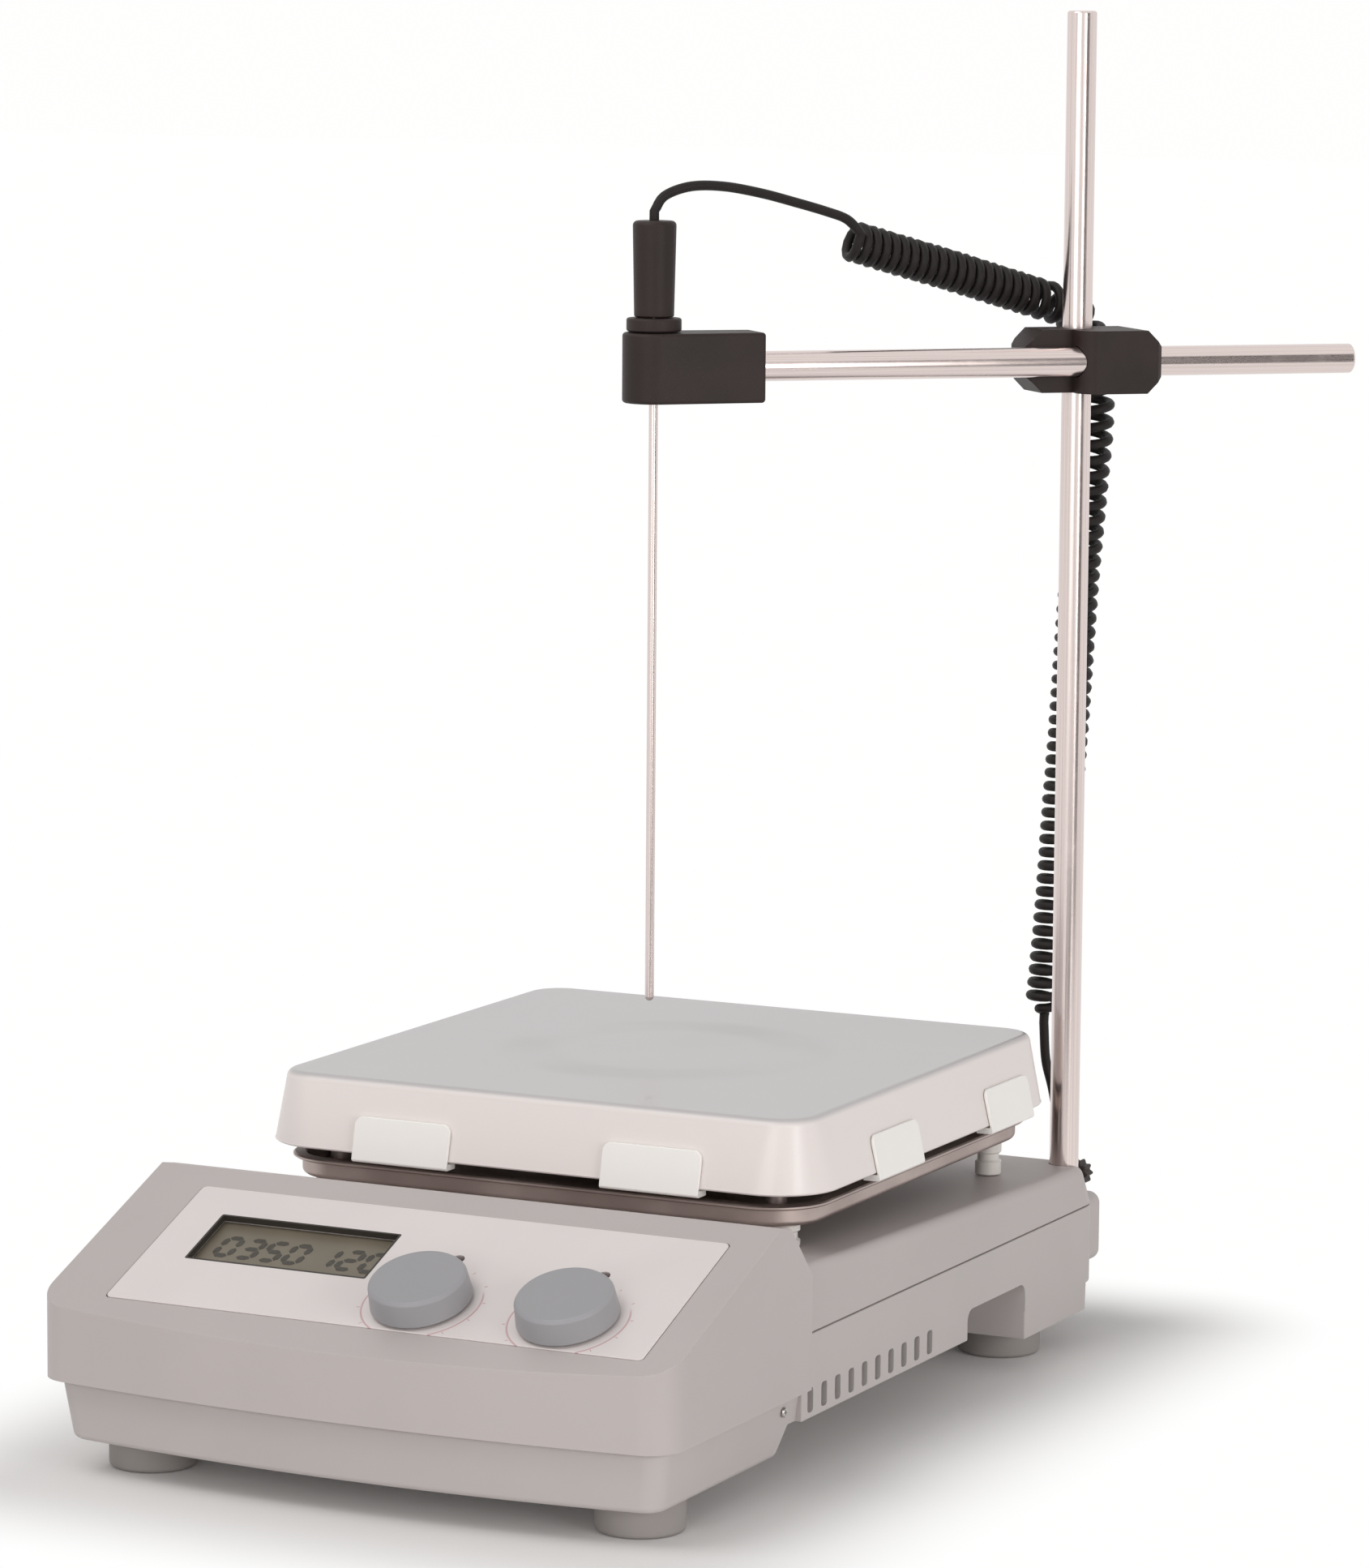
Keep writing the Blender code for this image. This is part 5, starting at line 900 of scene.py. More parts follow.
def repeat(piece, maker, finish, **values):
    """Repeats a piece's mesh with a tree, and makes the result its plain mesh."""
    if maker.__name__ not in TREES:
        TREES[maker.__name__] = maker()
    tree = TREES[maker.__name__]
    step = piece.modifiers.new("copies", "NODES")
    step.node_group = tree.group
    for label, value in values.items():
        step[tree.names[label.replace("_", " ").capitalize()]] = value
    step[tree.names["Finish"]] = finish_named(finish)
    return settle(piece)


# Shader maths


class Signal:
    """A node's output that takes part in plain arithmetic."""

    def __init__(self, paint, socket):
        self.paint = paint
        self.socket = socket

    def _with(self, operation, first, second):
        return self.paint.node("ShaderNodeMath", {"operation": operation}, {0: first, 1: second})

    def __add__(self, other):
        return self._with("ADD", self, other)

    __radd__ = __add__

    def __sub__(self, other):
        return self._with("SUBTRACT", self, other)

    def __rsub__(self, other):
        return self._with("SUBTRACT", other, self)

    def __mul__(self, other):
        return self._with("MULTIPLY", self, other)

    __rmul__ = __mul__

    def __truediv__(self, other):
        return self._with("DIVIDE", self, other)

    def __gt__(self, other):
        return self._with("GREATER_THAN", self, other)

    def __lt__(self, other):
        return self._with("LESS_THAN", self, other)

    def __abs__(self):
        return self._with("ABSOLUTE", self, 0.0)

    def root(self):
        """Square root of the signal."""
        return self._with("SQRT", self, 0.0)

    def at_least(self, value):
        """The signal, or a value where the signal is less."""
        return self._with("MAXIMUM", self, value)

    def over(self, low, high, to_low=0.0, to_high=1.0):
        """Rises or falls smoothly between two values of the signal."""
        smooth = {"interpolation_type": "SMOOTHSTEP"}
        return self.paint.node("ShaderNodeMapRange", smooth, {0: self, 1: low, 2: high, 3: to_low, 4: to_high})


class Paint:
    """A material in the making: its tree, its main shader, and the one way that nodes are added."""

    def __init__(self, name, colour=(0.5, 0.5, 0.5), roughness=0.5, metallic=0.0):
        self.material = bpy.data.materials.new(name)
        self.material.use_nodes = True
        self.tree = self.material.node_tree
        self.shader = self.tree.nodes["Principled BSDF"]
        self.put("Base Color", colour)
        self.put("Roughness", roughness)
        self.put("Metallic", metallic)

    def put(self, label, value):
        """Sets or links a socket of the main shader."""
        self._fill(self.shader.inputs[label], value)

    def _fill(self, socket, value):
        if isinstance(value, Signal):
            self.tree.links.new(value.socket, socket)
        elif socket.type == "RGBA" and len(value) == 3:
            socket.default_value = (*value, 1.0)
        else:
            socket.default_value = value

    def node(self, kind, settings=None, values=None, output=0):
        """Adds a node with its settings and its values or links, and returns one of its outputs."""
        node = self.tree.nodes.new(kind)
        for label, value in (settings or {}).items():
            if label == "stops":
                ramp = node.color_ramp
                while len(ramp.elements) < len(value):
                    ramp.elements.new(0.5)
                for element, (place, colour) in zip(ramp.elements, value):
                    element.position = place
                    element.color = (*colour, 1.0)
            else:
                setattr(node, label, value)
        for key, value in (values or {}).items():
            self._fill(node.inputs[key], value)
        return Signal(self, node.outputs[output])

    def place(self):
        """Position in the object's own space."""
        return self.node("ShaderNodeTexCoord", output="Object")

    def mapped(self, location=(0, 0, 0), rotation=(0, 0, 0), scale=(1, 1, 1), vector=None):
        """A position after a scale, a turn and a shift."""
        values = {"Vector": vector or self.place(), "Location": location, "Rotation": rotation, "Scale": scale}
        return self.node("ShaderNodeMapping", {}, values)

    def axis(self, vector, name):
        """One part of a position."""
        return self.node("ShaderNodeSeparateXYZ", {}, {0: vector}, output=name)

    def noise(self, vector, scale, detail=3.0, roughness=0.5):
        """Soft noise from 0 to 1."""
        values = {"Vector": vector, "Scale": scale, "Detail": detail, "Roughness": roughness}
        return self.node("ShaderNodeTexNoise", {}, values)

    def cells(self, vector, scale):
        """Distance to scattered cell centres."""
        return self.node("ShaderNodeTexVoronoi", {}, {"Vector": vector, "Scale": scale})

    def bricks(self, vector, scale, mortar, offset):
        """1 in the joints of a brick pattern, and 0 elsewhere."""
        values = {"Vector": vector, "Scale": scale, "Mortar Size": mortar}
        return self.node("ShaderNodeTexBrick", {"offset": offset}, values, "Fac")

    def blend(self, factor, first, second):
        """One colour fading into another."""
        return self.node("ShaderNodeMix", {"data_type": "RGBA"}, {0: factor, 6: first, 7: second}, output=2)

    def distance(self, vector, point):
        """Distance from a point, in the space of the vector."""
        return self.node("ShaderNodeVectorMath", {"operation": "DISTANCE"}, {0: vector, 1: point}, output="Value")

    def relief(self, height, depth, strength):
        """Raises the surface by a signal, over a depth in metres."""
        return self.node("ShaderNodeBump", {}, {"Height": height, "Distance": depth, "Strength": strength})


def tinted(colour, share):
    """A colour made lighter or darker by a share."""
    return tuple(min(1.0, channel * (1 + share)) for channel in colour)


def moulded(name, colour, roughness, grain=1400, depth=0.00004, spread=0.05, coat=0.0):
    """Painted or moulded housing: even colour with slight clouding and a fine orange peel."""
    paint = Paint(name, colour, roughness)
    place = paint.place()
    clouds = paint.noise(place, 14, 4)
    peel = paint.noise(place, grain, 2)
    specks = paint.cells(place, grain * 1.7)
    paint.put("Base Color", paint.blend(clouds.over(0.3, 0.7), tinted(colour, -spread / 2), tinted(colour, spread / 2)))
    paint.put("Roughness", roughness - 0.05 + 0.10 * clouds + 0.06 * peel)
    paint.put("Normal", paint.relief(peel * 0.7 + specks * 0.3, depth, 0.35))
    if coat:
        paint.put("Coat Weight", coat)
        paint.put("Coat Roughness", 0.25)
    return paint.material


def housing_finish(name):
    """Warm grey housing with a fine orange peel."""
    return moulded(name, tuple(settings().housing.shell_colour), 0.46)


def tray_finish(name):
    """The lower housing, slightly lighter and more matt."""
    return moulded(name, tuple(settings().housing.tray_colour), 0.55, grain=1100, depth=0.00005)


def panel_finish(name):
    """Pale printed film: a fine grain and a thin open ring round each dial."""
    controls = settings().controls
    colour = tuple(controls.panel_colour)
    ink = tuple(controls.ink_colour)
    paint = Paint(name, colour, 0.42)
    slope_turn = Matrix.Rotation(-PANEL_SLOPE, 4, "X")
    origin = SHIFT + Vector((0, CREST_Y, CREST_Z))
    on_slope = paint.mapped(location=-(slope_turn @ origin), rotation=(-PANEL_SLOPE, 0, 0))
    across, down = paint.axis(on_slope, "X"), paint.axis(on_slope, "Y")
    inked = None
    for x in (SPEED_X, HEAT_X):
        away_x, away_y = across - x, down + KNOB_FROM_CREST
        radius = (away_x * away_x + away_y * away_y).root()
        angle = paint.node("ShaderNodeMath", {"operation": "ARCTAN2"}, {0: away_x, 1: away_y})
        ring = abs(radius - DIAL_RING_RADIUS).over(DIAL_RING_WIDTH * 0.35, DIAL_RING_WIDTH * 0.65, 1.0, 0.0)
        sides = abs(abs(angle) - DIAL_RING_MIDDLE).over(DIAL_RING_REACH, DIAL_RING_REACH + 0.25, 1.0, 0.0)
        inked = ring * sides if inked is None else inked + ring * sides
    grain = paint.noise(on_slope, 900, 2)
    clouds = paint.noise(on_slope, 22, 3)
    base = paint.blend(clouds.over(0.3, 0.7), tinted(colour, -0.02), tinted(colour, 0.015))
    paint.put("Base Color", paint.blend(inked * 0.75, base, ink))
    paint.put("Roughness", 0.38 + 0.08 * grain)
    paint.put("Normal", paint.relief(grain, 0.00002, 0.4))
    return paint.material


def ink_finish(name):
    """Printed marks on the control panel."""
    return moulded(name, tuple(settings().controls.ink_colour), 0.5, grain=2500, depth=0.00001)


def lens_finish(name):
    """Clear display pane, faintly hazed."""
    paint = Paint(name, srgb(150, 146, 130), 0.1)
    haze = paint.noise(paint.place(), 120, 3)
    paint.put("Roughness", 0.06 + 0.10 * haze)
    paint.put("Alpha", 0.03 + 0.03 * haze)
    paint.put("Specular IOR Level", 0.6)
    paint.material.surface_render_method = "BLENDED"
    return paint.material


def display_finish(name):
    """Olive display cell with a faint pixel mesh."""
    colour = tuple(settings().controls.display_colour)
    paint = Paint(name, colour, 0.45)
    place = paint.place()
    mesh = paint.bricks(place, 2600.0, 0.03, 0.0)
    clouds = paint.noise(place, 60, 2)
    base = paint.blend(clouds.over(0.3, 0.7), tinted(colour, -0.08), tinted(colour, 0.08))
    paint.put("Base Color", paint.blend(mesh * 0.2, base, tinted(colour, -0.3)))
    paint.put("Roughness", 0.35 + 0.15 * clouds)
    return paint.material


def board_finish(name):
    """Green circuit board with tracks under its varnish and small golden patches."""
    paint = Paint(name, srgb(24, 88, 52), 0.4)
    place = paint.place()
    tracks = paint.bricks(place, 160.0, 0.08, 0.5)
    clouds = paint.noise(place, 80, 2)
    base = paint.blend(tracks * 0.7, srgb(22, 84, 50), srgb(64, 128, 84))
    paint.put("Base Color", paint.blend(clouds.over(0.62, 0.66), base, srgb(196, 160, 92)))
    paint.put("Roughness", 0.35 + 0.2 * clouds)
    paint.put("Normal", paint.relief(tracks, 0.00005, 0.4))
    paint.put("Coat Weight", 0.3)
    return paint.material


def knob_finish(name):
    """Blue-grey dial caps with a fine satin grain."""
    colour = tuple(settings().controls.knob_colour)
    return moulded(name, colour, 0.42, grain=1700, depth=0.00003, spread=0.04)


def lamp_finish(name):
    """Dark indicator lens, glossy, with a slightly lighter heart."""
    paint = Paint(name, srgb(60, 34, 34), 0.15)
    place = paint.place()
    heart = paint.noise(place, 500, 1)
    paint.put("Base Color", paint.blend(heart, srgb(38, 26, 26), srgb(84, 44, 42)))
    paint.put("Roughness", 0.10 + 0.12 * heart)
    paint.put("Coat Weight", 0.6)
    return paint.material


def plate_finish(name):
    """Enamelled plate: a warm white skirt, a working face whose cooler, darker grey is partly painted reflection and
    shade, fine speckle and faint use marks.
    """
    plate = settings().plate
    # The working face takes a grey that is partly painted reflection and shade: the same enamel drawn darker and cooler
    # on the flat face than on the skirt
    top, skirt = tuple(plate.face_colour_with_painted_reflection), tuple(plate.skirt_colour)
    paint = Paint(name, top, 0.35)
    place = paint.place()
    height = paint.axis(place, "Z")
    # Mask of the working face, where the painted reflection and shade go
    face = height.over(PLATE_TOP_Z - PLATE_EDGE_RADIUS * 0.7, PLATE_TOP_Z - PLATE_EDGE_RADIUS * 0.05)
    speckle = paint.cells(place, 1500)
    clouds = paint.noise(place, 18, 4)
    rings = paint.distance(place, tuple(SHIFT + Vector((0, 0, PLATE_TOP_Z))))
    worn = abs(rings - WORN_RING_RADIUS).over(0.004, 0.014, 1.0, 0.0) * clouds.over(0.35, 0.7)
    clean = paint.blend(face, skirt, paint.blend(clouds.over(0.3, 0.7), tinted(top, -0.03), tinted(top, 0.03)))
    paint.put("Base Color", paint.blend(worn * 0.10, clean, tinted(top, -0.25)))
    paint.put("Roughness", 0.33 + 0.10 * clouds - 0.06 * face + 0.08 * worn)
    paint.put("Normal", paint.relief(speckle, 0.00004, 0.25))
    paint.put("Coat Weight", 0.15)
    return paint.material


def clip_finish(name):
    """Bright white clips, smooth and slightly glossy."""
    colour = tuple(settings().plate.clip_colour)
    return moulded(name, colour, 0.35, grain=1500, depth=0.00002, spread=0.03, coat=0.2)


def metal(name, colour, roughness, stretch, turn=0.0):
    """Drawn or ground metal: streaks along one direction, with small patches that are duller."""
    paint = Paint(name, colour, roughness, 1.0)
    along = paint.mapped(rotation=(0, 0, turn))
    drawn = paint.mapped(scale=stretch, vector=along)
    streaks = paint.noise(drawn, 1.0, 3, 0.6)
    patches = paint.noise(along, 45, 3)
    paint.put("Base Color", paint.blend(streaks.over(0.3, 0.75), tinted(colour, -0.12), tinted(colour, 0.048)))
    paint.put("Roughness", roughness - 0.05 + 0.12 * streaks + 0.08 * patches.over(0.5, 0.8))
    paint.put("Normal", paint.relief(streaks, 0.00001, 0.25))
    return paint.material


def rod_finish(name):
    """Ground steel of the upright rod and the probe, streaked upwards."""
    return metal(name, tuple(settings().stand.steel_colour), 0.2, (2600, 2600, 9))


def arm_finish(name):
    """Ground steel of the cross rod, streaked along its length."""
    return metal(name, tuple(settings().stand.steel_colour), 0.2, (9, 2600, 2600), turn=-ARM_TURN)


def pan_finish(name):
    """Rolled steel of the heat shield, a warm grey with cloudy patches."""
    paint = Paint(name, srgb(120, 106, 102), 0.38, 1.0)
    place = paint.place()
    clouds = paint.noise(place, 30, 4)
    rolled = paint.noise(paint.mapped(scale=(1200, 30, 1200)), 1.0, 3)
    steel = paint.blend(clouds.over(0.3, 0.75), srgb(160, 145, 140), srgb(186, 171, 166))
    paint.put("Base Color", steel)
    paint.put("Roughness", 0.32 + 0.16 * clouds + 0.08 * rolled)
    paint.put("Normal", paint.relief(rolled, 0.00003, 0.3))
    return paint.material


def heater_finish(name):
    """Mica sheet with the element's tracks showing."""
    paint = Paint(name, srgb(158, 134, 104), 0.6)
    place = paint.place()
    flakes = paint.cells(place, 130)
    bands = {"wave_type": "BANDS", "bands_direction": "X"}
    tracks = paint.node("ShaderNodeTexWave", bands, {"Vector": place, "Scale": 30.0, "Distortion": 1.0})
    mica = paint.blend(flakes, srgb(148, 122, 92), srgb(188, 164, 130))
    paint.put("Base Color", paint.blend(tracks.over(0.7, 0.8), mica, srgb(96, 84, 76)))
    paint.put("Roughness", 0.5 + 0.25 * flakes)
    return paint.material


def insulation_finish(name):
    """Pressed mineral wool."""
    paint = Paint(name, srgb(226, 218, 202), 0.95)
    wool = paint.noise(paint.mapped(scale=(400, 90, 400)), 1.0, 5, 0.7)
    paint.put("Base Color", paint.blend(wool, srgb(206, 196, 176), srgb(238, 232, 220)))
    paint.put("Normal", paint.relief(wool, 0.0006, 0.7))
    return paint.material


def black_finish(name):
    """Black moulded plastic with a fine texture and soft, slightly lighter patches."""
    colour = tuple(settings().stand.black_colour)
    paint = Paint(name, colour, 0.45)
    place = paint.place()
    grain = paint.cells(place, 2200)
    clouds = paint.noise(place, 55, 4)
    paint.put("Base Color", paint.blend(clouds.over(0.3, 0.75), tinted(colour, -0.15), tinted(colour, 0.25)))
    paint.put("Roughness", 0.40 + 0.14 * clouds + 0.08 * grain)
    paint.put("Specular IOR Level", 0.25)
    paint.put("Normal", paint.relief(grain, 0.00006, 0.35))
    return paint.material


def cord_finish(name):
    """Black cord sheath, slightly dusty."""
    colour = tuple(settings().cord.sheath_colour)
    paint = Paint(name, colour, 0.5)
    place = paint.place()
    dust = paint.noise(place, 160, 4)
    grain = paint.noise(place, 1800, 2)
    paint.put("Base Color", paint.blend(dust.over(0.45, 0.8), colour, tinted(colour, 0.4)))
    paint.put("Roughness", 0.42 + 0.2 * dust)
    paint.put("Specular IOR Level", 0.2)
    paint.put("Normal", paint.relief(grain, 0.00004, 0.3))
    return paint.material


def plain(maker, *numbers, **named_numbers):
    """A finish that needs no more than a maker and its numbers."""

    def finish(name):
        return maker(name, *numbers, **named_numbers)

    return finish


FINISHES = {
    "housing": housing_finish,
    "tray": tray_finish,
    # Grey rubber
    "foot": plain(moulded, srgb(158, 152, 149), 0.7, grain=700, depth=0.0001),
    "panel": panel_finish,
    "ink": ink_finish,
    # Matt black walls of the display opening, their dark colour partly painted shade of the recess
    "surround": plain(moulded, srgb(45, 40, 34), 0.6, grain=1500, depth=0.00003),
    "lens": lens_finish,
    "display": display_finish,
    # Dark display segments
    "digit": plain(moulded, srgb(44, 38, 30), 0.5, grain=1800, depth=0.00001),
    "board": board_finish,
    "knob": knob_finish,
    "lamp": lamp_finish,
    "plate": plate_finish,
    "clip": clip_finish,
    "steel": rod_finish,
    "arm_steel": arm_finish,
    # Turned steel of the small inner parts
    "fine_steel": plain(metal, srgb(196, 192, 188), 0.3, (900, 900, 900)),
    "pan": pan_finish,
    # Dark painted steel
    "bracket": plain(moulded, srgb(62, 52, 50), 0.5, grain=1200, depth=0.00004),
    # Glazed white ceramic
    "pillar": plain(moulded, srgb(226, 221, 216), 0.3, grain=600, depth=0.00003, coat=0.4),
    "heater": heater_finish,
    "insulation": insulation_finish,
    # Plated motor case
    "motor": plain(metal, srgb(168, 166, 166), 0.35, (1500, 1500, 60)),
    # Nickel plate
    "magnet": plain(metal, srgb(190, 186, 178), 0.22, (700, 700, 700)),
    "black_plastic": black_finish,
    "cord": cord_finish,
    # Turned brass
    "brass": plain(metal, srgb(196, 160, 92), 0.3, (1200, 1200, 30)),
}


def finish_named(name):
    """A finish by its name, made the first time that it is asked for."""
    title = f"{name}_finish"
    return bpy.data.materials.get(title) or FINISHES[name](title)


def settings():
    """The sizes and colours that a user may change."""
    return bpy.context.scene.hotplate_stirrer


# Settings


class HousingSettings(PropertyGroup):
    """Colours and rounding of the housing."""

    shell_colour: FloatVectorProperty(
        name="Shell colour",
        description="Colour of the upper housing",
        subtype="COLOR",
        min=0,
        max=1,
        default=srgb(190, 182, 180),
    )
    tray_colour: FloatVectorProperty(
        name="Tray colour",
        description="Colour of the lower housing",
        subtype="COLOR",
        min=0,
        max=1,
        default=srgb(193, 186, 184),
    )
    edge_segments: IntProperty(
        name="Edge segments", description="Faces across each rounded edge of the housing", min=2, max=12, default=7
    )


class ControlSettings(PropertyGroup):
    """Colours of the controls and the digits on the display."""

    panel_colour: FloatVectorProperty(
        name="Panel colour",
        description="Colour of the printed front panel",
        subtype="COLOR",
        min=0,
        max=1,
        default=srgb(229, 221, 219),
    )
    ink_colour: FloatVectorProperty(
        name="Ink colour",
        description="Colour of the printed marks",
        subtype="COLOR",
        min=0,
        max=1,
        default=srgb(196, 150, 152),
    )
    knob_colour: FloatVectorProperty(
        name="Dial colour",
        description="Colour of both dials",
        subtype="COLOR",
        min=0,
        max=1,
        default=srgb(156, 155, 158),
    )
    display_colour: FloatVectorProperty(
        name="Display colour",
        description="Colour of the display cell",
        subtype="COLOR",
        min=0,
        max=1,
        default=srgb(120, 110, 94),
    )
    left_reading: IntProperty(
        name="Left reading",
        description="Number shown on the left of the display",
        min=0,
        max=9999,
        default=350,
    )
    right_reading: IntProperty(
        name="Right reading",
        description="Number shown on the right of the display",
        min=0,
        max=999,
        default=120,
    )


class PlateSettings(PropertyGroup):
    """Colours of the heating plate and its clips."""

    # The working face's cooler, darker grey is partly painted reflection and shade
    face_colour_with_painted_reflection: FloatVectorProperty(
        name="Face colour",
        description="Colour of the plate's working face",
        subtype="COLOR",
        min=0,
        max=1,
        default=srgb(192, 188, 189),
    )
    skirt_colour: FloatVectorProperty(
        name="Skirt colour",
        description="Colour of the plate's skirt",
        subtype="COLOR",
        min=0,
        max=1,
        default=srgb(238, 230, 227),
    )
    clip_colour: FloatVectorProperty(
        name="Clip colour",
        description="Colour of the edge clips",
        subtype="COLOR",
        min=0,
        max=1,
        default=srgb(250, 247, 243),
    )
    edge_steps: IntProperty(
        name="Edge steps",
        description="Faces across the plate's soft edge",
        min=3,
        max=24,
        default=10,
    )


class StandSettings(PropertyGroup):
    """Finish of the stand, the clamp and the arm."""

    steel_colour: FloatVectorProperty(
        name="Steel colour",
        description="Colour of the rods",
        subtype="COLOR",
        min=0,
        max=1,
        default=srgb(224, 210, 206),
    )
    black_colour: FloatVectorProperty(
        name="Plastic colour",
        description="Colour of the black moulded parts",
        subtype="COLOR",
        min=0,
        max=1,
        default=srgb(44, 34, 32),
    )
    grip_edge: FloatProperty(
        name="Grip edge",
        description="Rounding of the clamp's edges",
        unit="LENGTH",
        min=0.0001,
        max=0.002,
        default=0.0009,
    )


class CordSettings(PropertyGroup):
    """Fineness and colour of the probe cord."""

    sheath_colour: FloatVectorProperty(
        name="Sheath colour",
        description="Colour of the cord",
        subtype="COLOR",
        min=0,
        max=1,
        default=srgb(34, 30, 29),
    )
    sides: IntProperty(name="Sides", description="Faces round the cord", min=6, max=32, default=12)
    steps_per_curl: IntProperty(name="Steps a curl", description="Rings in each curl", min=12, max=64, default=24)


class StageSettings(PropertyGroup):
    """Levels of the plain studio light."""

    sky_level: FloatProperty(
        name="Sky level",
        description="Strength of the even light from all round",
        min=0,
        max=2,
        default=0.45,
    )
    key_power: FloatProperty(
        name="Key power",
        description="Power of the large soft lamp in watts",
        min=0,
        max=200,
        default=15.5,
    )
    fill_power: FloatProperty(
        name="Fill power",
        description="Power of the soft side lamp in watts",
        min=0,
        max=200,
        default=15.5,
    )
    floor_lift: FloatProperty(
        name="Floor lift",
        description="White added to the floor where the camera sees it",
        min=0,
        max=1,
        default=0.02,
    )


class StirrerSettings(PropertyGroup):
    """All settings of the hotplate stirrer."""

    housing: PointerProperty(type=HousingSettings)
    controls: PointerProperty(type=ControlSettings)
    plate: PointerProperty(type=PlateSettings)
    stand: PointerProperty(type=StandSettings)
    cord: PointerProperty(type=CordSettings)
    stage: PointerProperty(type=StageSettings)


# Housing


def top_weight(first, second, middle):
    """Full rounding along the nose's top edges, less along its front lip and its lower rim."""
    upward = max(first.z, second.z)
    flattest = min(abs(first.z), abs(second.z))
    if min(first.z, second.z) < -0.9 and flattest < 0.5:
        return RIM_EDGE / NOSE_EDGE_RADIUS
    if upward < 0.5 or flattest > 0.5 or min(first.y, second.y) > 0.5:
        return 0.0
    if middle.y < FRONT_Y + FRONT_BOW + FRONT_CORNER_RADIUS and abs(middle.x) < NOSE_WIDTH / 2 - HOUSING_WALL:
        return LIP_EDGE_SHARE
    return 1.0


def nose_block(inset, bottom, width, segments):
    """The nose as a block, drawn a distance inside its true skin."""
    half = NOSE_WIDTH / 2 - inset
    corner = FRONT_CORNER_RADIUS - inset
    outline = bowed_outline(half, FRONT_Y + inset, NOSE_REAR_Y - inset, corner, FRONT_BOW)
    shape = prism(outline, bottom, CREST_Z + NOSE_OVERLAP)
    slope = Vector((0, -math.sin(PANEL_SLOPE), math.cos(PANEL_SLOPE)))
    crest = Vector((0, CREST_Y, CREST_Z))
    slice_off(shape, crest - slope * inset, slope)
    fall = math.atan2(NOSE_REAR_DROP, NOSE_REAR_Y - CREST_Y)
    back = Vector((0, math.sin(fall), math.cos(fall)))
    slice_off(shape, crest - back * inset, back)
    lean = Vector((0, math.cos(NOSE_BACK_LEAN), math.sin(NOSE_BACK_LEAN)))
    slice_off(shape, Vector((0, NOSE_REAR_Y, DECK_FRONT_Z)) - lean * inset, lean)
    weigh_edges(shape, top_weight)
    return round_weighted(new_piece("nose", shape), width, segments)


def deck_block(inset, bottom, front_y, segments):
    """The rear body's upper part as a block, leaning in towards the deck."""
    half = BODY_WIDTH / 2 - inset
    corner = BODY_CORNER_RADIUS - inset
    rear = BODY_REAR_Y - inset
    top = CREST_Z
    lean = DECK_LEAN * (top - BODY_SPLIT_Z) / (DECK_FRONT_Z - BODY_SPLIT_Z)
    drop = DECK_LEAN * (BODY_SPLIT_Z - bottom) / (DECK_FRONT_Z - BODY_SPLIT_Z)
    spread = drop if inset else 0
    wide = body_outline(half + spread, front_y, rear + spread, corner)
    narrow = body_outline(half - lean, front_y, rear - lean, corner)
    shape = loft([at_height(wide, bottom), at_height(narrow, top)])
    fall = math.atan(DECK_FALL)
    normal = Vector((0, math.sin(fall), math.cos(fall)))
    surface = Vector((0, NOSE_REAR_Y, DECK_FRONT_Z))
    slice_off(shape, surface - normal * inset, normal)

    def weight(first, second, middle):
        if max(first.z, second.z) > 0.9 > min(first.z, second.z):
            return 1.0
        if min(first.z, second.z) < -0.9 and max(first.z, second.z) < 0.5:
            return RIM_EDGE / DECK_EDGE_RADIUS
        return 0.0

    weigh_edges(shape, weight)
    piece = new_piece("deck", shape)
    if not inset:
        round_weighted(piece, DECK_EDGE_RADIUS, segments)
    return piece


def panel_cutters(depth):
    """Cutters in the panel's plane: the display window, the shaft holes and the lamp holes."""
    gap = FIT_GAP
    window = rounded_rectangle(LCD_WIDTH + 2 * gap, LCD_HEIGHT + 2 * gap, gap * 2, 3)
    shapes = [moved(prism(window, -depth, CUT_OVERRUN), (LCD_MIDDLE_X, -LCD_FROM_CREST, 0))]
    for knob_x in (SPEED_X, HEAT_X):
        for radius, distance in ((SHAFT_HOLE_RADIUS, KNOB_FROM_CREST), (LAMP_RADIUS + gap, LAMP_FROM_CREST)):
            shapes.append(moved(cylinder(radius, -depth, CUT_OVERRUN, SMALL_SIDES), (knob_x, -distance, 0)))
    return join_shapes(*shapes)


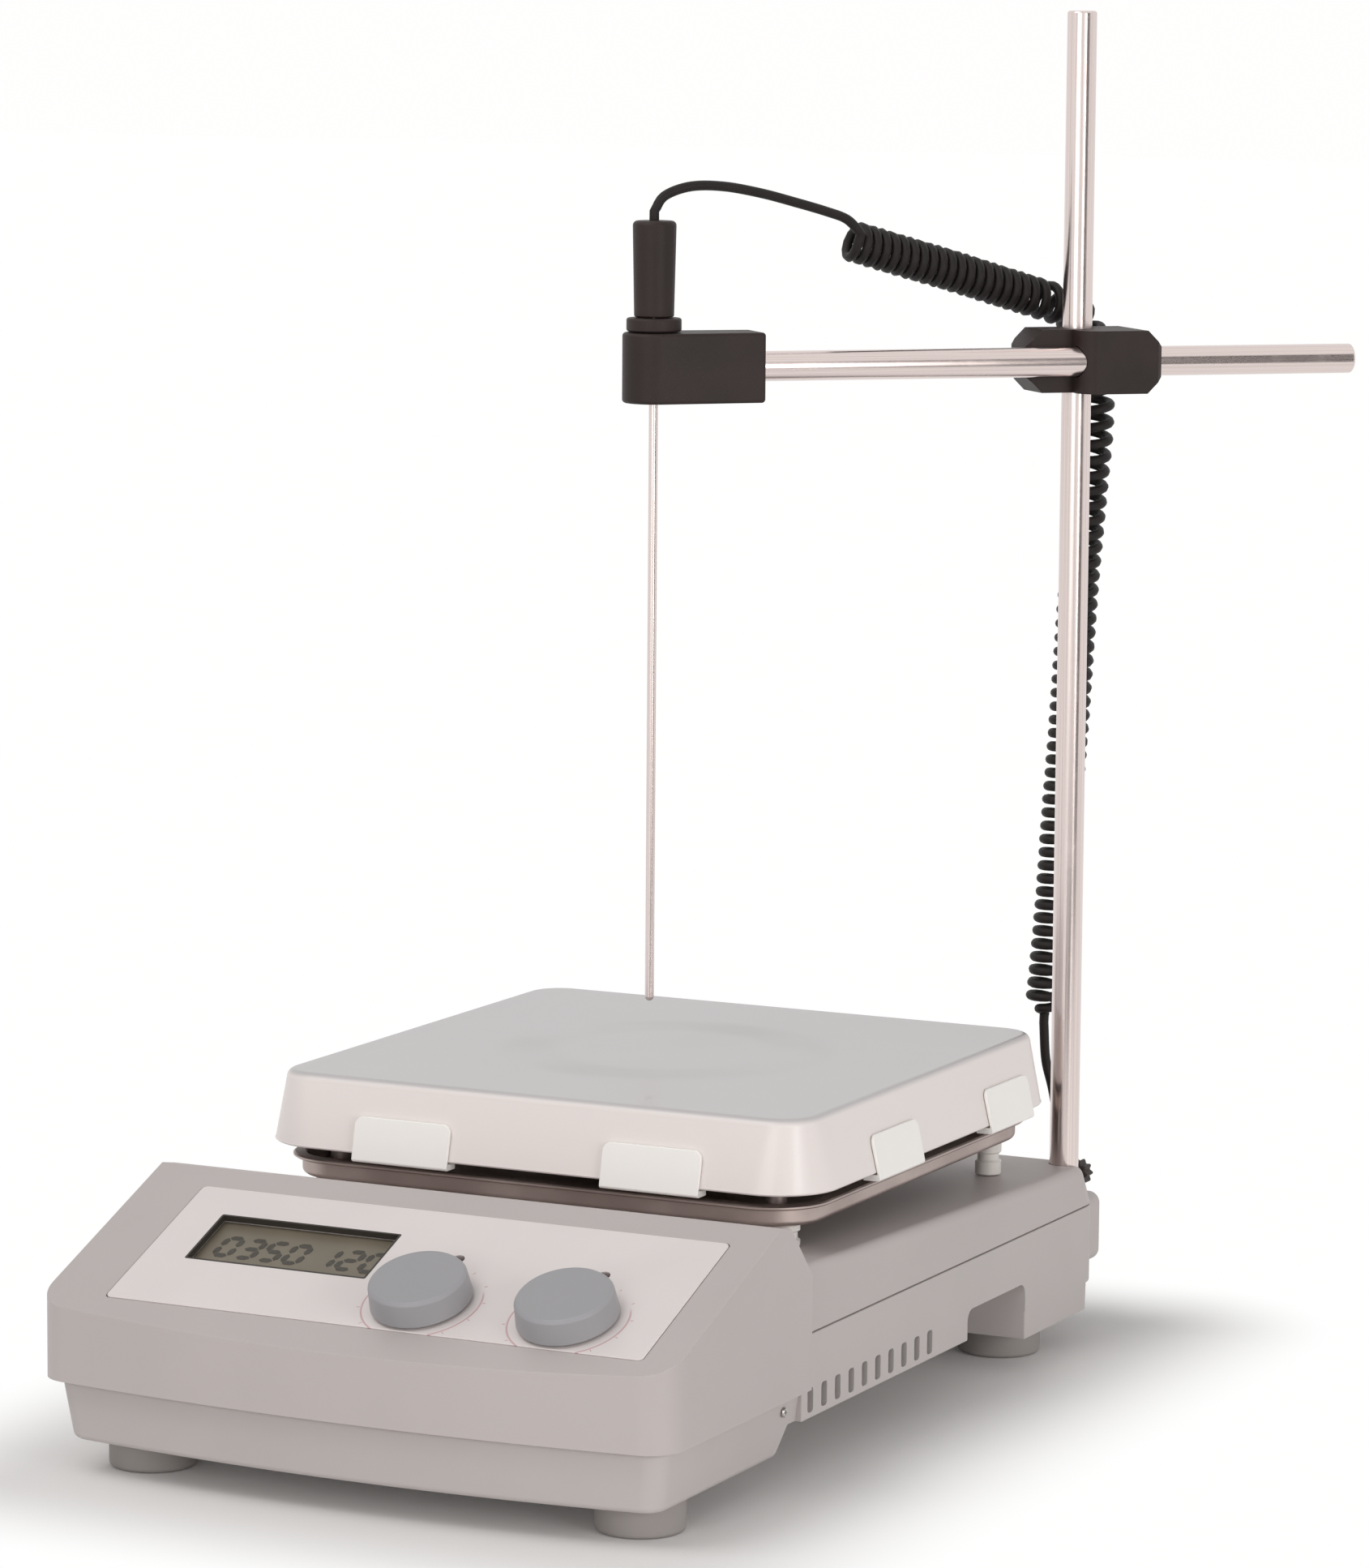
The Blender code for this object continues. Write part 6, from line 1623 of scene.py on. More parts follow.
def make_upper_shell():
    """Upper housing: the nose with its sloping control face, and the deck behind it, as one shell."""
    segments = settings().housing.edge_segments
    piece = nose_block(0, NOSE_SPLIT_Z, NOSE_EDGE_RADIUS, segments)
    piece.name = "upper_shell"
    overlap = NOSE_REAR_Y - NOSE_OVERLAP
    boolean(piece, deck_block(0, BODY_SPLIT_Z, overlap, segments), "UNION")
    boolean(piece, nose_block(HOUSING_WALL, NOSE_SPLIT_Z + HOUSING_WALL, NOSE_EDGE_RADIUS - HOUSING_WALL, 4))
    mouth_inset = (NOSE_WIDTH - TRAY_NOSE_WIDTH) / 2 + 2 * HOUSING_WALL
    mouth = bowed_outline(
        NOSE_WIDTH / 2 - mouth_inset,
        FRONT_Y + mouth_inset,
        NOSE_REAR_Y - HOUSING_WALL,
        FRONT_CORNER_RADIUS - HOUSING_WALL,
        FRONT_BOW,
    )
    mouth_top = NOSE_SPLIT_Z + HOUSING_WALL + CUT_OVERRUN
    boolean(piece, new_piece("mouth", prism(mouth, NOSE_SPLIT_Z - CUT_OVERRUN, mouth_top)))
    inside = deck_block(HOUSING_WALL, NOSE_SPLIT_Z - CUT_OVERRUN, overlap, 2)
    low = NOSE_SPLIT_Z - 2 * CUT_OVERRUN
    boss = moved(cylinder(ROD_BOSS_RADIUS, low, CREST_Z, ROUND_SIDES), (ROD_X, ROD_Y, 0))
    boolean(inside, new_piece("boss", boss))
    boolean(piece, inside)

    pocket = rounded_rectangle(PANEL_WIDTH + 2 * FIT_GAP, PANEL_HEIGHT + 2 * FIT_GAP, PANEL_CORNER_RADIUS)
    pocket_place = (PANEL_MIDDLE_X, -PANEL_FROM_CREST - PANEL_HEIGHT / 2, 0)
    pocket_shape = moved(prism(pocket, -PANEL_POCKET, CUT_OVERRUN), pocket_place)
    boolean(piece, new_piece("pocket", pocket_shape, PANEL_PLANE))
    boolean(piece, new_piece("holes", panel_cutters(HOUSING_WALL + CUT_OVERRUN), PANEL_PLANE))

    low, high = BODY_SPLIT_Z - CUT_OVERRUN, CREST_Z
    drive_hole = cylinder(DECK_HOLE_RADIUS, low, high, KNOB_SIDES)
    rod_hole = moved(cylinder(ROD_RADIUS + RUNNING_CLEARANCE, low, high, ROD_SIDES), (ROD_X, ROD_Y, 0))
    boolean(piece, new_piece("deck_holes", join_shapes(drive_hole, rod_hole)))
    lock_hole = cylinder(LOCK_SCREW_RADIUS + RUNNING_CLEARANCE, 0, BODY_REAR_Y - ROD_Y + CUT_OVERRUN, SMALL_SIDES)
    moved(lock_hole, (ROD_X, ROD_Y, LOCK_SCREW_Z), TOWARDS_REAR)
    boolean(piece, new_piece("lock_hole", lock_hole))
    return hand_over(piece, "housing", "base", ["upper_housing"])


def make_lower_shell():
    """Lower housing: a deep nose, a raised body with vents and hand grips, and two rear legs."""
    segments = settings().housing.edge_segments
    wall = HOUSING_WALL
    nose_half = TRAY_NOSE_WIDTH / 2
    nose_front = FRONT_Y + TRAY_FRONT_INSET
    nose_top = NOSE_SPLIT_Z - FIT_GAP
    body_top = BODY_SPLIT_Z - FIT_GAP
    body_front = NOSE_REAR_Y + FIT_GAP
    corner = FRONT_CORNER_RADIUS - TRAY_FRONT_INSET
    wide = BODY_WIDTH / 2 + CUT_OVERRUN
    below = TRAY_BOTTOM_Z - CUT_OVERRUN

    def nose_plan(inset, rear):
        return bowed_outline(nose_half - inset, nose_front + inset, rear, corner, FRONT_BOW)

    nose_rear = body_front + 2 * wall
    nose_foot = at_height(nose_plan(TRAY_NOSE_DRAFT, nose_rear), TRAY_BOTTOM_Z)
    nose = loft([nose_foot, at_height(nose_plan(0, nose_rear), nose_top)])
    piece = round_sharp(new_piece("lower_shell", nose), wall * 0.8, segments, 50)
    step_rear = nose_rear + CUT_OVERRUN
    step_top = TRAY_WALL_BOTTOM_Z + FIT_GAP
    step_side = [
        (TRAY_STEP_Y - TRAY_STEP_RUN / 2, below),
        (step_rear, below),
        (step_rear, step_top),
        (TRAY_STEP_Y + TRAY_STEP_RUN, step_top),
    ]
    boolean(piece, new_piece("step", across_x(step_side, (-wide, wide))))

    body_plan = body_outline(BODY_WIDTH / 2, body_front, BODY_REAR_Y, BODY_CORNER_RADIUS)
    body = new_piece("body", prism(body_plan, TRAY_BOTTOM_Z, body_top))
    leg_front = GRIP_START_Y + GRIP_LENGTH
    leg_rear = BODY_REAR_Y - BODY_CORNER_RADIUS
    leg_inner = BODY_WIDTH / 2 - LEG_WIDTH
    right_half = [(wide, body_front - CUT_OVERRUN), (wide, leg_front), (leg_inner, leg_front), (leg_inner, leg_rear)]
    right_half += [(wide, leg_rear), (wide, BODY_REAR_Y + CUT_OVERRUN)]
    under = right_half + [(-x, y) for x, y in reversed(right_half)]
    boolean(body, new_piece("under", prism(under, below, TRAY_WALL_BOTTOM_Z)))
    round_sharp(body, RIM_EDGE, 2, 50)
    boolean(piece, body, "UNION")

    room_front, room_rear = nose_front + wall, TRAY_STEP_Y - wall
    room_floor, room_mouth = (
        at_height(bowed_outline(half - wall, room_front, room_rear, corner, FRONT_BOW), z)
        for half, z in ((nose_half - TRAY_NOSE_DRAFT, TRAY_BOTTOM_Z + wall), (nose_half, NOSE_SPLIT_Z + CUT_OVERRUN))
    )
    boolean(piece, new_piece("nose_room", loft([room_floor, room_mouth])))
    inner_half = BODY_WIDTH / 2 - wall
    neck_half = nose_half - 2 * wall
    grip_half = BODY_WIDTH / 2 - GRIP_DEPTH - wall
    inner_corner = BODY_CORNER_RADIUS - wall
    rear = BODY_REAR_Y - wall
    right_side = [
        (neck_half, TRAY_STEP_Y - 2 * wall),
        (neck_half, body_front + wall),
        (inner_half, body_front + wall),
        (inner_half, GRIP_START_Y - wall),
        (grip_half, GRIP_START_Y - wall),
        (grip_half, leg_front + wall),
        (inner_half, leg_front + wall),
    ]
    right_side += arc(inner_half - inner_corner, rear - inner_corner, inner_corner, 0, 90, CORNER_STEPS)
    room_plan = right_side + [(-x, y) for x, y in reversed(right_side)]
    room = prism(room_plan, TRAY_WALL_BOTTOM_Z + wall, body_top + CUT_OVERRUN)
    boolean(piece, new_piece("room", room))
    over_grips = box(
        (-inner_half, inner_half),
        (GRIP_START_Y - 2 * wall, leg_front + 2 * wall),
        (GRIP_TOP_Z + wall, body_top + 2 * CUT_OVERRUN),
    )
    boolean(piece, new_piece("over_grips", over_grips))
    seat_radius = ROD_SOCKET_RADIUS + FIT_GAP
    low, high = TRAY_WALL_BOTTOM_Z + wall, body_top + 3 * CUT_OVERRUN
    seat = moved(cylinder(seat_radius, low, high, ROD_SIDES), (ROD_X, ROD_Y, 0))
    boolean(piece, new_piece("seat", seat))

    for side in (-1, 1):
        inner, outer = side * (BODY_WIDTH / 2 - GRIP_DEPTH), side * (wide + CUT_OVERRUN)
        height = GRIP_TOP_Z - below
        opening = rounded_rectangle(GRIP_LENGTH, 2 * height, GRIP_CORNER, 6, (GRIP_START_Y + GRIP_LENGTH / 2, below))
        boolean(piece, new_piece("grip", across_x(opening, (inner, outer))))
    height = VENT_TOP_Z - VENT_BOTTOM_Z
    slot = rounded_rectangle(VENT_WIDTH, height, VENT_WIDTH * 0.3, 4, (0, (VENT_BOTTOM_Z + VENT_TOP_Z) / 2))
    vents = new_piece("vents", across_x(slot, (-wide, wide)))
    repeat(vents, grid_tree, "tray", columns=1, rows=VENT_COUNT, column_spacing=0.0, row_spacing=VENT_PITCH)
    middle = VENT_START_Y + VENT_WIDTH / 2 + (VENT_COUNT - 1) * VENT_PITCH / 2
    vents.data.transform(Matrix.Translation((0, middle, 0)))
    boolean(piece, vents)

    window_half = REAR_PANEL_WIDTH / 2 - REAR_WINDOW_INSET
    window = box(
        (-window_half, window_half),
        (BODY_REAR_Y - wall - CUT_OVERRUN, BODY_REAR_Y + CUT_OVERRUN),
        (REAR_PANEL_BOTTOM_Z + wall, REAR_PANEL_TOP_Z - wall),
    )
    boolean(piece, new_piece("window", window))
    return hand_over(piece, "tray", "base", ["lower_housing"])


def make_side_screws():
    """A small recessed screw on each side of the nose, just ahead of its rear step."""
    radius = SIDE_SCREW_RADIUS
    top, floor = SIDE_SCREW_HEAD, SIDE_SCREW_SINK
    piece = new_piece(
        "nose_screws", turned([(0, 0), (radius, 0), (radius, floor), (radius * 0.8, top), (0, top)], SMALL_SIDES)
    )
    for turn in (0, math.pi / 2):
        bar = box((-radius * 0.55, radius * 0.55), (-radius * 0.12, radius * 0.12), (floor, top + CUT_OVERRUN))
        boolean(piece, new_piece("screw_slot", moved(bar, turn=Matrix.Rotation(turn, 4, "Z"))))
    half = TRAY_NOSE_WIDTH / 2 - SIDE_SCREW_SINK
    piece.data.transform(Matrix.Translation((half, SIDE_SCREW_Y, SIDE_SCREW_Z)) @ ALONG_X)
    mirrored = piece.data.copy()
    mirrored.transform(Matrix.Diagonal((-1, 1, 1, 1)))
    mirrored.flip_normals()
    both = bmesh.new()
    both.from_mesh(piece.data)
    both.from_mesh(mirrored)
    bmesh.ops.recalc_face_normals(both, faces=both.faces)
    both.to_mesh(piece.data)
    both.free()
    return hand_over(piece, "fine_steel", "base")


def make_feet():
    """Four soft feet under the corners, from one foot repeated."""
    edge = FOOT_TAPER * 1.4
    top = TRAY_BOTTOM_Z - FIT_GAP
    profile = [(0, 0.0006), (FOOT_RADIUS * 0.45, 0.0006), (FOOT_RADIUS * 0.5, 0), (FOOT_RADIUS - edge, 0)]
    profile += [*lower_edge(FOOT_RADIUS, 0, edge, 6), (FOOT_RADIUS, top), (0, top)]
    piece = new_piece("soft_feet", turned(profile, KNOB_SIDES))
    across, along = NOSE_WIDTH - 2 * FOOT_INSET_X, REAR_FOOT_Y - FRONT_FOOT_Y
    repeat(piece, grid_tree, "foot", columns=2, rows=2, column_spacing=across, row_spacing=along)
    piece.data.transform(Matrix.Translation((0, (FRONT_FOOT_Y + REAR_FOOT_Y) / 2, 0)))
    nodes = ["foot_front_left", "foot_front_right", "foot_rear_left", "foot_rear_right"]
    return hand_over(piece, "foot", "base", nodes)


# Controls


def make_control_panel():
    """The pale front panel, let into the slope, with its openings and softened edge."""
    bottom = FIT_GAP - PANEL_POCKET
    place = (PANEL_MIDDLE_X, -PANEL_FROM_CREST - PANEL_HEIGHT / 2, 0)

    def outline(inset):
        return rounded_rectangle(PANEL_WIDTH - 2 * inset, PANEL_HEIGHT - 2 * inset, PANEL_CORNER_RADIUS - inset)

    shape = moved(soft_prism(outline, bottom, PANEL_TOP, PANEL_EDGE, 3), place)
    piece = new_piece("control_panel", shape, PANEL_PLANE)
    boolean(piece, new_piece("openings", panel_cutters(HOUSING_WALL), PANEL_PLANE))
    return hand_over(piece, "panel", "base", ["front_panel"])


def make_dial_marks():
    """Fine printed ticks outside each dial's ring."""
    tick = box((-TICK_WIDTH / 2, TICK_WIDTH / 2), (TICK_START, TICK_END), (0, INK_THICKNESS))
    piece = new_piece("dial_marks", tick)
    first = -(TICK_COUNT - 1) * TICK_STEP / 2
    repeat(piece, ring_tree, "ink", copies=TICK_COUNT, step_angle=TICK_STEP, first_angle=first)
    repeat(piece, grid_tree, "ink", columns=2, rows=1, column_spacing=KNOB_SPACING, row_spacing=0.0)
    place = Matrix.Translation((KNOB_MIDDLE_X, -KNOB_FROM_CREST, PANEL_TOP))
    piece.data.transform(PANEL_PLANE @ place)
    return hand_over(piece, "ink", "base", even=False)


# The bars lit in each figure: a at the top, then clockwise to f, with g across the middle
SEGMENTS = {
    "0": "abcdef",
    "1": "bc",
    "2": "abged",
    "3": "abgcd",
    "4": "fgbc",
    "5": "afgcd",
    "6": "afgedc",
    "7": "abc",
    "8": "abcdefg",
    "9": "abcdfg",
}


def digit_bars(figure, height, lean):
    """The lit bars of one seven-bar figure, as outlines."""
    width, side = height * 0.54, height * 0.11
    half = height / 2
    gap = side * 0.24
    ends = side + gap
    bars = {
        "a": (0, height, width, height),
        "b": (width, half, width, height),
        "c": (width, 0, width, half),
        "d": (0, 0, width, 0),
        "e": (0, 0, 0, half),
        "f": (0, half, 0, height),
        "g": (0, half, width, half),
    }
    outlines = []
    for name in SEGMENTS[figure]:
        x0, y0, x1, y1 = bars[name]
        if y0 == y1:
            points = [(x0 + ends, y0 - side), (x1 - ends, y0 - side), (x1 - gap, y0)]
            points += [(x1 - ends, y0 + side), (x0 + ends, y0 + side), (x0 + gap, y0)]
        else:
            points = [(x0, y0 + gap), (x0 + side, y0 + ends), (x0 + side, y1 - ends)]
            points += [(x0, y1 - gap), (x0 - side, y1 - ends), (x0 - side, y0 + ends)]
        outlines.append([(x + y * lean, y) for x, y in points])
    return outlines


def make_display():
    """The display: an opening lined in dark that is partly painted shade, a clear pane at its foot and a row of plain
    figures behind it.
    """
    gap = FIT_GAP
    middle = (LCD_MIDDLE_X, -LCD_FROM_CREST, 0)
    outer, inner = (
        rounded_rectangle(LCD_WIDTH + 2 * gap - less, LCD_HEIGHT + 2 * gap - less, corner, 3)
        for less, corner in ((SURROUND_PLAY, gap * 2), (2 * SURROUND_WALL, gap))
    )
    low, high = LCD_WINDOW_THICKNESS - HOUSING_WALL + SURROUND_PROUD, PANEL_TOP + SURROUND_PROUD
    rings = [at_height(outer, low), at_height(outer, high), at_height(inner, high), at_height(inner, low)]
    surround = new_piece("display_surround", moved(loft(rings, closed=True), middle), PANEL_PLANE)
    # The lining's dark colour stands partly for the shade inside the opening
    hand_over(surround, "surround", "base")

    def outline(inset):
        return rounded_rectangle(LCD_WIDTH - 2 * inset, LCD_HEIGHT - 2 * inset, gap * 2, 3)

    pane_shape = soft_prism(outline, PANE_EDGE - HOUSING_WALL, LCD_WINDOW_THICKNESS - HOUSING_WALL, PANE_EDGE, 2)
    pane = new_piece("display_pane", moved(pane_shape, middle), PANEL_PLANE)
    hand_over(pane, "lens", "base", ["lcd_window"])

    controls = settings().controls
    bars = []
    readings = (f"{controls.left_reading:04d}", f"{controls.right_reading:03d}")
    for reading, start in zip(readings, (DIGIT_LEFT, DIGIT_RIGHT)):
        for index, figure in enumerate(reading):
            for points in digit_bars(figure, DIGIT_HEIGHT, DIGIT_LEAN):
                place = (start + index * DIGIT_PITCH, -DIGIT_HEIGHT / 2, -HOUSING_WALL - gap)
                bars.append(moved(prism(points, 0, DIGIT_THICKNESS), place))
    digits = new_piece("display_figures", moved(join_shapes(*bars), middle), PANEL_PLANE)
    hand_over(digits, "digit", "base", even=False)


def make_dials():
    """Both dials: a dished cap, a chamfered rim and a straight skirt, each on its own body."""
    bottom = PANEL_TOP + KNOB_PRESS + FIT_GAP
    top = bottom + KNOB_HEIGHT
    roof = top - KNOB_ROOF
    bore = SHAFT_RADIUS + FIT_GAP
    rim = KNOB_CHAMFER
    inside, hollow = bottom + KNOB_HOLLOW, KNOB_RADIUS * 0.8
    profile = [(0, roof), (bore, roof), (bore, inside), (hollow, inside), (hollow, bottom)]
    profile += lower_edge(KNOB_RADIUS, bottom, KNOB_EDGE, 4)
    skirt_top = top - rim
    profile += [
        (KNOB_TOP_RADIUS + 0.00012, skirt_top - 0.0003),
        (KNOB_TOP_RADIUS, skirt_top),
        (KNOB_TOP_RADIUS - rim * 0.25, skirt_top + rim * 0.35),
        (KNOB_TOP_RADIUS - rim * 0.85, top - rim * 0.08),
        (KNOB_TOP_RADIUS - rim * 1.1, top),
        (KNOB_TOP_RADIUS - rim * 1.3, top - 0.00002),
        (KNOB_TOP_RADIUS - rim * 1.5, top - 0.00012),
        (KNOB_TOP_RADIUS * 0.6, top - KNOB_DISH * 0.75),
        (KNOB_TOP_RADIUS * 0.3, top - KNOB_DISH),
        (0, top - KNOB_DISH),
    ]
    for name, x in (("speed", SPEED_X), ("heat", HEAT_X)):
        shape = moved(turned(profile, KNOB_SIDES), (x, -KNOB_FROM_CREST, 0))
        piece = new_piece(f"{name}_dial_cap", shape, PANEL_PLANE)
        hand_over(piece, "knob", f"{name}_dial", [f"{name}_knob"], sharp=24)


def make_lamps():
    """The small lamp above each dial, one lamp repeated."""
    shoulder = LAMP_LENGTH - LAMP_PROUD
    profile = [(0, 0), (LAMP_RADIUS, 0), (LAMP_RADIUS, shoulder)]
    profile += [(LAMP_RADIUS * math.cos(a), shoulder + LAMP_PROUD * math.sin(a)) for a in quarter(8)[1:-1]]
    profile.append((0, LAMP_LENGTH))
    piece = new_piece("panel_lamps", turned(profile, SMALL_SIDES))
    repeat(piece, grid_tree, "lamp", columns=2, rows=1, column_spacing=KNOB_SPACING, row_spacing=0.0)
    place = Matrix.Translation((KNOB_MIDDLE_X, -LAMP_FROM_CREST, PANEL_TOP + LAMP_PROUD - LAMP_LENGTH))
    piece.data.transform(PANEL_PLANE @ place)
    hand_over(piece, "lamp", "base", ["speed_lamp", "heat_lamp"])


# Heating plate


def square_ring(half, corner, z):
    """A rounded square ring at one height."""
    return at_height(rounded_rectangle(2 * half, 2 * half, corner, PLATE_CORNER_STEPS), z)


def make_heating_plate():
    """The skirted heating plate, hollow underneath, with a soft upper edge and a rolled lower one."""
    corner, edge, wall = PLATE_CORNER_RADIUS, PLATE_EDGE_RADIUS, PLATE_SKIRT_WALL
    steps = settings().plate.edge_steps
    roll = wall / 2
    shoulder = PLATE_TOP_Z - edge
    rings = [
        square_ring(skirt_half(PLATE_CEILING) - wall, skirt_corner(PLATE_CEILING) - wall, PLATE_CEILING),
        square_ring(skirt_half(PLATE_SKIRT_Z + roll) - wall, corner - wall, PLATE_SKIRT_Z + roll),
    ]
    for step in range(1, 8):
        angle = math.pi * step / 8
        inset = roll + roll * math.cos(angle)
        height = PLATE_SKIRT_Z + roll - roll * math.sin(angle)
        rings.append(square_ring(skirt_half(PLATE_SKIRT_Z) - inset, corner - inset, height))
    rings.append(square_ring(skirt_half(PLATE_SKIRT_Z + roll), corner, PLATE_SKIRT_Z + roll))
    for angle in quarter(steps):
        inset = edge * (1 - math.cos(angle))
        height = shoulder + edge * math.sin(angle)
        rings.append(square_ring(skirt_half(shoulder) - inset, skirt_corner(shoulder) - inset, height))
    piece = new_piece("heating_plate", loft(rings))
    return hand_over(piece, "plate", "base", ["top_plate"], sharp=50)


def make_clips():
    """Eight white clips, two on each side: one clip repeated in a pair, and the pair round the plate."""
    out_low, out_high = skirt_half(PLATE_SKIRT_Z), skirt_half(CLIP_TOP_Z)
    face = FIT_GAP
    below = PLATE_SKIRT_Z - FIT_GAP
    thick = CLIP_THICKNESS
    bend = thick * 0.9
    outer_low = out_low + face + thick
    outside = [(out_high + face, CLIP_TOP_Z), (out_high + face + thick, CLIP_TOP_Z), (outer_low, CLIP_BOTTOM_Z + bend)]
    outside += arc(outer_low - bend, CLIP_BOTTOM_Z + bend, bend, 0, -90, 5)[1:]
    hook = [(out_low + face - CLIP_HOOK, CLIP_BOTTOM_Z), (out_low + face - CLIP_HOOK, below), (out_low + face, below)]
    shape = across_y(outside + hook, (-CLIP_WIDTH / 2, CLIP_WIDTH / 2))
    upper = [
        side
        for side in shape.edges
        if all(vert.co.z > CLIP_TOP_Z - FIT_GAP for vert in side.verts)
        and abs(side.verts[0].co.y - side.verts[1].co.y) < FIT_GAP
    ]
    bmesh.ops.bevel(shape, geom=upper, offset=CLIP_CORNER, segments=10, profile=0.5, affect="EDGES")
    piece = new_piece("plate_clips", shape)
    round_sharp(piece, CLIP_EDGE, 3, 50)
    repeat(piece, grid_tree, "clip", columns=1, rows=2, column_spacing=0.0, row_spacing=2 * CLIP_OFFSET)
    repeat(piece, ring_tree, "clip", copies=4, step_angle=math.pi / 2, first_angle=0.0)
    for corner in piece.data.vertices:
        if abs(corner.co.x) > skirt_half(PLATE_TOP_Z) - CLIP_HOOK and abs(corner.co.y) < abs(corner.co.x):
            corner.co.y += SIDE_CLIP_SHIFT
    nodes = [f"plate_clip_{side}_{number}" for side in ("front", "right", "rear", "left") for number in (1, 2)]
    return hand_over(piece, "clip", "base", nodes, sharp=40)


def make_heat_shield():
    """The steel heat shield: a shallow flanged pan with an opening for the drive, and four posts."""
    half, outer = PAN_SIZE / 2, PAN_SIZE / 2 + PAN_FLANGE
    sheet, lip, bend = PAN_SHEET, PAN_SHEET * 0.3, PAN_BEND
    corner, outer_corner = PAN_CORNER_RADIUS, PAN_CORNER_RADIUS + PAN_FLANGE
    inner, inner_corner = half - sheet, PAN_CORNER_RADIUS - sheet
    rings = [square_ring(inner - bend, inner_corner - bend * 0.6, PAN_BOTTOM_Z + sheet)]
    for angle in quarter(5)[1:]:
        height = PAN_BOTTOM_Z + sheet + bend * (1 - math.cos(angle))
        rings.append(square_ring(inner - bend * (1 - math.sin(angle)), inner_corner, height))
    rings += [
        square_ring(inner, inner_corner, PAN_RIM_Z - lip),
        square_ring(inner + lip, inner_corner, PAN_RIM_Z),
        square_ring(outer - lip, outer_corner, PAN_RIM_Z),
        square_ring(outer, outer_corner, PAN_RIM_Z - lip),
        square_ring(outer, outer_corner, PAN_RIM_Z - sheet + lip),
        square_ring(outer - lip, outer_corner, PAN_RIM_Z - sheet),
        square_ring(half, corner, PAN_RIM_Z - sheet),
    ]
    for angle in quarter(5):
        height = PAN_BOTTOM_Z + bend * (1 - math.sin(angle))
        rings.append(square_ring(half - bend * (1 - math.cos(angle)), corner, height))
    piece = new_piece("heat_shield", loft(rings))
    hole = cylinder(PAN_HOLE_RADIUS, PAN_BOTTOM_Z - CUT_OVERRUN, PAN_BOTTOM_Z + CUT_OVERRUN, KNOB_SIDES)
    boolean(piece, new_piece("pan_hole", hole))
    post = cylinder(POST_RADIUS, PAN_BOTTOM_Z + sheet / 2, PLATE_CEILING - FIT_GAP, SMALL_SIDES)
    posts = new_piece("posts", post)
    repeat(posts, grid_tree, "pan", columns=2, rows=2, column_spacing=2 * POST_OFFSET, row_spacing=2 * POST_OFFSET)
    boolean(piece, posts, "UNION")
    hand_over(piece, "pan", "base", ["heat_shield_pan"])
    left = -outer - BRACKET_EDGE
    bracket = across_y([(left + x, PAN_RIM_Z + z) for x, z in BRACKET_SIDE], BRACKET_REACH)
    piece = round_sharp(new_piece("shield_bracket", bracket), BRACKET_EDGE, 3, 40)
    hand_over(piece, "bracket", "base")


def make_pillars():
    """Four white pillars between the deck and the shield, the rear pair longer as the deck falls."""
    pillars = []
    for x_side in (-1, 1):
        for y_side in (-1, 1):
            x, y = x_side * PILLAR_OFFSET_X, y_side * PILLAR_OFFSET_Y
            foot = deck_height(y - PILLAR_RADIUS) + FIT_GAP
            top = PAN_BOTTOM_Z - FIT_GAP
            profile = bar_profile(PILLAR_RADIUS, foot, top, PILLAR_EDGE, 3)
            middle = (foot + top) / 2
            half = len(profile) // 2
            profile[half:half] = [
                (PILLAR_RADIUS, middle - PILLAR_GROOVE / 2),
                (PILLAR_WAIST, middle - PILLAR_GROOVE_FLOOR / 2),
                (PILLAR_WAIST, middle + PILLAR_GROOVE_FLOOR / 2),
                (PILLAR_RADIUS, middle + PILLAR_GROOVE / 2),
            ]
            pillars.append(moved(turned(profile, 40), (x, y, 0)))
    piece = new_piece("shield_pillars", join_shapes(*pillars))
    nodes = ["pillar_front_left", "pillar_front_right", "pillar_rear_left", "pillar_rear_right"]
    return hand_over(piece, "pillar", "base", nodes)


# Rear connections


def make_rear_plate():
    """The raised rear panel with its three openings."""
    gap = FIT_GAP
    front = BODY_REAR_Y + gap

    def outline(inset):
        width, height = REAR_PANEL_WIDTH - 2 * inset, REAR_PANEL_TOP_Z - REAR_PANEL_BOTTOM_Z - 2 * inset
        return rounded_rectangle(width, height, REAR_PANEL_CORNER - inset, 8)

    stand_up = Matrix.Rotation(math.pi / 2, 4, "X")
    shape = soft_prism(outline, -REAR_PANEL_THICKNESS, 0, REAR_PANEL_EDGE)
    piece = new_piece("rear_plate", moved(shape, (0, front, REAR_MIDDLE_Z), stand_up))
    near, far = front - CUT_OVERRUN, REAR_FACE + CUT_OVERRUN
    cuts = []
    for x, width, height, rise in (
        (INLET_X, INLET_WIDTH, INLET_HEIGHT, gap),
        (ROCKER_X, ROCKER_WIDTH, ROCKER_HEIGHT, ROCKER_HOLE_GAP),
    ):
        half, lift = width / 2 + gap, height / 2 + rise
        cuts.append(box((x - half, x + half), (near, far), (REAR_MIDDLE_Z - lift, REAR_MIDDLE_Z + lift)))
    socket = cylinder(SOCKET_RADIUS + gap, 0, far - near, ROD_SIDES)
    cuts.append(moved(socket, (SOCKET_X, near, REAR_MIDDLE_Z), TOWARDS_REAR))
    boolean(piece, new_piece("rear_cuts", join_shapes(*cuts)))
    return hand_over(piece, "housing", "base", ["rear_panel"])


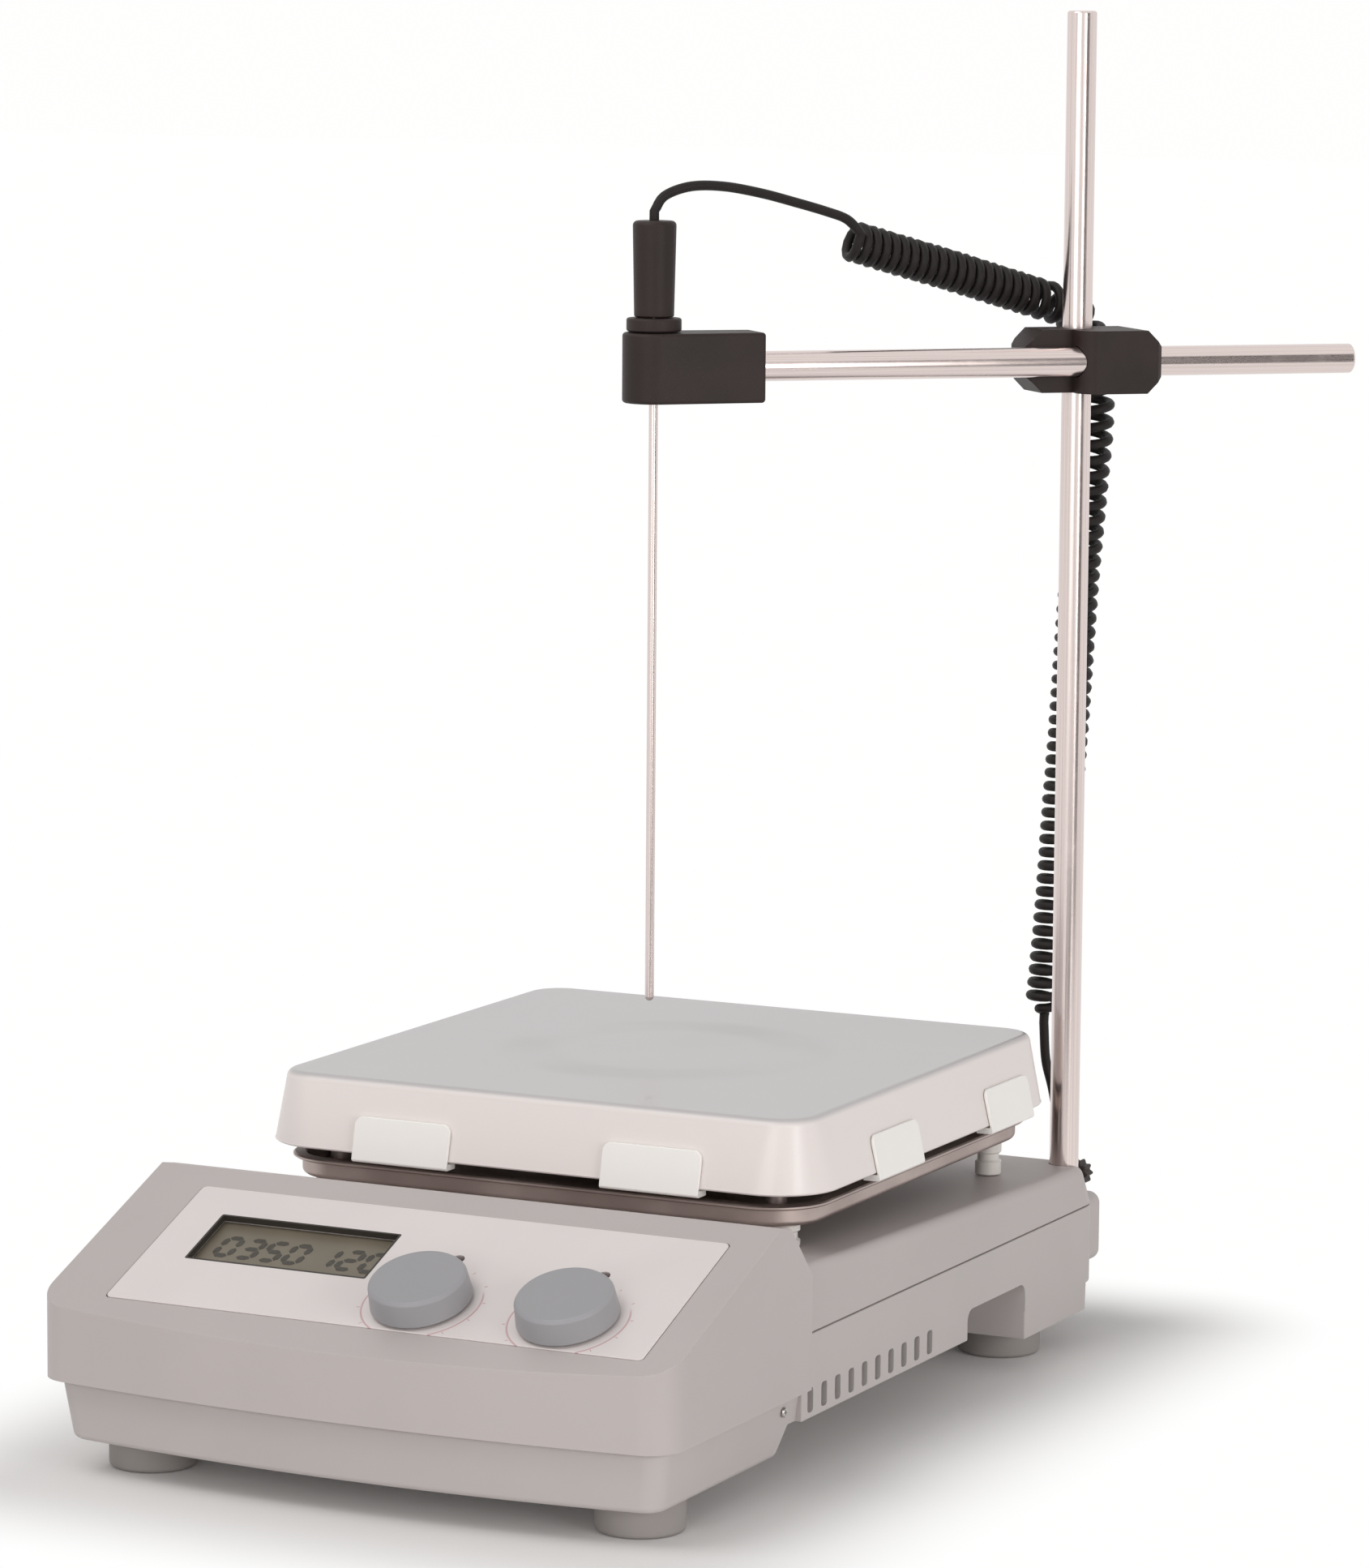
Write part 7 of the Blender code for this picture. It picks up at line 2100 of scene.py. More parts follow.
def make_inlet():
    """Mains inlet: a sleeve with three flat pins on its floor."""
    half, rise = INLET_WIDTH / 2, INLET_HEIGHT / 2
    mouth = REAR_FACE + CONNECTION_PROUD
    back = mouth - INLET_DEPTH
    block = box((INLET_X - half, INLET_X + half), (back, mouth), (REAR_MIDDLE_Z - rise, REAR_MIDDLE_Z + rise))
    piece = round_sharp(new_piece("inlet_sleeve", block), INLET_WALL / 2, 4, 60)
    floor = mouth - INLET_SOCKET_DEPTH
    inner, lift = half - INLET_WALL, rise - INLET_WALL
    slant = INLET_SLANT
    recess_side = [(-inner, -lift), (inner, -lift), (inner, lift - slant)]
    recess_side += [(inner - slant, lift), (slant - inner, lift), (-inner, lift - slant)]
    recess = across_y([(INLET_X + x, REAR_MIDDLE_Z + z) for x, z in recess_side], (mouth + CUT_OVERRUN, floor))
    boolean(piece, new_piece("recess", recess))
    hand_over(piece, "black_plastic", "base", ["power_inlet"])
    pins = []
    for x, z in ((-INLET_PIN_SPACING, -INLET_PIN_RISE), (0, INLET_PIN_RISE), (INLET_PIN_SPACING, -INLET_PIN_RISE)):
        x_range = (INLET_X + x - INLET_PIN_WIDTH / 2, INLET_X + x + INLET_PIN_WIDTH / 2)
        z_range = (REAR_MIDDLE_Z + z - INLET_PIN_HEIGHT / 2, REAR_MIDDLE_Z + z + INLET_PIN_HEIGHT / 2)
        pins.append(box(x_range, (floor - INLET_WALL / 2, floor + INLET_PIN_LENGTH), z_range))
    pins = round_sharp(new_piece("inlet_pins", join_shapes(*pins)), PIN_EDGE, 3, 50)
    hand_over(pins, "brass", "base")


def make_rocker():
    """Mains rocker, resting on its off side, with a slightly hollow face."""
    half, rise = ROCKER_WIDTH / 2, ROCKER_HEIGHT / 2
    top = ROCKER_DEPTH + ROCKER_RISE
    shares = [step / 6 - 1 for step in range(13)]
    profile = [(share * rise, top - ROCKER_DIP * (1 - share**2)) for share in shares]
    profile += arc(0, 0, rise, 0, -180, 24)
    shape = across_x([(height, z) for z, height in profile], (-half, half))
    tilt = Matrix.Rotation(-ROCKER_TILT, 4, "X")
    piece = new_piece("mains_rocker", moved(shape, (ROCKER_X, REAR_FACE - ROCKER_DEPTH, REAR_MIDDLE_Z), tilt))
    round_sharp(piece, ROCKER_EDGE, 3, 50)
    return hand_over(piece, "black_plastic", "rocker", ["power_rocker"])


def make_sensor_socket():
    """Round sensor socket with a softened rim and a plain bore."""
    length, edge = SOCKET_LENGTH, SOCKET_EDGE
    profile = [(0, 0), (SOCKET_RADIUS, 0), (SOCKET_RADIUS, length - edge), (SOCKET_RADIUS - edge, length)]
    profile += [(SOCKET_BORE_RADIUS + edge, length), (SOCKET_BORE_RADIUS, length - edge)]
    profile += [(SOCKET_BORE_RADIUS, length - SOCKET_BORE_DEPTH), (0, length - SOCKET_BORE_DEPTH)]
    mouth = REAR_FACE + CONNECTION_PROUD
    shape = moved(turned(profile, ROD_SIDES), (SOCKET_X, mouth - length, REAR_MIDDLE_Z), TOWARDS_REAR)
    return hand_over(new_piece("sensor_jack", shape), "fine_steel", "base", ["sensor_socket"])


# Stand, clamp and arm


def grip_outline(radius, count):
    """Outline of a grip with shallow lobes."""
    points = []
    for step in range(count):
        angle = 2 * math.pi * step / count
        reach = radius + GRIP_LOBE_DEPTH * math.cos(GRIP_LOBES * angle)
        points.append((reach * math.cos(angle), reach * math.sin(angle)))
    return points


def grip_screw(shank_radius, head_radius, tip, seat, head_length):
    """A thumb screw along Z with a lobed grip and a rounded, dished head."""
    count = GRIP_LOBES * 10
    shank = arc(0, 0, shank_radius, 0, 360 - 360 / count, count - 1)
    top = seat + head_length
    edge = GRIP_LOBE_DEPTH * 2

    def lobes(inset):
        return grip_outline(head_radius - inset, count)

    rings = [at_height(shank, tip), at_height(shank, seat), at_height(lobes(edge), seat)]
    rings += [at_height(lobes(edge * (1 - math.sin(a))), seat + edge * (1 - math.cos(a))) for a in quarter(4)[1:]]
    rings += [at_height(lobes(edge * (1 - math.cos(a))), top - edge * (1 - math.sin(a))) for a in quarter(4)]
    rings.append(at_height(arc(0, 0, head_radius * 0.55, 0, 360 - 360 / count, count - 1), top - HEAD_DISH))
    return loft(rings)


def make_stand_rod():
    """The upright rod with its rounded top, and the screw that locks it from behind."""
    floor = TRAY_WALL_BOTTOM_Z + HOUSING_WALL + FIT_GAP
    profile = bar_profile(ROD_RADIUS, floor, ROD_TOP_Z, ROD_END_CHAMFER * 1.5, 5)
    rod = new_piece("upright_rod", moved(turned(profile, ROD_SIDES), (ROD_X, ROD_Y, 0)))
    hand_over(rod, "steel", "stand", ["stand_rod"])
    lean = DECK_LEAN * (LOCK_SCREW_Z - BODY_SPLIT_Z) / (DECK_FRONT_Z - BODY_SPLIT_Z)
    seat = BODY_REAR_Y - ROD_Y - lean + 2 * FIT_GAP
    screw = grip_screw(LOCK_SCREW_RADIUS, LOCK_HEAD_RADIUS, ROD_RADIUS + RUNNING_CLEARANCE, seat, LOCK_HEAD_LENGTH)
    lock = new_piece("rod_lock_grip", moved(screw, (ROD_X, ROD_Y, LOCK_SCREW_Z), TOWARDS_REAR))
    hand_over(lock, "black_plastic", "lock_screw", ["rod_lock_screw"])


def make_rod_clamp():
    """Rod clamp: one bore for the upright rod, one for the cross rod, an open wing and rounded cheeks."""
    left, right = -CLAMP_LEFT, CLAMP_RIGHT
    rear, front = CLAMP_REAR, -CLAMP_FRONT
    wing = -CLAMP_WING_FACE
    edge = CLAMP_EDGE
    cheek = -CLAMP_CHEEK_START
    radius = CLAMP_CHEEK_RADIUS
    plan = [(left, rear - edge), (left, wing + edge), (left + edge, wing), (cheek, wing)]
    plan += arc(cheek + radius, front + radius, radius, 180, 270, 12)
    plan += [(right - edge, front), (right, front + edge), (right, rear - edge)]
    plan += [(right - edge, rear), (left + edge, rear)]
    half = CLAMP_HALF_HEIGHT
    piece = new_piece("rod_clamp", prism(plan, -half, half))
    chamfer = CLAMP_CHAMFER
    side_view = [
        (left, -half + chamfer),
        (left + chamfer, -half),
        (right - chamfer, -half),
        (right, -half + chamfer),
        (right, half - chamfer),
        (right - chamfer, half),
        (left + chamfer, half),
        (left, half - chamfer),
    ]
    reach = CLAMP_FRONT + CUT_OVERRUN
    boolean(piece, new_piece("envelope", across_y(side_view, (reach, -reach))), "INTERSECT")
    round_sharp(piece, settings().stand.grip_edge, 4, 20)
    bore = ROD_RADIUS + RUNNING_CLEARANCE
    tall, long = half + CUT_OVERRUN, CLAMP_RIGHT + CUT_OVERRUN
    boolean(piece, new_piece("rod_bore", cylinder(bore, -tall, tall, ROD_SIDES)))
    arm_cut = moved(cylinder(bore, -long, long, ROD_SIDES), (0, -ARM_OFFSET, 0), ALONG_X)
    boolean(piece, new_piece("arm_bore", arm_cut))
    hole = CLAMP_SCREW_RADIUS + RUNNING_CLEARANCE
    deep = CLAMP_REAR + CUT_OVERRUN
    for x, start in ((0, 0), (ARM_SCREW_X, -ARM_OFFSET)):
        cut = moved(cylinder(hole, start, deep, SMALL_SIDES), (x, 0, 0), TOWARDS_REAR)
        boolean(piece, new_piece("screw_bore", cut))
    piece.data.transform(ARM_FRAME)
    hand_over(piece, "black_plastic", "clamp", ["clamp_body"])
    seat = CLAMP_REAR + FIT_GAP
    tip = ROD_RADIUS + RUNNING_CLEARANCE
    for name, body, node, x, reach in (
        ("rod_grip", "clamp_rod_thumbscrew", "clamp_rod_screw", 0, tip),
        ("arm_grip", "clamp_arm_thumbscrew", "clamp_arm_screw", ARM_SCREW_X, tip - ARM_OFFSET),
    ):
        screw = grip_screw(CLAMP_SCREW_RADIUS, CLAMP_SCREW_HEAD_RADIUS, reach, seat, CLAMP_SCREW_HEAD_LENGTH)
        knob = new_piece(name, moved(screw, (x, 0, 0), TOWARDS_REAR), ARM_FRAME)
        hand_over(knob, "black_plastic", body, [node])


def make_arm():
    """The cross rod, and the probe holder on its end."""
    profile = bar_profile(ROD_RADIUS, -ARM_REACH, ARM_TAIL, ROD_END_CHAMFER * 1.5, 5)
    bar = moved(turned(profile, ROD_SIDES), (0, -ARM_OFFSET, 0), ALONG_X)
    rod = new_piece("cross_rod", bar, ARM_FRAME)
    hand_over(rod, "arm_steel", "arm", ["arm_rod"])
    boss, thick, end, half = HOLDER_BOSS_RADIUS, HOLDER_END_HALF_THICKNESS, HOLDER_LENGTH, HOLDER_HALF_HEIGHT
    lean = math.degrees(math.acos((boss - thick) / end))
    plan = arc(0, 0, boss, lean, 360 - lean, 48) + [(end, -thick), (end, thick)]
    piece = round_sharp(new_piece("sensor_holder", prism(plan, -half, half)), HOLDER_EDGE, 5, 50)
    cut = cylinder(ROD_RADIUS + FIT_GAP, ARM_SHORT_OF_PROBE - FIT_GAP, end + CUT_OVERRUN, ROD_SIDES)
    boolean(piece, new_piece("arm_bore", moved(cut, turn=ALONG_X)))
    tall = half + CUT_OVERRUN
    boolean(piece, new_piece("probe_bore", cylinder(PROBE_RADIUS + RUNNING_CLEARANCE, -tall, tall, SMALL_SIDES)))
    piece.data.transform(ARM_FRAME @ Matrix.Translation((-PROBE_REACH, -ARM_OFFSET, 0)))
    hand_over(piece, "black_plastic", "arm", ["probe_holder"])


def make_probe():
    """Temperature probe: seating collar, tapered handle with a soft top, and its thin steel stem."""
    hole = PROBE_RADIUS + FIT_GAP
    bottom = ARM_Z + HOLDER_HALF_HEIGHT + FIT_GAP
    top = bottom + COLLAR_HEIGHT
    edge = COLLAR_EDGE * 1.6
    rim = lower_edge(COLLAR_RADIUS, bottom, edge, 4) + upper_edge(COLLAR_RADIUS, top, edge, 4)
    collar = [(hole, bottom), *rim, (hole, top)]
    hand_over(new_piece("probe_seat", turned(collar), PROBE_FRAME), "black_plastic", "probe", ["probe_collar"])

    bottom = top + FIT_GAP
    top = bottom + HANDLE_HEIGHT
    socket = bottom + HANDLE_SOCKET_DEPTH
    edge = HANDLE_EDGE * 2
    handle = [(0, socket), (hole, socket), (hole, bottom), (HANDLE_BOTTOM_RADIUS - HANDLE_RIM, bottom)]
    handle.append((HANDLE_BOTTOM_RADIUS, bottom + HANDLE_RIM))
    handle += upper_edge(HANDLE_TOP_RADIUS, top, edge, 6)
    handle += [(CORD_RADIUS * 1.7, top), (0, top)]
    hand_over(new_piece("probe_grip", turned(handle), PROBE_FRAME), "black_plastic", "probe", ["probe_handle"])

    stem = [(0, PROBE_TIP_Z)]
    stem += [(PROBE_RADIUS * math.sin(a), PROBE_TIP_Z + PROBE_RADIUS * (1 - math.cos(a))) for a in quarter(6)[1:]]
    stem += [(PROBE_RADIUS, socket - FIT_GAP), (0, socket - FIT_GAP)]
    hand_over(new_piece("probe_rod", turned(stem, SMALL_SIDES), PROBE_FRAME), "steel", "probe", ["probe_stem"])


# Probe cord


def smooth_route(points, spacing):
    """Points at even distances along a smooth curve through a route, and the curve's length."""
    knots = [Vector(point) for point in points]
    knots = [2 * knots[0] - knots[1]] + knots + [2 * knots[-1] - knots[-2]]
    fine = []
    steps = 24
    for before, start, end, after in zip(knots, knots[1:], knots[2:], knots[3:]):
        for step in range(steps):
            share = step / steps
            curve = 2 * start + (end - before) * share
            curve += (2 * before - 5 * start + 4 * end - after) * share**2
            curve += (3 * start - before - 3 * end + after) * share**3
            fine.append(0.5 * curve)
    fine.append(knots[-2])
    lengths = [0.0]
    for first, second in zip(fine, fine[1:]):
        lengths.append(lengths[-1] + (second - first).length)
    count = max(2, round(lengths[-1] / spacing))
    result = []
    index = 0
    for step in range(count + 1):
        target = lengths[-1] * step / count
        while index < len(lengths) - 2 and lengths[index + 1] < target:
            index += 1
        share = (target - lengths[index]) / (lengths[index + 1] - lengths[index])
        result.append(fine[index].lerp(fine[index + 1], share))
    return result, lengths[-1]


def pitch_at(share):
    """Distance between curls at a share of the way along the curly stretch."""
    stops = (
        (0.0, TIGHT_PITCH),
        (TIGHT_UNTIL_SHARE, TIGHT_PITCH),
        (BEND_FROM_SHARE, BEND_PITCH),
        (BEND_UNTIL_SHARE, BEND_PITCH),
        (HANGING_UNTIL_SHARE, HANGING_PITCH),
        (LOWER_FROM_SHARE, LOWER_PITCH),
        (1.0, LOWER_PITCH),
    )
    for (start, first), (end, second) in zip(stops, stops[1:]):
        if share <= end:
            return first + (second - first) * (share - start) / (end - start)
    return LOWER_PITCH


def curl_points():
    """The helix of the curly stretch, wound about its route, with the turns and the share at each point."""
    axis, length = smooth_route(CURL_ROUTE, CORD_RADIUS / 5)
    count = len(axis) - 1
    first_side = Vector((1, -1, 0))
    side = None
    angle = 0.0
    turns = 0.0
    path = []
    for index, centre in enumerate(axis):
        ahead = axis[min(index + 1, count)]
        behind = axis[max(index - 1, 0)]
        tangent = (ahead - behind).normalized()
        reference = first_side if side is None else side
        side = (reference - tangent * reference.dot(tangent)).normalized()
        across = tangent.cross(side)
        left = length * (1 - index / count)
        radius = CURL_RADIUS * min(1.0, left / CURL_LEAVES_OVER)
        path.append((turns, index / count, centre + radius * (side * math.cos(angle) + across * math.sin(angle))))
        turns += (length / count) / pitch_at(index / count)
        angle = 2 * math.pi * turns
    return path


def length_of(points):
    """Length of a path."""
    return sum((second - first).length for first, second in zip(points, points[1:]))


def lay_cord(name, points, frames, nodes, bodies):
    """A stretch of cord as a tube that rides on one body, or is left unattached where it runs between two."""
    piece = new_piece(name, tube(points, frames, SHEATH_RADIUS, settings().cord.sides))
    hand_over(piece, "cord", bodies[0] if len(bodies) == 1 else None, nodes, even=False)
    if len(bodies) == 2:
        points[0] + SHIFT
        points[-1] + SHIFT
        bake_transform(piece)
    path = [tuple(point + SHIFT) for point in points]
    length_of(points)


def make_cord():
    """The probe cord: a lead over the arm, a curly stretch beside the rod, and a tail to the plug behind."""
    fine = curl_points()
    per_turn = settings().cord.steps_per_curl
    diameter = 2 * CORD_RADIUS
    curls, shares = [], []
    target = 0.0
    for turns, share, point in fine:
        if turns >= target:
            curls.append(point)
            shares.append(share)
            target += 1 / per_turn
    curls.append(fine[-1][2])
    shares.append(1.0)
    into_curls = (fine[1][2] - fine[0][2]).normalized()
    out_of_curls = (Vector(TAIL_ROUTE[0]) - curls[-1]).normalized()

    handle_top = ARM_Z + HOLDER_HALF_HEIGHT + COLLAR_HEIGHT + HANDLE_HEIGHT + 2 * FIT_GAP
    start = Vector((*LEAD_ROUTE[0][:2], handle_top))
    rise = start + Vector((0, 0, diameter))
    run_in = curls[0] - into_curls * diameter
    lead, _ = smooth_route([rise, *LEAD_ROUTE[2:], run_in], CORD_STEP)
    plug_top = REAR_MIDDLE_Z + PLUG_RELIEF_HEIGHT
    end = Vector((SOCKET_X, OUTLET_Y, plug_top))
    above = end + Vector((0, 0, diameter))
    run_out = curls[-1] + out_of_curls * diameter
    tail, _ = smooth_route([run_out, *TAIL_ROUTE[1:-1], above], CORD_STEP)

    points = [start] + lead + curls + tail + [end]
    frames = frames_along(points)
    first_curl = 1 + len(lead)
    last_curl = first_curl + len(curls) - 1
    clamp_cut, middle_cut = (
        first_curl + next(index for index, share in enumerate(shares) if share >= limit)
        for limit in (CURL_CLAMP_SHARE, CURL_MIDDLE_SHARE)
    )
    stops = [0, first_curl, clamp_cut, middle_cut, last_curl, len(points) - 1]
    plug = make_plug(plug_top)
    stretches = (
        ("lead_stretch", ["cord_lead"], ("probe", "arm"), "object", ()),
        ("upper_curls", ["curly_cord"], ("arm", "clamp"), "object", ()),
        ("middle_curls", (), ("clamp", "stand"), "object", ()),
        ("lower_curls", (), ("stand", "base"), "object", ()),
        ("tail_stretch", ["cord_tail"], ("base",), "plug", (plug,)),
    )
    for (name, nodes, bodies, far_end, extra), low, high in zip(stretches, stops, stops[1:]):
        lay_cord(name, points[low : high + 1], frames[low : high + 1], nodes, bodies)


def make_plug(plug_top):
    """Angled sensor plug: a nose in the socket, a ribbed round body and a tapered relief that points up."""
    mouth = REAR_FACE + CONNECTION_PROUD
    start = mouth + FIT_GAP
    length = OUTLET_Y - start + PLUG_BODY_END
    outer, groove = PLUG_BODY_RADIUS, PLUG_BODY_RADIUS - RIB_DEPTH
    profile = [(0, -PLUG_NOSE_LENGTH), (PLUG_NOSE_RADIUS, -PLUG_NOSE_LENGTH), (PLUG_NOSE_RADIUS, 0)]
    profile += [(groove, 0), (outer, RIB_DEPTH)]
    for rib in range(3):
        low = PLUG_RIB_START + rib * PLUG_RIB_PITCH
        profile += [(outer, low), (groove, low + 0.0003), (groove, low + 0.0007), (outer, low + 0.001)]
    profile += [*upper_edge(outer, length, PLUG_EDGE * 1.5, 5), (0, length)]
    piece = new_piece("plug_body", moved(turned(profile, ROD_SIDES), (SOCKET_X, start, REAR_MIDDLE_Z), TOWARDS_REAR))
    top = plug_top - REAR_MIDDLE_Z
    foot = PLUG_BODY_RADIUS + PLUG_EDGE
    relief = [(0, 0), (PLUG_OUTLET_RADIUS, 0), (PLUG_OUTLET_RADIUS, foot)]
    step = (top - foot) / RELIEF_RIBS
    for rib in range(RELIEF_RIBS):
        share = (rib + 0.5) / RELIEF_RIBS
        radius = PLUG_OUTLET_RADIUS + share * (PLUG_RELIEF_TOP_RADIUS - PLUG_OUTLET_RADIUS)
        slit = radius * RELIEF_SLIT_SHARE
        low = foot + step * rib
        relief += [(radius, low + step * 0.1), (radius, low + step * 0.7)]
        relief += [(slit, low + step * 0.78), (slit, low + step * 0.98)]
    relief += [(PLUG_RELIEF_TOP_RADIUS * RELIEF_SLIT_SHARE, top), (0, top)]
    relief_shape = moved(turned(relief, SMALL_SIDES), (SOCKET_X, OUTLET_Y, REAR_MIDDLE_Z))
    boolean(piece, new_piece("relief", relief_shape), "UNION")
    return hand_over(piece, "black_plastic", "base", ["sensor_plug"])


# Inner works


def dress_inner_works():
    """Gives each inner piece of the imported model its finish."""
    finishes = {
        "lcd_module": "display",
        "display_board": "board",
        "power_board": "board",
        "speed_shaft": "fine_steel",
        "heat_shaft": "fine_steel",
        "speed_push_stem": "black_plastic",
        "heat_push_stem": "black_plastic",
        "heater_element": "heater",
        "insulation_pad": "insulation",
        "stirring_motor": "motor",
        "motor_shaft": "fine_steel",
        "magnet_yoke": "fine_steel",
        "magnet_north": "magnet",
        "magnet_south": "magnet",
        "rod_socket": "brass",
    }
    for node, finish in finishes.items():
        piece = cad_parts[node]
        piece.data.materials.clear()
        piece.data.materials.append(finish_named(finish))


# Stage


def make_camera():
    """The camera, standing where the photograph was taken from."""
    azimuth, pitch, roll = (math.radians(angle) for angle in CAMERA_ANGLES)
    forward = Vector((-math.sin(azimuth) * math.cos(pitch), math.cos(azimuth) * math.cos(pitch), -math.sin(pitch)))
    right = Vector((math.cos(azimuth), math.sin(azimuth), 0))
    up = right.cross(forward)
    rolled_right = right * math.cos(roll) + up * math.sin(roll)
    rolled_up = up * math.cos(roll) - right * math.sin(roll)
    lens = bpy.data.cameras.new("camera")
    lens.sensor_fit = "VERTICAL"
    lens.sensor_height = 36
    lens.lens = CAMERA_LENS
    lens.clip_start = 0.1
    lens.clip_end = 60
    camera = bpy.data.objects.new("camera", lens)
    bpy.context.scene.collection.objects.link(camera)
    turn = Matrix((rolled_right, rolled_up, -forward)).transposed().to_4x4()
    camera.matrix_world = Matrix.Translation(CAMERA_PLACE + SHIFT) @ turn
    bpy.context.scene.camera = camera


def seen_directly(paint):
    """1 for camera, glossy and transmission rays, and 0 for the rest."""
    camera, glossy, transmission = (
        paint.node("ShaderNodeLightPath", output=f"Is {kind} Ray") for kind in ("Camera", "Glossy", "Transmission")
    )
    return (camera + glossy + transmission).over(0.0, 0.5)


class WorldPaint(Paint):
    """The world's nodes, made in the same way as a material's."""

    def __init__(self, tree):
        self.tree = tree


def make_world(level):
    """An even sky that is plain white where it is seen directly."""
    world = bpy.data.worlds.new("sky")
    world.use_nodes = True
    bpy.context.scene.world = world
    background = world.node_tree.nodes["Background"]
    background.inputs["Color"].default_value = SKY_COLOUR
    strength = level + (1 - level) * seen_directly(WorldPaint(world.node_tree))
    world.node_tree.links.new(strength.socket, background.inputs["Strength"])


def make_floor(lift):
    """A plain pale floor that keeps the shadow near the object and fades to white further out."""
    shape = bmesh.new()
    bmesh.ops.create_grid(shape, x_segments=4, y_segments=4, size=12)
    floor = new_piece("floor", shape)
    floor.data.transform(Matrix.Translation((0, 0, -FLOOR_DROP)))
    paint = Paint("floor_paper", roughness=0.9)
    paint.put("Specular IOR Level", 0.0)
    place = paint.place()
    paint.put("Base Color", paint.blend(paint.noise(place, 900, 2), PAPER_DARK, PAPER_LIGHT))
    seen = seen_directly(paint)
    glow = paint.node("ShaderNodeEmission", {}, {"Color": PAPER_WHITE, "Strength": lift * seen})
    lifted = paint.node("ShaderNodeAddShader", {}, {0: Signal(paint, paint.shader.outputs[0]), 1: glow})
    white = paint.node("ShaderNodeEmission", {}, {"Color": PAPER_WHITE, "Strength": 1.0})
    across = paint.axis(place, "X") - SHIFT.x
    along = paint.axis(place, "Y") - SHIFT.y - (FRONT_Y + REAR_FACE) / 2
    past_x = (abs(across) - NOSE_WIDTH / 2).at_least(0.0)
    past_y = (abs(along) - (REAR_FACE - FRONT_Y) / 2).at_least(0.0)
    far = (past_x * past_x + past_y * past_y).root().over(0.0, SHADOW_REACH)
    mixed = paint.node("ShaderNodeMixShader", {}, {0: far * seen, 1: lifted, 2: white})
    paint.tree.links.new(mixed.socket, paint.tree.nodes["Material Output"].inputs["Surface"])
    floor.data.materials.append(paint.material)


def make_lamp(name, place, width, power):
    """A square soft lamp aimed at the object."""
    lamp = bpy.data.lights.new(name, "AREA")
    lamp.shape = "SQUARE"
    lamp.size = width
    lamp.energy = power
    lamp.color = LAMP_COLOUR
    holder = bpy.data.objects.new(name, lamp)
    bpy.context.scene.collection.objects.link(holder)
    holder.location = place
    holder.rotation_euler = (Vector(LAMP_TARGET) - Vector(place)).to_track_quat("-Z", "Y").to_euler()


def make_card(name, place, target, width, height, shade):
    """A card outside the view that only shows in polished metal."""
    shape = bmesh.new()
    bmesh.ops.create_grid(shape, x_segments=1, y_segments=1, size=0.5)
    card = new_piece(name, shape)
    turn = (Vector(target) - Vector(place)).to_track_quat("Z", "Y").to_matrix().to_4x4()
    card.data.transform(Matrix.Translation(place) @ turn @ Matrix.Diagonal((width, height, 1, 1)))
    paint = Paint(f"{name}_card", (0, 0, 0))
    paint.put("Specular IOR Level", 0.0)
    paint.put("Emission Color", (shade, shade * 0.96, shade * 0.94))
    paint.put("Emission Strength", 1.0)
    card.data.materials.append(paint.material)
    card.visible_camera = card.visible_diffuse = False
    card.visible_shadow = card.visible_transmission = False


# Operators


class HOTPLATE_OT_camera(Operator):
    """Places the camera at the photograph's view"""

    bl_idname = "hotplate.camera"
    bl_label = "Camera"

    def execute(self, context):
        make_camera()
        return {"FINISHED"}


class HOTPLATE_OT_cord(Operator):
    """Lays the probe cord and its plug"""

    bl_idname = "hotplate.cord"
    bl_label = "Probe cord"

    def execute(self, context):
        make_cord()
        return {"FINISHED"}


class HOTPLATE_OT_housing(Operator):
    """Makes the upper and lower housing, the side screws and the feet"""

    bl_idname = "hotplate.housing"
    bl_label = "Housing"

    def execute(self, context):
        make_upper_shell()
        make_lower_shell()
        make_side_screws()
        make_feet()
        return {"FINISHED"}


class HOTPLATE_OT_controls(Operator):
    """Makes the front panel, its marks, the display, the dials and the lamps"""

    bl_idname = "hotplate.controls"
    bl_label = "Controls"

    def execute(self, context):
        make_control_panel()
        make_dial_marks()
        make_display()
        make_dials()
        make_lamps()
        return {"FINISHED"}


class HOTPLATE_OT_plate(Operator):
    """Makes the heating plate, its clips, the heat shield and the pillars"""

    bl_idname = "hotplate.plate"
    bl_label = "Heating plate"

    def execute(self, context):
        make_heating_plate()
        make_clips()
        make_heat_shield()
        make_pillars()
        return {"FINISHED"}


class HOTPLATE_OT_rear(Operator):
    """Makes the rear panel with the mains inlet, the rocker and the sensor socket"""

    bl_idname = "hotplate.rear"
    bl_label = "Rear connections"

    def execute(self, context):
        make_rear_plate()
        make_inlet()
        make_rocker()
        make_sensor_socket()
        return {"FINISHED"}


class HOTPLATE_OT_stand(Operator):
    """Makes the upright rod with its lock screw"""

    bl_idname = "hotplate.stand"
    bl_label = "Stand"

    def execute(self, context):
        make_stand_rod()
        return {"FINISHED"}


class HOTPLATE_OT_clamp(Operator):
    """Makes the rod clamp and its two grip screws"""

    bl_idname = "hotplate.clamp"
    bl_label = "Clamp"

    def execute(self, context):
        make_rod_clamp()
        return {"FINISHED"}


class HOTPLATE_OT_arm(Operator):
    """Makes the cross rod, the probe holder and the probe"""

    bl_idname = "hotplate.arm"
    bl_label = "Arm and probe"

    def execute(self, context):
        make_arm()
        make_probe()
        return {"FINISHED"}


class HOTPLATE_OT_inner_works(Operator):
    """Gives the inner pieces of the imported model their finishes"""

    bl_idname = "hotplate.inner_works"
    bl_label = "Inner works"

    def execute(self, context):
        dress_inner_works()
        return {"FINISHED"}


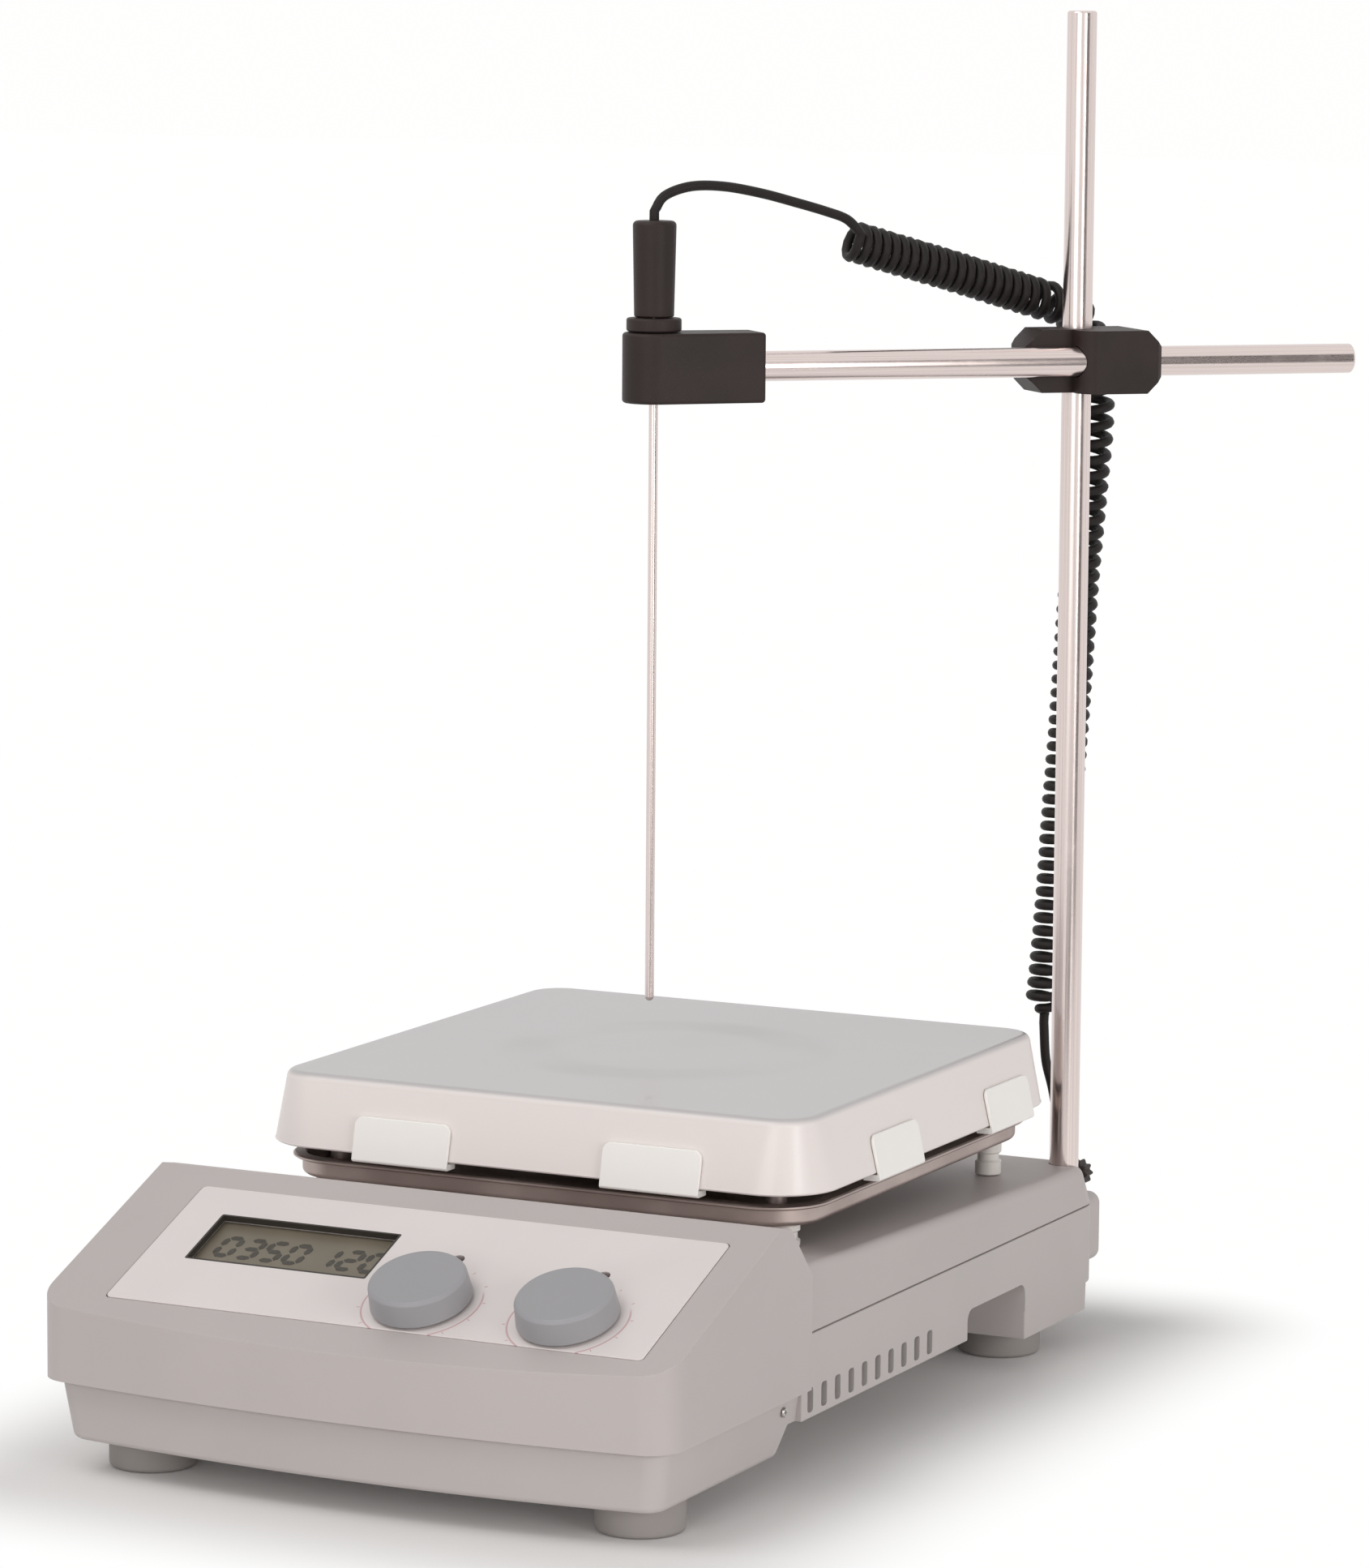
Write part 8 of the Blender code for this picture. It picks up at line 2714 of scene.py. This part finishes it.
class HOTPLATE_OT_stage(Operator):
    """Makes the floor, the sky, the lamps and the cards"""

    bl_idname = "hotplate.stage"
    bl_label = "Stage"

    def execute(self, context):
        levels = settings().stage
        make_world(levels.sky_level)
        make_floor(levels.floor_lift)
        make_lamp("key", *KEY_LAMP, levels.key_power)
        make_lamp("side_fill", *SIDE_LAMP, levels.fill_power)
        make_lamp("front_fill", *FRONT_LAMP, levels.fill_power * FRONT_SHARE)
        make_card("right_card", *RIGHT_CARD)
        make_card("floor_card", *FLOOR_CARD)
        context.scene.view_settings.view_transform = "Standard"
        return {"FINISHED"}


OPERATORS = (
    HOTPLATE_OT_camera,
    HOTPLATE_OT_cord,
    HOTPLATE_OT_housing,
    HOTPLATE_OT_controls,
    HOTPLATE_OT_plate,
    HOTPLATE_OT_rear,
    HOTPLATE_OT_stand,
    HOTPLATE_OT_clamp,
    HOTPLATE_OT_arm,
    HOTPLATE_OT_inner_works,
    HOTPLATE_OT_stage,
)


class HOTPLATE_PT_pieces(Panel):
    """Lists the pieces of the hotplate stirrer and their settings"""

    bl_label = "Hotplate stirrer"
    bl_idname = "HOTPLATE_PT_pieces"
    bl_space_type = "VIEW_3D"
    bl_region_type = "UI"
    bl_category = "Hotplate"

    def draw(self, context):
        layout = self.layout
        for operator in OPERATORS:
            layout.operator(operator.bl_idname)
        groups = context.scene.hotplate_stirrer
        for name in ("housing", "controls", "plate", "stand", "cord", "stage"):
            group = getattr(groups, name)
            column = layout.column(align=True)
            for label in group.__annotations__:
                column.prop(group, label)


CLASSES = (
    HousingSettings,
    ControlSettings,
    PlateSettings,
    StandSettings,
    CordSettings,
    StageSettings,
    StirrerSettings,
    *OPERATORS,
    HOTPLATE_PT_pieces,
)


def register():
    """Registers the classes and adds the settings to the scene."""
    for item in CLASSES:
        bpy.utils.register_class(item)
    bpy.types.Scene.hotplate_stirrer = PointerProperty(type=StirrerSettings)


def unregister():
    """Takes the settings away and unregisters the classes."""
    del bpy.types.Scene.hotplate_stirrer
    for item in reversed(CLASSES):
        bpy.utils.unregister_class(item)


def main():
    """Makes every piece in turn."""
    register()
    bpy.ops.hotplate.camera()
    bpy.ops.hotplate.cord()
    bpy.ops.hotplate.housing()
    bpy.ops.hotplate.controls()
    bpy.ops.hotplate.plate()
    bpy.ops.hotplate.rear()
    bpy.ops.hotplate.stand()
    bpy.ops.hotplate.clamp()
    bpy.ops.hotplate.arm()
    bpy.ops.hotplate.inner_works()
    bpy.ops.hotplate.stage()


if __name__ == "__main__":
    main()
